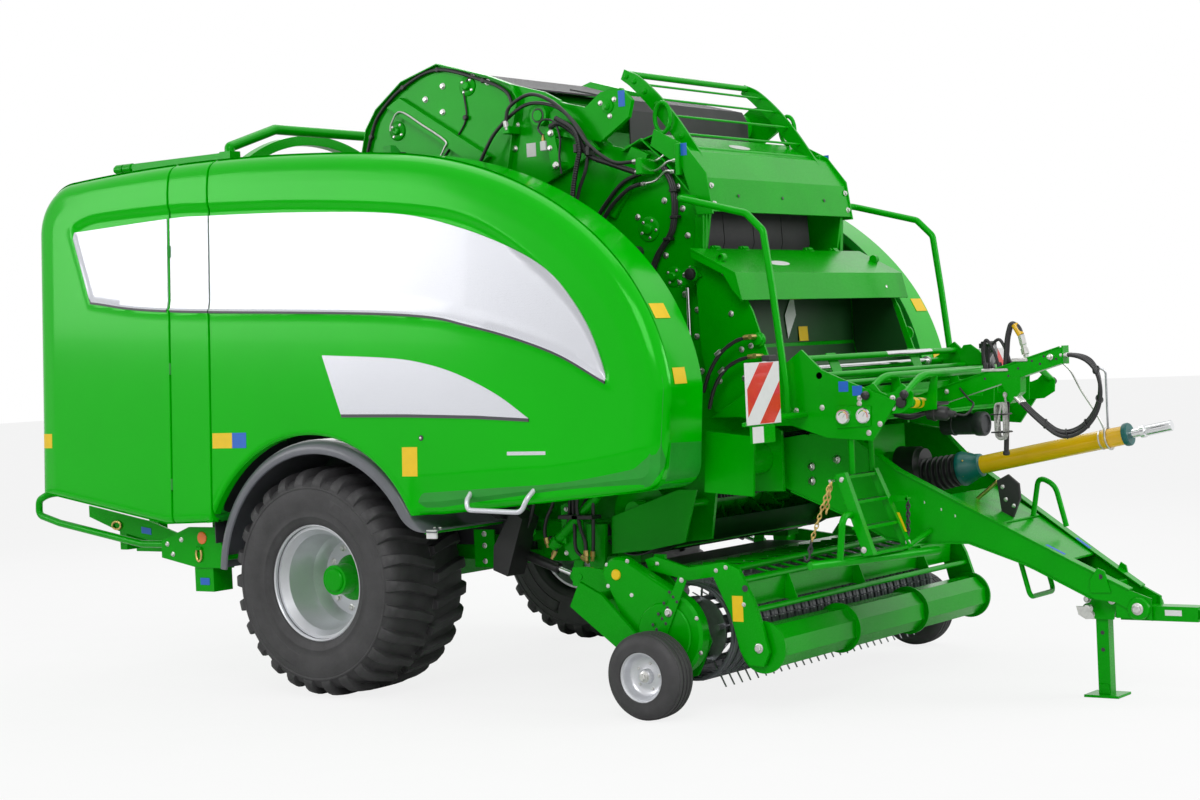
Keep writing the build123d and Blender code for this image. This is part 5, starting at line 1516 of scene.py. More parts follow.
def fixed_chamber_dress():
    """Valve block, pipes, hoses and bolts on the fixed side plates."""
    piece = Piece("fixed_chamber_fittings", "root", "paint", "zinc", "hose", "chrome", "black")
    y = -WALL_FACE
    chamber_rims(piece, y)
    chamber_pipes(piece, y)
    chamber_hoses(piece, y)
    chamber_corner(piece)
    piece.mirror()
    piece.done(slot="green_paint")


def gate_hoses():
    """The hoses that loop over the lifting pivot from the fixed plate to the gate."""
    for side in (-1, 1):
        name = "right" if side < 0 else "left"
        piece = Piece(f"gate_hoses_{name}", None, "hose", "zinc", "paint", "black")
        piece.use("hose")
        for y, spots in ((0.765, ((0.660, 2.640), (0.730, 2.760), (0.830, 2.880), (1.010, 2.985),
                                  (1.180, 2.970), (1.300, 2.890), (1.390, 2.760), (1.380, 2.640),
                                  (1.335, 2.540), (1.300, 2.440))),
                         (0.785, ((0.900, 2.905), (0.930, 2.985), (1.060, 3.034), (1.190, 2.990),
                                  (1.310, 2.890), (1.420, 2.745), (1.560, 2.650), (1.690, 2.640)))):
            run_in_plane(piece, side * y, spots, 0.0095)
        corrugated(piece, soft_line([at(x, side * 0.765, z) for x, z in
                                     ((1.165, 2.860), (1.23, 2.872), (1.33, 2.80), (1.40, 2.70),
                                      (1.53, 2.645), (1.680, 2.590))], 7), 0.016)
        corrugated(piece, soft_line([at(x, side * 0.790, z) for x, z in
                                     ((1.30, 2.455), (1.315, 2.55), (1.34, 2.65), (1.36, 2.73),
                                      (1.33, 2.83), (1.22, 2.90))], 7), 0.014)
        piece.use("zinc")
        for y, (x, z), (ax, az) in ((0.785, (0.900, 2.905), (0.2, -1)),
                                    (0.785, (1.690, 2.640), (1, 0)),
                                    (0.765, (1.680, 2.590), (1, -0.1)),
                                    (0.765, (0.660, 2.640), (-0.4, -1))):
            piece.turned(at(x, side * y, z), (ax, 0, az), [(0.013, -0.010), (0.014, 0.0),
                         (0.014, 0.022), (0.010, 0.024), (0.010, 0.036)], 8)
        piece.use("black")
        for x, z in ((1.345, 2.735), (1.42, 2.715)):
            piece.box(at(x - 0.010, side * 0.778 - 0.030, z - 0.022),
                      at(x + 0.010, side * 0.778 + 0.030, z + 0.022))
        piece.use("paint")
        for x, z in ((0.900, 2.870), (0.650, 2.605)):
            low, high = sorted((side * 0.696, side * 0.790))
            piece.box(at(x - 0.022, low, z - 0.020), at(x + 0.022, high, z + 0.020))
        for x, z in ((1.720, 2.615), (1.300, 2.410)):
            low, high = sorted((side * 0.652, side * 0.800))
            piece.box(at(x - 0.018, low, z - 0.040), at(x + 0.018, high, z + 0.040))
        done = piece.done(slot="hose_rubber")
        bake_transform(done)


def lock_clevis():
    """The clevis, links and small valve beside the lifting pivot."""
    piece = Piece("gate_links", "upper_chamber", "paint", "zinc", "white", "brass", "hose")
    y = -GATE_FACE - 0.050
    piece.use("paint")
    for z in (2.84, 2.79):
        piece.flat(y, [(1.125, z + 0.02), (1.215, z + 0.005), (1.20, z - 0.03),
                       (1.12, z - 0.015)], -0.010, 0.002)
    piece.flat(y - 0.012, [(1.130, 2.845), (1.185, 2.845), (1.225, 2.650),
                           (1.165, 2.640)], -0.012, 0.003)
    piece.rod(1.17, 2.83, y + 0.05, y - 0.026, 0.022, 18)
    piece.rod(1.195, 2.665, y + 0.05, y - 0.028, 0.020, 18)
    piece.use("zinc")
    piece.bolt(at(1.17, y - 0.026, 2.83), (0, -1, 0), 0.013)
    piece.bolt(at(1.195, y - 0.028, 2.665), (0, -1, 0), 0.014)
    piece.bolt(at(1.16, y - 0.024, 2.755), (0, -1, 0), 0.011)
    piece.use("white")
    piece.box(at(1.10, y - 0.030, 2.745), at(1.135, y - 0.006, 2.795))
    piece.use("brass")
    piece.turned(at(1.115, y - 0.018, 2.795), (0, 0, 1), [(0.009, 0), (0.009, 0.018),
                 (0.006, 0.020), (0.006, 0.034)], 8)
    piece.use("hose")
    run_in_plane(piece, y - 0.024, [(1.115, 2.825), (1.09, 2.86), (1.12, 2.90), (1.19, 2.885),
                                    (1.225, 2.80), (1.215, 2.70), (1.225, 2.62)], 0.0055)
    piece.mirror()
    piece.done(slot="green_paint")


lifting_chamber_dress()
fixed_chamber_dress()
gate_hoses()
lock_clevis()


# ------------------------------------------------------------------ front platform
def striped_board(sign):
    """A warning board: bare metal edge, white face and red stripes that rise outwards."""
    low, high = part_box("warning_boards")
    x, z0, z1 = high.x, low.z + 0.003, high.z - 0.003
    y0, y1 = (low.y + 0.003, low.y + 0.282) if sign < 0 else (high.y - 0.282, high.y - 0.003)
    name = "right" if sign < 0 else "left"
    piece = Piece(f"board_{name}_stripes", "root", "white", "red", "black", "paint")
    piece.use("white")
    piece.plate([(x, y0, z0), (x, y1, z0), (x, y1, z1), (x, y0, z1)], (0.0012, 0, 0), 0.0004)
    piece.use("red")
    wide, high_z = y1 - y0, z1 - z0

    def clipped(lo, hi):
        """The part of a slanted band that lies on the board, as (across, up) shares."""
        poly = [(0.0, lo), (1.0, lo + 1.05), (1.0, hi + 1.05), (0.0, hi)]
        for axis, bound, keep in ((1, 0.0, 1), (1, 1.0, -1)):
            out = []
            for (a, b) in zip(poly, poly[1:] + poly[:1]):
                ina, inb = keep * (a[axis] - bound) >= 0, keep * (b[axis] - bound) >= 0
                if ina != inb:
                    t = (bound - a[axis]) / (b[axis] - a[axis])
                    out.append((a[0] + (b[0] - a[0]) * t, a[1] + (b[1] - a[1]) * t))
                if inb:
                    out.append(b)
            poly = out
        return poly

    for lo, hi in ((-0.82, -0.36), (0.12, 0.58), (-1.7, -1.24)):
        shape = clipped(lo, hi)
        if len(shape) > 2:
            corners = []
            for across, up in shape:
                y = y0 + wide * (across if sign < 0 else 1 - across)
                corners.append((x + 0.0012, y, z0 + high_z * up))
            piece.plate(corners, (0.0006, 0, 0), 0.0002)
    piece.use("white")
    y = sign * 1.245
    piece.plate([at(2.615, y - 0.045, 1.348), at(2.615, y + 0.045, 1.348),
                 at(2.615, y + 0.045, 1.275), at(2.615, y - 0.045, 1.275)], (0.004, 0, 0), 0.001)
    piece.use("black")
    piece.box(at(2.585, sign * 1.105 - 0.034, 1.640), at(2.625, sign * 1.105 + 0.034, 1.668))
    piece.use("white")
    piece.box(at(2.588, sign * 1.10 - 0.050, 1.600), at(2.6135, sign * 1.10 + 0.030, 1.640))
    piece.use("paint")
    piece.box(at(2.596, sign * 1.19 - 0.16, 1.352), at(2.6138, sign * 1.19 + 0.16, 1.372))
    piece.box(at(2.598, sign * 1.19 - 0.10, 1.270), at(2.6138, sign * 1.19 + 0.10, 1.356))
    piece.done(slot="board")


def dial_gauge(piece, x, z, y):
    """A round pressure gauge: chrome rim, pale dial, red and green arcs and a hand."""
    piece.use("chrome")
    piece.turned(at(x, y, z), (0, -1, 0), [(0.036, 0), (0.037, 0.010), (0.034, 0.016),
                 (0.030, 0.016), (0.029, 0.011), (0.0, 0.011)], 32)
    piece.use("white")
    piece.turned(at(x, y - 0.0105, z), (0, -1, 0), [(0.029, 0), (0.029, 0.0012), (0.0, 0.0013)],
                 32)
    for key, start, end in (("paint", -70, 5), ("label", 5, 45), ("red", 45, 110)):
        piece.use(key)
        outer = circle_run(x, z, 0.025, start, end, 10)
        inner = circle_run(x, z, 0.021, end, start, 10)
        rings = [[at(px, y - d, pz) for px, pz in outer + inner] for d in (0.0112, 0.0122)]
        piece.loft(rings)
    piece.use("black")
    piece.flat(y - 0.012, [(x - 0.001, z - 0.004), (x + 0.002, z - 0.002),
                           (x + 0.013, z + 0.017)], -0.001, 0.0003)


HAND_TUBE_X = (2.925, 3.125)     # the two tubes across the platform
HAND_TUBE_R = 0.0165
CHROME_ROD_R = 0.0162


def platform_gauges(piece, y):
    """The gauges on their plate, two blank stickers and bolts."""
    piece.use("paint")
    piece.flat(y, [(2.772, 1.414), (2.949, 1.414), (2.944, 1.322), (2.768, 1.312)], -0.008, 0.002)
    for x, z in ((2.807, 1.366), (2.912, 1.370)):
        dial_gauge(piece, x, z, y - 0.008)
    piece.use("blue")
    decal_plate(piece, (2.781, 1.530), (2.832, 1.482), y, -1)
    decal_plate(piece, (2.853, 1.508), (2.904, 1.462), y, -1)
    piece.use("zinc")
    bolts_on(piece, y, -1, ((2.689, 1.411), (2.889, 1.450), (2.887, 1.425), (2.30, 1.420),
                            (2.42, 1.400), (2.55, 1.400), (2.99, 1.330), (2.93, 1.290)), 0.010)


def hand_tubes(piece):
    """The two tubes across the platform, their plates and caps."""
    piece.use("paint")
    for sign in (-1, 1):
        side = sign * 0.762
        piece.flat(side, [(2.90, 1.50), (2.955, 1.515), (2.985, 1.478), (3.02, 1.462),
                          (3.06, 1.475), (3.10, 1.512), (3.155, 1.47), (3.15, 1.41), (3.09, 1.376),
                          (3.00, 1.372), (2.90, 1.38)], sign * 0.010, 0.002)
        for x in HAND_TUBE_X:
            bent = bend_line([at(x, sign * 0.800, 1.462), at(x, sign * 0.625, 1.545),
                              at(x, sign * 0.40, 1.545)], 0.07, 8)
            piece.tube(bent, HAND_TUBE_R, 14)
    for x in HAND_TUBE_X:
        piece.rod(x, 1.545, -0.42, 0.42, HAND_TUBE_R, 14)
    piece.plate([at(2.895, -0.762, 1.50), at(2.895, 0.762, 1.50), at(2.895, 0.762, 1.352),
                 at(2.895, -0.762, 1.352)], (0.006, 0, 0), 0.002)
    for side in (-0.50, 0.10, 0.50):
        piece.flat(side, [(2.90, 1.36), (3.13, 1.38), (3.14, 1.535), (3.11, 1.535), (3.08, 1.42),
                          (2.96, 1.42), (2.94, 1.535), (2.90, 1.535)], 0.008, 0.002)
    piece.use("black")
    for sign in (-1, 1):
        for x in HAND_TUBE_X:
            piece.turned(at(x, sign * 0.792, 1.466), (0, sign * 0.9, -0.43),
                         [(HAND_TUBE_R, 0), (0.020, 0.002), (0.020, 0.018), (0.014, 0.024),
                          (0.0, 0.026)], 18)
        piece.turned(at(3.095, sign * 0.772, 1.425), (0, sign, 0), [(0.026, 0), (0.026, 0.012),
                     (0.020, 0.018), (0.0, 0.020)], 20)
    piece.use("zinc")
    for sign in (-1, 1):
        bolts_on(piece, sign * 0.772, sign, ((3.050, 1.445), (3.050, 1.402)), 0.011)


def slanted_tube(piece):
    """The tube that runs inwards, with two blank bands."""
    piece.use("paint")
    piece.tube([at(3.095, -0.762, 1.425), at(3.02, -0.36, 1.405)], 0.024, 16)
    piece.use("label")
    for share in (0.30, 0.56):
        a = at(3.095, -0.762, 1.425).lerp(at(3.02, -0.36, 1.405), share)
        b = at(3.095, -0.762, 1.425).lerp(at(3.02, -0.36, 1.405), share + 0.17)
        piece.tube([a, b], 0.0248, 16)


def platform_rods(piece):
    """Chrome rods and the brackets that hold them."""
    piece.use("chrome")
    for x, z, y0, y1 in ((2.450, 1.540, -0.45, 0.05), (2.510, 1.590, -0.60, 0.62),
                         (2.590, 1.640, 0.02, 0.50)):
        piece.rod(x, z, y0, y1, CHROME_ROD_R, 18)
    piece.use("zinc")
    piece.turned(at(2.510, 0.60, 1.590), (0, 1, 0), [(0.026, 0), (0.026, 0.020), (0.020, 0.026)],
                 20)
    piece.turned(at(2.680, -0.776, 1.560), (0, -1, 0), [(0.022, 0), (0.022, 0.010),
                 (0.016, 0.014)], 20)
    piece.use("paint")
    for side in (-0.52, 0.30):
        piece.plate([at(2.56, side, 1.66), at(2.56, side + 0.09, 1.66),
                     at(2.60, side + 0.09, 1.56), at(2.60, side, 1.56)], (0.006, 0, 0.002), 0.002)
    piece.flat(0.70, [(2.66, 1.56), (2.655, 1.63), (2.68, 1.665), (2.72, 1.668), (2.76, 1.64),
                      (2.84, 1.56)], 0.010, 0.002)


def platform_hoses(piece):
    """The two ribbed hoses with their fittings and clamps."""
    piece.use("hose")
    corrugated(piece, bend_line([at(2.33, -0.805, 1.756), at(2.25, -0.81, 1.745),
                                 at(2.16, -0.82, 1.69), at(2.10, -0.83, 1.60),
                                 at(2.06, -0.83, 1.50)], 0.05, 5), 0.0105, 0.05)
    corrugated(piece, bend_line([at(2.35, -0.805, 1.664), at(2.26, -0.81, 1.652),
                                 at(2.18, -0.82, 1.61), at(2.12, -0.83, 1.52),
                                 at(2.09, -0.83, 1.42)], 0.05, 5), 0.0105, 0.05)
    piece.use("brass")
    for x, z in ((2.30, 1.754), (2.32, 1.662)):
        piece.turned(at(x, -0.806, z), (1, 0, 0.06), [(0.0125, -0.012), (0.013, 0.0),
                     (0.013, 0.020), (0.010, 0.022), (0.010, 0.034)], 8)
        piece.turned(at(x + 0.030, -0.806, z + 0.002), (0, 1, 0), [(0.012, -0.014),
                     (0.012, 0.012), (0.009, 0.066)], 8)
    piece.use("zinc")
    for x, z in ((2.15, 1.685), (2.165, 1.60)):
        piece.turned(at(x, -0.822, z), (0.7, 0, 0.5), [(0.0118, -0.018), (0.0125, -0.015),
                     (0.0125, 0.015), (0.0118, 0.018)], 10)


def platform_bearings(piece):
    """Bolts, bearing caps and blank labels behind the platform."""
    for sign in (-1, 1):
        bolts_on(piece, sign * 0.740, sign, ((2.284, 1.712), (2.231, 1.697), (2.149, 2.106),
                                             (2.149, 2.070), (2.18, 1.87), (2.24, 1.56),
                                             (2.36, 1.47), (2.10, 1.55)), 0.011)
    piece.use("paint")
    for sign in (-1, 1):
        piece.turned(at(2.333, sign * 0.740, 1.740), (0, sign, 0), [(0.036, 0), (0.036, 0.012),
                     (0.028, 0.016), (0.026, 0.030), (0.014, 0.032)], 24)
        piece.turned(at(2.149, sign * 0.740, 2.143), (0, sign, 0), [(0.022, 0), (0.022, 0.030),
                     (0.013, 0.030), (0.013, 0.012), (0.0, 0.012)], 20)
    piece.use("white")
    piece.plate([at(2.020, 0.02, 1.86), at(2.018, 0.11, 1.98), at(2.020, 0.13, 1.86),
                 at(2.023, 0.04, 1.74)], (0.002, 0, 0), 0.0004)
    piece.use("label")
    piece.plate([at(2.020, 0.15, 1.80), at(2.020, 0.24, 1.80), at(2.024, 0.24, 1.725),
                 at(2.024, 0.15, 1.725)], (0.002, 0, 0), 0.0004)


def platform_dress():
    """Gauges, stickers, capped hand tubes, chrome rods and hoses at the front platform."""
    piece = Piece("platform_fittings", "root", "paint", "chrome", "zinc", "black", "blue", "white",
                  "label", "red", "hose", "brass")
    y = -0.790
    platform_gauges(piece, y)
    hand_tubes(piece)
    slanted_tube(piece)
    platform_rods(piece)
    platform_hoses(piece)
    platform_bearings(piece)
    piece.done(slot="green_paint")


def oval_label(piece, centre, lean, wide):
    """A blank oval on a sheet; lean is the way that the sheet faces."""
    down = Vector((lean.z, 0, -lean.x))
    ring = [centre + down * wide * math.sin(a) + Vector((0, 1, 0)) * 0.095 * math.cos(a)
            for a in angles(24)]
    piece.loft([[p + lean * d for p in ring] for d in (0.0, 0.0018)])


def hood_dress():
    """Holes, bolts, end plates, rings and blank ovals of the front hood and the net lid."""
    piece = Piece("hood_fittings", "root", "paint", "dark", "white", "zinc", "blue")
    # painted shade: near-black discs stand for the shaded holes
    piece.use("dark")
    for y in (-0.42, 0.0, 0.42):
        piece.turned(at(2.052, y, 2.455), (1, 0, 0.18), [(0.008, 0), (0.008, 0.0012),
                     (0.0, 0.0013)], 14)
    piece.use("white")
    oval_label(piece, at(1.838, -0.05, 2.729), Vector((0.462, 0, 0.887)), 0.028)
    piece.use("zinc")
    for y in (-0.655, 0.655):
        for x, z in ((2.044, 2.50), (2.057, 2.41)):
            piece.bolt(at(x, y, z), (1, 0, 0.18), 0.011)
    piece.use("paint")
    for sign in (-1, 1):
        low, high = sorted((sign * 0.680, sign * 0.690))
        piece.flat(low, [(2.07, 2.36), (2.04, 2.56), (1.93, 2.70), (1.745, 2.80), (1.72, 2.72),
                         (1.90, 2.60), (1.98, 2.36)], high - low, 0.002)
    for x, y in ((1.74, 0.60), (1.74, -0.60)):
        ring = [at(x + 0.045 * math.cos(a), y, 2.862 + 0.075 * math.sin(a)) for a in angles(20)]
        piece.tube(ring, 0.011, 10, closed=True)
    piece.use("blue")
    for sign in (-1, 1):
        decal_plate(piece, (1.895, 2.715), (1.935, 2.655), sign * 0.690, sign)
    piece.done(slot="green_paint")
    lid = Piece("net_lid_marks", "net_lid", "white", "zinc", "paint")
    lid.use("white")
    oval_label(lid, at(2.17, -0.26, 2.116), Vector((0.467, 0, 0.884)), 0.026)
    lid.use("zinc")
    for y, z in ((0.62, 1.990), (0.66, 1.965)):
        lid.turned(at(2.288, y, z), (1, 0, 0.25), [(0.009, 0), (0.009, 0.003), (0.005, 0.005)], 12)
    lid.use("paint")
    for sign in (-1, 1):
        low = sign * 0.822
        lid.flat(low, [(2.02, 2.190), (2.265, 2.062), (2.300, 1.925), (2.250, 1.980),
                       (2.200, 2.060), (2.02, 2.150)], sign * 0.006, 0.002)
    lid.done(slot="green_paint")


for sign in (-1, 1):
    striped_board(sign)
platform_dress()
hood_dress()


# ------------------------------------------------------------------ cover marks and handles
def cover_label(piece, corner_a, corner_b, sign, lift=0.0012):
    """A blank sticker that lies on the cover's skin between two (x, z) corners."""
    (x0, z0), (x1, z1) = corner_a, corner_b
    count = 4
    rings = []
    for k in range(count + 1):
        x = x0 + (x1 - x0) * k / count
        ring = []
        for z, out in ((z0, 0.0), (z1, 0.0), (z1, lift), (z0, lift)):
            depth = float(cover_depth([(x, z)])[0])
            ring.append(at(x, sign * (depth + out), z))
        rings.append(ring)
    piece.loft(rings)


def nose_x(z):
    """Where the cover's front edge is at height z."""
    return 0.30 + 1.94 * math.sqrt(max(0.0, 1 - ((z - 1.45) / 1.32) ** 2)) + GROW


def cover_marks():
    for side, sign in SIDES:
        front = Piece(f"front_door_marks_{side}", f"front_door_{side}", "label", "blue", "silver",
                      "zinc", "dark")
        front.use("label")
        cover_label(front, (0.675, 1.147), (0.773, 1.291), sign, 0.0014)
        cover_label(front, (-0.645, 1.300), (-0.500, 1.380), sign, 0.0014)
        for z0, z1, y0, y1 in ((1.86, 1.93, 1.215, 1.335), (1.555, 1.63, 1.235, 1.335)):
            front.plate([at(nose_x(z0), sign * y0, z0), at(nose_x(z0), sign * y1, z0),
                         at(nose_x(z1), sign * y1, z1), at(nose_x(z1), sign * y0, z1)],
                        (0.0016, 0, 0.0004), 0.0004)
        front.use("blue")
        cover_label(front, (-0.500, 1.300), (-0.398, 1.380), sign, 0.0014)
        front.use("silver")
        cover_label(front, (1.335, 1.245), (1.565, 1.262), sign, 0.0016)
        handle = [at(1.089, sign * (float(cover_depth([(1.089, 1.063)])[0]) - 0.004), 1.063),
                  at(1.094, sign * 1.478, 1.030), at(1.104, sign * 1.484, 0.985),
                  at(1.430, sign * 1.484, 0.975), at(1.462, sign * 1.478, 1.040),
                  at(1.475, sign * (float(cover_depth([(1.475, 1.077)])[0]) - 0.004), 1.077)]
        front.tube(bend_line(handle, 0.035, 5), 0.0125, 12)
        front.use("dark")
        depth = float(cover_depth([(0.80, 1.30)])[0])
        front.turned(at(0.80, sign * (depth - 0.002), 1.335), (0, sign, 0),
                     [(0.014, 0), (0.014, 0.0032), (0.009, 0.0036)], 20)
        front.use("zinc")
        front.turned(at(0.80, sign * (depth + 0.001), 1.335), (0, sign, 0),
                     [(0.008, 0), (0.007, 0.004), (0.0, 0.005)], 6)
        front.done(slot="board")
        rear = Piece(f"rear_door_marks_{side}", f"rear_door_{side}", "label")
        rear.use("label")
        cover_label(rear, (-2.008, 1.316), (-1.922, 1.396), sign, 0.0014)
        rear.done(slot="board")


cover_marks()


# ------------------------------------------------------------------ drawbar, ladder and jack
# (x, y) of the side plates' rear and front ends
DRAW_REAR, DRAW_NOSE = (2.330, 0.560), (3.960, 0.062)


def draw_y(x):
    """Outer face of the drawbar's side plate at x."""
    share = (x - DRAW_REAR[0]) / (DRAW_NOSE[0] - DRAW_REAR[0])
    return DRAW_REAR[1] + (DRAW_NOSE[1] - DRAW_REAR[1]) * share


DRAW_LEAN = 0.29             # how far a bolt on the drawbar's side leans back


def drawbar_edges(piece):
    """Folded edges, the boss and the small holed lug."""
    top = ((2.46, 1.272), (2.665, 1.243), (2.86, 1.085), (3.30, 0.831), (3.624, 0.644),
           (3.865, 0.510))
    foot = ((2.36, 1.006), (2.62, 0.880), (2.80, 0.770), (2.935, 0.746), (3.17, 0.742),
            (3.42, 0.638), (3.70, 0.478))
    piece.use("paint")
    for line, lift in ((top, 0.007), (foot, -0.007)):
        rings = []
        for x, z in line:
            y = -draw_y(x)
            rings.append([at(x, y - 0.010, z), at(x, y + 0.045, z), at(x, y + 0.045, z + lift),
                          at(x, y - 0.010, z + lift)])
        piece.loft(rings)
    piece.turned(at(3.905, -0.072, 0.425), (0, -1, 0), [(0.052, 0), (0.052, 0.020),
                 (0.048, 0.026), (0.030, 0.026)], 32)
    piece.plate([at(3.70, -draw_y(3.70) - 0.012, 0.56), at(3.735, -draw_y(3.735) - 0.012, 0.615),
                 at(3.765, -draw_y(3.765) - 0.012, 0.60), at(3.79, -draw_y(3.79) - 0.012, 0.50),
                 at(3.70, -draw_y(3.70) - 0.012, 0.50)], (0, 0.012, 0), 0.002)


def drawbar_marks(piece):
    """Holes, bolts and blank labels on the side."""
    side_axis = Vector((-DRAW_LEAN, -1, 0)).normalized()
    # painted shade: a near-black disc stands for the shaded hole
    piece.use("dark")
    piece.turned(at(3.747, -draw_y(3.747) - 0.0125, 0.575), (0, -1, 0), [(0.012, 0),
                 (0.012, 0.001), (0.0, 0.0011)], 18)
    piece.use("zinc")
    piece.bolt(at(3.905, -0.098, 0.425), (0, -1, 0), 0.021)
    for x, z in ((2.46, 1.12), (2.46, 1.05), (2.58, 1.15)):
        piece.bolt(at(x, -draw_y(x), z), side_axis, 0.016)
    piece.use("white")
    for x, z in ((2.973, 0.935), (3.048, 0.900), (3.110, 0.868)):
        piece.turned(at(x, -draw_y(x) + 0.0005, z), side_axis, [(0.007, 0), (0.007, 0.0008),
                     (0.0, 0.0009)], 14)
    decal_plate(piece, (4.015, 0.418), (4.095, 0.392), -0.046, -1)
    piece.use("blue")
    piece.plate([at(3.50, -draw_y(3.50) + 0.046, 0.722), at(3.58, -draw_y(3.58) + 0.046, 0.676),
                 at(3.58, -draw_y(3.58) + 0.020, 0.676), at(3.50, -draw_y(3.50) + 0.020, 0.722)],
                (0, 0, 0.0012), 0.0004)


def drawbar_middle(piece):
    """The cross plate between the beams and what stands on it."""
    piece.use("paint")
    piece.plate([at(3.14, -0.235, 0.905), at(3.14, 0.235, 0.905), at(3.30, 0.20, 0.822),
                 at(3.30, -0.20, 0.822)], (0, 0, 0.008), 0.002)
    piece.tube(bend_line([at(3.30, 0.13, 0.83), at(3.335, 0.13, 1.02), at(3.42, 0.13, 0.98),
                          at(3.47, 0.13, 0.78)], 0.06, 6), 0.013, 12)
    piece.use("brass")
    piece.tube([at(3.095, -0.05, 0.925), at(3.205, -0.05, 1.010)], 0.010, 12)
    piece.use("black")
    piece.flat(-0.06, [(3.225, 0.862), (3.205, 1.015), (3.265, 1.045), (3.320, 1.000),
                       (3.325, 0.93), (3.285, 0.84)], 0.018, 0.003)
    piece.use("zinc")
    for x, z in ((3.235, 0.985), (3.25, 0.925), (3.29, 0.895)):
        piece.bolt(at(x, -0.06, z), (0, -1, 0), 0.008)


def drawbar_dress():
    """Folded edges, holes, boss, bolts and labels along the drawbar."""
    piece = Piece("drawbar_fittings", "root", "paint", "zinc", "dark", "white", "blue", "brass",
                  "black")
    drawbar_edges(piece)
    drawbar_marks(piece)
    piece.mirror()
    drawbar_middle(piece)
    piece.done(slot="green_paint")


def jack_dress():
    """Bolts, the locking pin and its handle on the jack's tube."""
    jack = Piece("jack_fittings", "root", "zinc")
    for sign in (-1, 1):
        bolts_on(jack, sign * 0.048, sign, ((3.640, 0.458), (3.760, 0.455), (3.655, 0.385)),
                 0.014)
    jack.rod(3.662, 0.420, -0.048, -0.115, 0.010, 12)
    jack.turned(at(3.662, -0.095, 0.420), (0, -1, 0), [(0.024, 0), (0.026, 0.006),
                (0.018, 0.018), (0.0, 0.020)], 18)
    jack.flat(-0.108, [(3.610, 0.432), (3.650, 0.432), (3.690, 0.402), (3.700, 0.375),
                       (3.655, 0.372), (3.620, 0.392)], -0.006, 0.0015)
    jack.done(slot="zinc_steel")


def jack_leg_dress():
    """Holes and foot plates of the jack's leg."""
    leg = Piece("jack_leg_marks", "jack_leg", "dark", "paint")
    # painted shade: near-black discs stand for the shaded holes
    leg.use("dark")
    for z in (0.30, 0.22):
        for sign in (-1, 1):
            leg.turned(at(3.700, sign * 0.0300, z), (0, sign, 0), [(0.010, 0), (0.010, 0.001),
                       (0.0, 0.0011)], 18)
    leg.use("paint")
    for sign in (-1, 1):
        leg.flat(sign * 0.030, [(3.672, 0.012), (3.728, 0.012), (3.72, 0.060),
                                (3.68, 0.060)], sign * 0.006, 0.002)
    leg.done(slot="green_paint")


def chain(piece, start, end, links, wire, long_half):
    """A hanging chain of oval links, each turned across the last."""
    a, b = Vector(start), Vector(end)
    down = (b - a).normalized()
    side = down.orthogonal().normalized()
    other = down.cross(side)
    for k in range(links):
        middle = a.lerp(b, (k + 0.5) / links)
        across = side if k % 2 else other
        ring = []
        for j in range(12):
            t = 2 * math.pi * j / 12
            ring.append(middle + down * math.cos(t) * long_half
                        + across * math.sin(t) * long_half * 0.55)
        piece.tube(ring, wire, 6, closed=True)


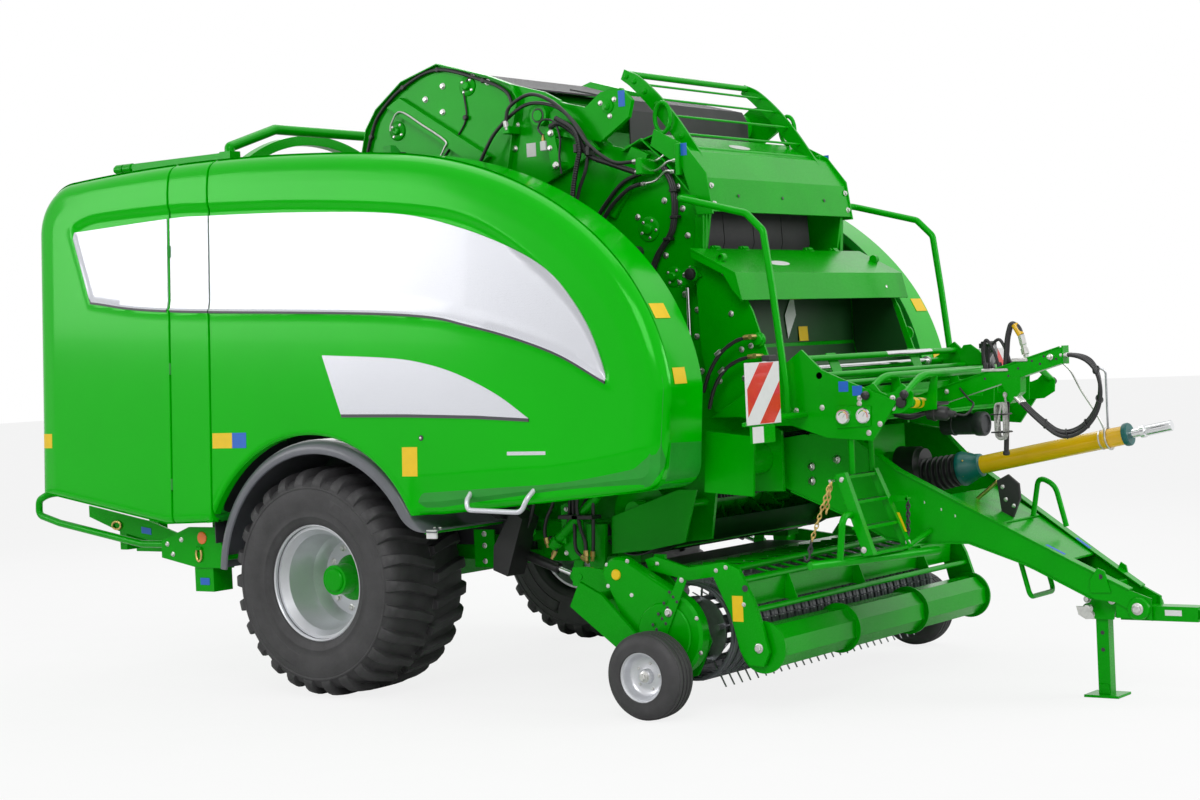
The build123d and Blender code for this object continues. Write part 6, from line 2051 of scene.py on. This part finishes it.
def ladder_dress():
    """Folded rail edges, tread holes, chains, bolts and a label on the ladder."""
    piece = Piece("ladder_fittings", "root", "paint", "zinc", "brass", "label", "dark")
    top, foot = Vector((2.800, 0, 1.105)), Vector((2.955, 0, 0.735))
    piece.use("paint")
    for y_top, y_foot, turn in ((-0.890, -0.930, -1), (-0.568, -0.548, 1)):
        line = []
        for share in (0.0, 1.0):
            spot = top.lerp(foot, share)
            y = y_top + (y_foot - y_top) * share
            line.append([at(spot.x + 0.043, y, spot.z + 0.008),
                         at(spot.x + 0.049, y, spot.z + 0.010),
                         at(spot.x + 0.049, y - turn * 0.034, spot.z + 0.010),
                         at(spot.x + 0.043, y - turn * 0.034, spot.z + 0.008)])
        piece.loft(line)
    # painted shade: near-black discs stand for the shaded tread holes
    piece.use("dark")
    for k in range(4):
        t = 0.02 + 0.31 * k
        x = top.x + 0.020 + (foot.x - top.x) * t
        z = top.z + (foot.z - top.z) * t
        for j in range(7):
            y = -0.86 + 0.043 * j
            for dx in (-0.014, 0.014):
                piece.turned(at(x + dx, y - 0.02 * t, z), (0, 0, 1), [(0.010, 0),
                             (0.010, 0.0008), (0.0, 0.0009)], 12)
    piece.use("zinc")
    for x, y, z in ((2.955, -0.930, 0.765), (2.835, -0.890, 1.080)):
        piece.bolt(at(x, y, z), (0, -1, 0), 0.011)
    piece.bolt(at(2.985, -0.562, 0.765), (0, -1, 0), 0.011)
    piece.use("label")
    piece.plate([at(2.925, -0.5685, 0.905), at(2.950, -0.5685, 0.905),
                 at(2.985, -0.5655, 0.815), at(2.960, -0.5655, 0.815)], (0, -0.0014, 0), 0.0004)
    piece.use("brass")
    chain(piece, at(2.790, -0.915, 1.075), at(2.700, -0.960, 0.800), 13, 0.0035, 0.0150)
    chain(piece, at(2.790, -0.910, 1.075), at(2.765, -0.925, 0.930), 7, 0.0035, 0.0150)
    piece.use("dark")
    chain(piece, at(2.700, -0.960, 0.802), at(2.694, -0.965, 0.755), 2, 0.0045, 0.0170)
    piece.tube(bend_line([at(2.694, -0.965, 0.765), at(2.690, -0.968, 0.722),
                          at(2.672, -0.968, 0.712), at(2.664, -0.968, 0.735)], 0.015, 4),
               0.005, 8)
    chain(piece, at(2.985, -0.545, 0.960), at(2.975, -0.540, 0.790), 9, 0.004, 0.0150)
    piece.use("zinc")
    piece.rod(2.790, 1.078, -0.888, -0.925, 0.007, 10)
    piece.use("paint")
    piece.rod(2.985, 0.968, -0.560, -0.530, 0.007, 10)
    piece.flat(-0.560, [(2.87, 0.985), (2.99, 0.985), (2.99, 0.955), (2.87, 0.955)], 0.008, 0.002)
    piece.done(slot="green_paint")


drawbar_dress()
jack_dress()
jack_leg_dress()
ladder_dress()


# ------------------------------------------------------------------ carrier arm fittings
def arm_plates(piece, y):
    """End plate, edge strips, holes, bolts and clamps of the arm."""
    piece.use("paint")
    piece.plate([at(3.690, y - 0.034, 1.566), at(3.690, y + 0.034, 1.566),
                 at(3.690, y + 0.034, 1.650), at(3.690, y - 0.034, 1.650)], (0.006, 0, 0), 0.002)
    for half in (-1, 1):
        piece.flat(y + half * 0.028, [(2.87, 1.415), (3.68, 1.642), (3.68, 1.648),
                                      (2.87, 1.421)], half * 0.006, 0.001)
    # painted shade: near-black discs stand for the shaded holes
    piece.use("dark")
    for x, z in ((3.54, 1.585), (3.58, 1.570), (3.60, 1.604), (3.47, 1.553), (3.42, 1.520),
                 (3.30, 1.510), (3.66, 1.590)):
        piece.turned(at(x, y - 0.028, z), (0, -1, 0), [(0.006, 0), (0.006, 0.0008),
                     (0.0, 0.0009)], 12)
    piece.use("zinc")
    piece.turned(at(3.635, y - 0.028, 1.600), (0, -1, 0), [(0.014, 0), (0.014, 0.010),
                 (0.010, 0.012), (0.010, 0.026), (0.0, 0.030)], 16)
    for x, z in ((3.10, 1.455), (2.93, 1.385)):
        piece.bolt(at(x, y - 0.028, z), (0, -1, 0), 0.009)
    piece.box(at(3.440, y - 0.036, 1.583), at(3.520, y + 0.036, 1.600))
    piece.box(at(3.285, y - 0.036, 1.541), at(3.420, y + 0.036, 1.556))


def arm_hoses(piece, y):
    """The hoses that rise in loops above the arm and run back to the platform."""
    piece.use("hose")
    big = bend_line([at(3.395, y, 1.556), at(3.410, y, 1.70), at(3.432, y, 1.765),
                     at(3.468, y, 1.742), at(3.484, y, 1.685)], 0.05, 6)
    piece.tube(big, 0.0135, 14)
    piece.use("yellow")
    piece.tube([at(3.448, y, 1.756), at(3.478, y, 1.706)], 0.0165, 14)
    piece.use("zinc")
    piece.turned(at(3.478, y, 1.706), (0.22, 0, -1), [(0.0165, 0), (0.017, 0.004),
                 (0.017, 0.045), (0.0145, 0.048), (0.0145, 0.062), (0.019, 0.064),
                 (0.019, 0.090), (0.013, 0.094), (0.013, 0.108)], 6)
    piece.use("hose")
    for dy, peak in ((-0.018, 0.0), (0.018, 0.045)):
        loop = soft_line([at(3.300, y + dy, 1.552), at(3.292 + peak * 0.3, y + dy, 1.640),
                          at(3.310 + peak, y + dy, 1.690), at(3.345 + peak, y + dy, 1.640),
                          at(3.372 + peak, y + dy, 1.556)], 7)
        piece.tube(loop, 0.0075, 10)
    for start, way in ((at(2.865, 0.60, 1.665), 0.0), (at(2.845, 0.66, 1.625), 0.016)):
        run = soft_line([start, at(3.02, 0.36, 1.655 - way), at(3.17, 0.06, 1.625 - way),
                         at(3.28, y + 0.09, 1.590 - way), at(3.325, y + 0.02, 1.552)], 7)
        piece.tube(run, 0.010, 10)


def arm_socket(piece, y):
    """Clips, the round socket, its cables and the capped stub."""
    piece.use("black")
    piece.box(at(2.835, 0.585, 1.560), at(2.880, 0.680, 1.680))
    for x, z, dy in ((3.30, 1.556, -0.018), (3.372, 1.556, -0.018), (3.30, 1.556, 0.018),
                     (3.417, 1.556, 0.018)):
        piece.turned(at(x, y + dy, z), (0, 0, 1), [(0.012, 0), (0.012, 0.020), (0.009, 0.028)], 10)
    piece.turned(at(3.060, -0.455, 1.366), (1, 0.05, -0.09), [(0.020, 0), (0.036, 0.006),
                 (0.036, 0.030), (0.040, 0.032), (0.040, 0.044), (0.034, 0.048), (0.034, 0.095),
                 (0.028, 0.105), (0.018, 0.112), (0.014, 0.140), (0.0, 0.142)], 26)
    piece.box(at(3.065, -0.490, 1.395), at(3.115, -0.340, 1.412))
    cable = soft_line([at(3.195, -0.449, 1.354), at(3.250, -0.44, 1.350), at(3.270, -0.40, 1.395),
                       at(3.225, -0.36, 1.420), at(3.170, y - 0.030, 1.470)], 7)
    piece.tube(cable, 0.005, 8)
    for dy, dz in ((0.0, 0.0), (0.016, -0.012), (-0.014, 0.006)):
        feed = soft_line([at(2.900, -0.50 + dy, 1.365 + dz), at(2.98, -0.49 + dy, 1.350 + dz),
                          at(3.062, -0.457 + dy * 0.4, 1.366 + dz * 0.4)], 6)
        piece.tube(feed, 0.006, 8)
    piece.tube([at(3.395, y, 1.400), at(3.380, y, 1.165)], 0.012, 12)
    piece.turned(at(3.380, y, 1.172), (0, 0, -1), [(0.012, 0), (0.016, 0.004), (0.016, 0.018),
                 (0.010, 0.022), (0.0, 0.023)], 16)


def document_tube(piece):
    """The tube for documents and its bracket."""
    piece.use("dark")
    tube = [(0.0, 0.0), (0.052, 0.002), (0.054, 0.010), (0.054, 0.060), (0.058, 0.062),
            (0.058, 0.070), (0.054, 0.072), (0.054, 0.185), (0.060, 0.188), (0.062, 0.200),
            (0.062, 0.232), (0.057, 0.240), (0.046, 0.241), (0.044, 0.232), (0.0, 0.232)]
    piece.turned(at(2.700, 0.400, 1.268), (1, 0.0, 0.0), tube, 36)
    piece.use("paint")
    piece.flat(0.40, [(2.76, 1.340), (2.86, 1.340), (2.86, 1.312), (2.76, 1.312)], 0.012, 0.002)


def shaft_hook(piece, y):
    """The rod and ring that hold the propshaft up."""
    piece.use("zinc")
    hook = soft_line([at(3.660, y + 0.030, 1.575), at(3.685, y + 0.07, 1.530),
                      at(3.705, y + 0.13, 1.440), at(3.735, y + 0.205, 1.340),
                      at(3.757, -0.058, 1.262), at(3.760, -0.052, 1.215)], 7)
    piece.tube(hook, 0.0048, 8)
    centre = on_pto(0.905)
    side = PTO_ALONG.orthogonal().normalized()
    other = PTO_ALONG.cross(side)
    ring = [centre + (side * math.cos(a) + other * math.sin(a)) * 0.0525 for a in angles(28)]
    piece.tube(ring, 0.0048, 8, closed=True)


def arm_dress():
    """Fittings, hoses, socket, document tube and the hook that holds the propshaft."""
    piece = Piece("arm_fittings", "root", "paint", "zinc", "hose", "yellow", "black", "dark")
    y = -HOSE_Y
    arm_plates(piece, y)
    arm_hoses(piece, y)
    arm_socket(piece, y)
    document_tube(piece)
    shaft_hook(piece, y)
    piece.done(slot="green_paint")


ROPE_R = 0.005


def rope_hank():
    """A spare rope wound in long turns on the carrier's stay and tied twice."""
    top, foot, half = 1.395, 1.235, 0.020
    route = [at(3.402, -HOSE_Y - 0.036, 1.430), at(3.402, -HOSE_Y - 0.036, 1.412)]
    turns = 5
    for k in range(turns):
        y = -HOSE_Y - 0.034 - 0.0105 * k
        wide = half + 0.0015 * (k % 3)
        low = foot - 0.006 * (k % 2)
        for x, z in ((wide, top - 0.02), (wide, (top + low) / 2), (wide, low + 0.02),
                     (wide * 0.7, low), (-wide * 0.7, low), (-wide, low + 0.02),
                     (-wide, (top + low) / 2), (-wide, top - 0.02), (-wide * 0.7, top),
                     (wide * 0.7, top)):
            route.append(at(3.388 + x, y, z))
    route.append(at(3.395, -HOSE_Y - 0.090, top - 0.05))
    route.append(at(3.385, -HOSE_Y - 0.094, top - 0.10))
    rope = cord_curve("spare_rope", route, ROPE_R, "rope")
    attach(rope, "root")
    points = spline_points(rope)
    ties = Piece("rope_ties", "root", "black", "rope", "zinc")
    ties.use("black")
    for z in (1.345, 1.262):
        corners = [at(3.388 + dx, -HOSE_Y + dy, z) for dx, dy in
                   ((-0.034, -0.016), (-0.034, -0.092), (0.034, -0.092), (0.034, -0.016),
                    (0.016, 0.014), (-0.024, 0.014))]
        ties.tube(corners, 0.0035, 6, closed=True)
    ties.use("rope")
    ties.turned(route[-1], (0, 0, -1), [(0.004, -0.012), (0.010, -0.004), (0.011, 0.004),
                (0.005, 0.012), (0.006, 0.020), (0.003, 0.028)], 12)
    ties.turned(route[0], (0, 0, 1), [(0.006, -0.010), (0.0105, 0.0), (0.010, 0.010),
                (0.004, 0.016)], 12)
    ties.use("zinc")
    ties.rod(3.402, 1.432, -HOSE_Y - 0.026, -HOSE_Y - 0.046, 0.005, 8)
    ties.done(slot="hose_rubber")


arm_dress()
rope_hank()


# ------------------------------------------------------------------ guard arcs and belts
ARC_LINE = ((1.503, 3.128), (1.592, 3.082), (1.708, 2.976), (1.820, 2.842), (1.925, 2.690),
            (1.990, 2.590))


def guard_arcs():
    """The curved side plates and rods of the guard over the net hood."""
    line = [Vector((x, 0, z)) for x, z in ARC_LINE]
    outer = soft_line(line, 8)
    inner = []
    for i, p in enumerate(outer):
        run = (outer[min(i + 1, len(outer) - 1)] - outer[max(i - 1, 0)]).normalized()
        share = i / (len(outer) - 1)
        wide = 0.030 + 0.050 * math.sin(math.pi * min(1.0, 0.12 + share * 0.80)) ** 0.8
        inner.append(p + Vector((run.z, 0, -run.x)) * wide)
    piece = Piece("guard_arc_plates", "root", "paint")
    for sign in (-1, 1):
        a, b = sign * 0.558, sign * 0.572
        rings = []
        for p, q in zip(outer, inner):
            ring = [at(p.x, a, p.z), at(p.x, b, p.z), at(q.x, b, q.z), at(q.x, a, q.z)]
            rings.append(ring)
        piece.loft(rings)
        for k in range(2, len(outer) - 6, 5):
            spot = outer[k].lerp(inner[k], 0.5)
            piece.turned(at(spot.x, b, spot.z), (0, sign, 0), [(0.014, 0), (0.013, 0.005),
                         (0.0, 0.009)], 14)
    for x, z, r in ((1.515, 3.105, 0.016), (1.605, 3.043, 0.006), (1.690, 2.962, 0.006),
                    (1.765, 2.872, 0.006), (1.835, 2.775, 0.006), (1.885, 2.700, 0.010)):
        piece.rod(x, z, -0.562, 0.562, r, 12)
    piece.done(slot="green_paint", stands_for=["net_guard"])


def inner_belts():
    """The belts seen through the opening under the hood and the box below it, whose very dark green
    plates and rods are painted shade.
    """
    piece = Piece("inner_belts", "root", "belt", "painted_shade")
    piece.use("belt")
    for k in range(4):
        y0 = -0.560 + 0.2815 * k
        spots = ((1.560, 2.700), (1.780, 2.600), (1.860, 2.450), (1.870, 2.240), (1.800, 2.050))
        rings = []
        for x, z in spots:
            rings.append([at(x, y0, z), at(x, y0 + 0.2755, z), at(x - 0.006, y0 + 0.2755, z - 0.003),
                          at(x - 0.006, y0, z - 0.003)])
        piece.loft(rings)
    # painted shade: very dark green plates, sides and rods fill the shaded inside of the net box
    piece.use("painted_shade")
    piece.plate([at(2.016, -0.722, 1.72), at(2.016, 0.722, 1.72), at(2.006, 0.722, 2.13),
                 at(2.006, -0.722, 2.13)], (0.003, 0, 0), 0.001)
    piece.plate([at(2.074, -0.722, 1.412), at(2.074, 0.722, 1.412), at(2.018, 0.722, 1.70),
                 at(2.018, -0.722, 1.70)], (0.003, 0, 0.0005), 0.001)
    for sign in (-1, 1):
        piece.flat(sign * 0.726, [(2.02, 2.12), (2.22, 2.02), (2.26, 1.92), (2.40, 1.48),
                                  (2.09, 1.43), (2.02, 1.72)], -sign * 0.002, 0.0005)
    piece.rod(2.13, 1.56, -0.725, 0.725, 0.050, 24)
    piece.rod(2.26, 1.60, -0.725, 0.725, 0.022, 20)
    piece.done(slot="belt_rubber")


guard_arcs()
inner_belts()


# ------------------------------------------------------------------ mudguards
MUDGUARD_X, MUDGUARD_Z, MUDGUARD_R, MUDGUARD_Y = 0.050, 0.600, 0.735, 1.430
# section: depth under the crown, distance in from the outer edge
MUDGUARD_SKIN = ((0.074, 0.009), (0.070, 0.001), (0.050, 0.0), (0.032, 0.004), (0.016, 0.015),
                 (0.005, 0.034), (0.0, 0.062), (0.0, 0.570))
MUDGUARD_BACK = ((0.008, 0.570), (0.008, 0.064), (0.013, 0.041), (0.023, 0.022), (0.036, 0.012),
                 (0.052, 0.008), (0.070, 0.009))


def mudguard_path():
    """Crown points, outward normals and the lip's share of depth, rear to front."""
    middle = Vector((MUDGUARD_X, MUDGUARD_Z))
    path = []
    for k in range(57):
        a = math.radians(175.3 + (32.0 - 175.3) * k / 56)
        out = Vector((math.cos(a), math.sin(a)))
        path.append((middle + out * MUDGUARD_R, out, 1.0))
    start, bend, end = path[-1][0], Vector((0.739, 0.884)), Vector((0.800, 0.884))
    for k in range(1, 15):
        t = k / 14
        spot = start * (1 - t) ** 2 + bend * 2 * t * (1 - t) + end * t ** 2
        run = ((bend - start) * (1 - t) + (end - bend) * t).normalized()
        path.append((spot, Vector((-run.y, run.x)), 1.0 - 0.85 * smooth(t)))
    path.append((Vector((0.850, 0.884)), Vector((0.0, 1.0)), 0.15))
    return path


def mudguards():
    """Rounded mudguards with their stays, end bolts and a blank plate."""
    piece = Piece("mudguard_shells", "root", "fender", "paint", "zinc", "white")
    rings = []
    for spot, out, share in mudguard_path():
        ring = []
        for depth, inward in MUDGUARD_SKIN + MUDGUARD_BACK:
            drop = min(depth, 0.008) + max(0.0, depth - 0.008) * float(share)
            ring.append(at(spot.x - out.x * drop, inward - MUDGUARD_Y, spot.y - out.y * drop))
        rings.append(ring)
    piece.loft(rings)
    piece.use("paint")
    piece.rod(-0.654, 0.713, -1.400, -0.740, 0.014)
    piece.rod(0.765, 0.868, -1.400, -0.700, 0.014)
    piece.use("zinc")
    for x in (0.795, 0.832):
        piece.bolt(at(x, -1.372, 0.884), (0, 0, 1), 0.007)
    piece.use("white")
    piece.box(at(0.782, -1.424, 0.836), at(0.846, -1.410, 0.880), 0.002)
    piece.mirror()
    piece.done(angle=40, slot="fender_grey", stands_for=["fenders"])


# ------------------------------------------------------------------ seams, undersides and rear
def seam_flanges():
    """A flange behind each seam, held by the fixed strip; its very dark green is painted shade in
    the seam's gap.
    """
    for side, sign in SIDES:
        # painted shade: the flange's very dark green stands for the shade in the seam's gap
        piece = Piece(f"seam_flanges_{side}", "root", "painted_shade")
        for seam, inward in ((SEAMS[0], 1), (SEAMS[1], -1)):
            near, far = seam - inward * 0.004, seam + inward * 0.014
            low, high = cover_foot(seam) + 0.02, cover_top(seam) - 0.05
            spots = [(seam, low + (high - low) * k / 40) for k in range(41)]
            rings = [[at(near, sign * (y - 0.024), z), at(far, sign * (y - 0.024), z),
                      at(far, sign * (y - 0.036), z), at(near, sign * (y - 0.036), z)]
                     for (_, z), y in zip(spots, cover_depth(spots))]
            piece.loft(rings)
        piece.done(slot="dark_green")


def rotor_trough():
    """The trough under the rotor, the pan behind it and the pickup's rear deck, in a very dark green
    that is painted shade.
    """
    # painted shade: very dark green for the shaded trough and pan under the rotor
    piece = Piece("rotor_trough", "root", "painted_shade")
    outer = circle_run(ROTOR_X, ROTOR_Z, 0.226, 250, 110, 18)
    inner = circle_run(ROTOR_X, ROTOR_Z, 0.220, 250, 110, 18)
    piece.loft([[at(x, -0.656, z), at(x, 0.656, z), at(u, 0.656, w), at(u, -0.656, w)]
                for (x, z), (u, w) in zip(outer, inner)])
    piece.plate([at(1.600, -0.700, 0.702), at(1.600, 0.700, 0.702), at(1.050, 0.700, 0.668),
                 at(1.050, -0.700, 0.668)], (0, 0, 0.005), 0.001)
    piece.done(slot="dark_green")
    # painted shade: the deck under the rotor is very dark green
    deck = Piece("pickup_rear_deck", "pickup", "painted_shade")
    deck.plate([at(1.770, -0.630, 0.638), at(1.770, 0.630, 0.638), at(1.480, 0.630, 0.638),
                at(1.480, -0.630, 0.638)], (0, 0, 0.005), 0.001)
    deck.done(slot="dark_green")


def hose_brackets(piece):
    """Brackets, pipes and the small cylinder."""
    piece.use("paint")
    piece.flat(-0.900, [(0.665, 0.640), (0.800, 0.640), (0.800, 0.835),
                        (0.665, 0.835)], -0.012, 0.003)
    piece.box(at(0.700, -0.902, 0.700), at(0.765, -0.755, 0.800))
    piece.flat(-0.880, [(0.925, 0.940), (0.975, 0.965), (1.030, 0.920), (1.050, 0.820),
                        (1.000, 0.760), (0.940, 0.780)], -0.010, 0.003)
    piece.box(at(0.965, -0.882, 0.775), at(1.010, -0.755, 0.820))
    piece.flat(-0.880, [(1.215, 0.960), (1.300, 0.985), (1.350, 0.900), (1.350, 0.700),
                        (1.270, 0.680), (1.215, 0.760)], -0.010, 0.003)
    piece.box(at(1.250, -0.882, 0.720), at(1.310, -0.755, 0.780))
    piece.tube([at(1.205, -0.915, 0.785), at(1.470, -0.915, 1.010)], 0.024, 18)
    piece.turned(at(1.215, -0.915, 0.790), (-0.76, 0, -0.65), [(0.034, 0), (0.034, 0.03),
                 (0.026, 0.036), (0.026, 0.055)], 18)
    piece.box(at(1.225, -0.918, 0.770), at(1.262, -0.876, 0.810))
    piece.use("black")
    piece.tube([at(0.985, -0.870, 0.700), at(1.175, -0.870, 0.640)], 0.027, 18)
    piece.use("paint")
    piece.turned(at(0.975, -0.870, 0.703), (-0.95, 0, 0.30), [(0.034, -0.012), (0.034, 0.016),
                 (0.020, 0.022), (0.020, 0.040)], 18)
    piece.box(at(0.955, -0.884, 0.690), at(0.995, -0.755, 0.725))
    piece.use("chrome")
    piece.tube([at(1.175, -0.870, 0.640), at(1.270, -0.870, 0.610)], 0.014, 14)
    piece.use("paint")
    piece.turned(at(1.285, -0.896, 0.605), (0, 1, 0), [(0.026, 0), (0.026, 0.052)], 18)
    piece.flat(-0.862, [(1.250, 0.600), (1.310, 0.585), (1.330, 0.720),
                        (1.270, 0.720)], 0.012, 0.002)


def hose_runs(piece):
    """Seven hoses with their fittings, clips and bolts."""
    piece.use("hose")
    runs = (((1.150, 0.796), (1.200, 0.800), (1.255, 0.850), (1.365, 0.955), (1.420, 1.060)),
            ((1.330, 1.080), (1.322, 0.950), (1.325, 0.845), (1.328, 0.745), (1.375, 0.700)),
            ((1.385, 1.080), (1.360, 0.960), (1.375, 0.860), (1.400, 0.790), (1.405, 0.725)),
            ((1.290, 1.080), (1.285, 0.960), (1.270, 0.870), (1.225, 0.800), (1.175, 0.720)),
            ((1.455, 1.090), (1.445, 0.960), (1.440, 0.850), (1.435, 0.760), (1.430, 0.720)),
            ((1.110, 1.070), (1.090, 0.960), (1.060, 0.880), (1.030, 0.840), (1.000, 0.830)),
            ((1.200, 1.080), (1.180, 0.970), (1.140, 0.900), (1.120, 0.830), (1.130, 0.780)))
    for k, spots in enumerate(runs):
        y = -0.905 - 0.022 * (k % 3)
        line = soft_line([(x, y, z) for x, z in spots], 7)
        piece.use("hose")
        piece.tube([at(*p) for p in line], 0.0095, 9)
        piece.use("brass")
        tip, before = line[-1], line[-2]
        piece.turned(at(*tip), tip - before, [(0.013, -0.016), (0.013, 0.012), (0.009, 0.014),
                                             (0.009, 0.034)], 6)
    piece.use("black")
    for x, z in ((1.300, 0.905), (1.385, 0.905)):
        piece.box(at(x - 0.050, -0.965, z - 0.010), at(x + 0.075, -0.880, z + 0.010))
    piece.use("zinc")
    bolts_on(piece, -0.912, -1, ((0.735, 0.672), (0.735, 0.752), (0.735, 0.812)), 0.011)
    bolts_on(piece, -0.890, -1, ((0.985, 0.930), (1.025, 0.840), (1.250, 0.940), (1.325, 0.930),
                                 (1.240, 0.720)), 0.009)


def side_hoses():
    """Hoses, pipes, a bracket and fittings under the covers' foot."""
    piece = Piece("side_hoses", "root", "hose", "brass", "paint", "zinc", "black", "chrome")
    hose_brackets(piece)
    hose_runs(piece)
    piece.mirror()
    piece.done(slot="hose_rubber")


def oval_ring(piece, x, z, y, wide, high, wire):
    """A closed oval ring in a plane across Y."""
    spots = [at(x + wide * math.sin(a), y, z + high * math.cos(a))
             for a in angles(20)]
    piece.tube(spots, wire, 8, closed=True)


def rear_dress():
    """Reflector, tie rings, blank plates and the arm under the rear doors."""
    piece = Piece("rear_fittings", "root", "paint", "orange", "brass", "blue", "zinc")
    piece.use("orange")
    piece.turned(at(-0.880, -1.331, 0.812), (0, -1, 0), [(0.034, 0), (0.034, 0.005),
                 (0.030, 0.008), (0.0, 0.009)], 28)
    piece.use("brass")
    oval_ring(piece, -0.905, 0.722, -1.338, 0.020, 0.036, 0.0065)
    piece.use("paint")
    piece.box(at(-0.925, -1.346, 0.744), at(-0.885, -1.330, 0.764), 0.003)
    piece.use("zinc")
    bolts_on(piece, -1.332, -1, ((-1.040, 0.800), (-1.110, 0.720), (-1.150, 0.775)), 0.010)
    piece.use("blue")
    piece.flat(-1.3205, [(-0.920, 0.556), (-0.850, 0.556), (-0.850, 0.594),
                         (-0.920, 0.594)], -0.002, 0.0004)
    piece.use("paint")
    piece.flat(-1.000, [(-2.140, 0.955), (-2.140, 0.890), (-1.900, 0.810), (-1.620, 0.752),
                        (-1.400, 0.752), (-1.400, 0.800), (-1.620, 0.866)], -0.014, 0.003)
    piece.box(at(-1.900, -1.002, 0.700), at(-1.840, -0.755, 0.812))
    piece.box(at(-1.560, -1.002, 0.690), at(-1.500, -0.755, 0.790))
    piece.use("brass")
    oval_ring(piece, -1.900, 0.842, -1.022, 0.036, 0.022, 0.0065)
    piece.use("blue")
    piece.flat(-1.0145, [(-1.700, 0.800), (-1.620, 0.790), (-1.620, 0.826),
                         (-1.700, 0.836)], -0.002, 0.0004)
    piece.mirror()
    piece.done(slot="green_paint")


mudguards()
seam_flanges()
rotor_trough()
side_hoses()
rear_dress()


def arch_liners():
    """Near-black panels inside and behind each wheel arch, as painted shade."""
    # painted shade: near-black panels stand for the shade inside the wheel arches
    piece = Piece("arch_liners", "root", "dark")
    piece.box(at(-0.726, -1.385, 0.790), at(-0.720, -0.652, 1.420), 0.001)
    piece.box(at(-0.724, -0.806, 0.745), at(0.980, -0.800, 1.400), 0.001)
    piece.box(at(-0.640, -0.803, 0.680), at(-0.560, -0.757, 0.760))
    piece.box(at(0.500, -0.803, 0.780), at(0.560, -0.757, 0.860))
    piece.mirror()
    piece.done(slot="dark_grey")


arch_liners()
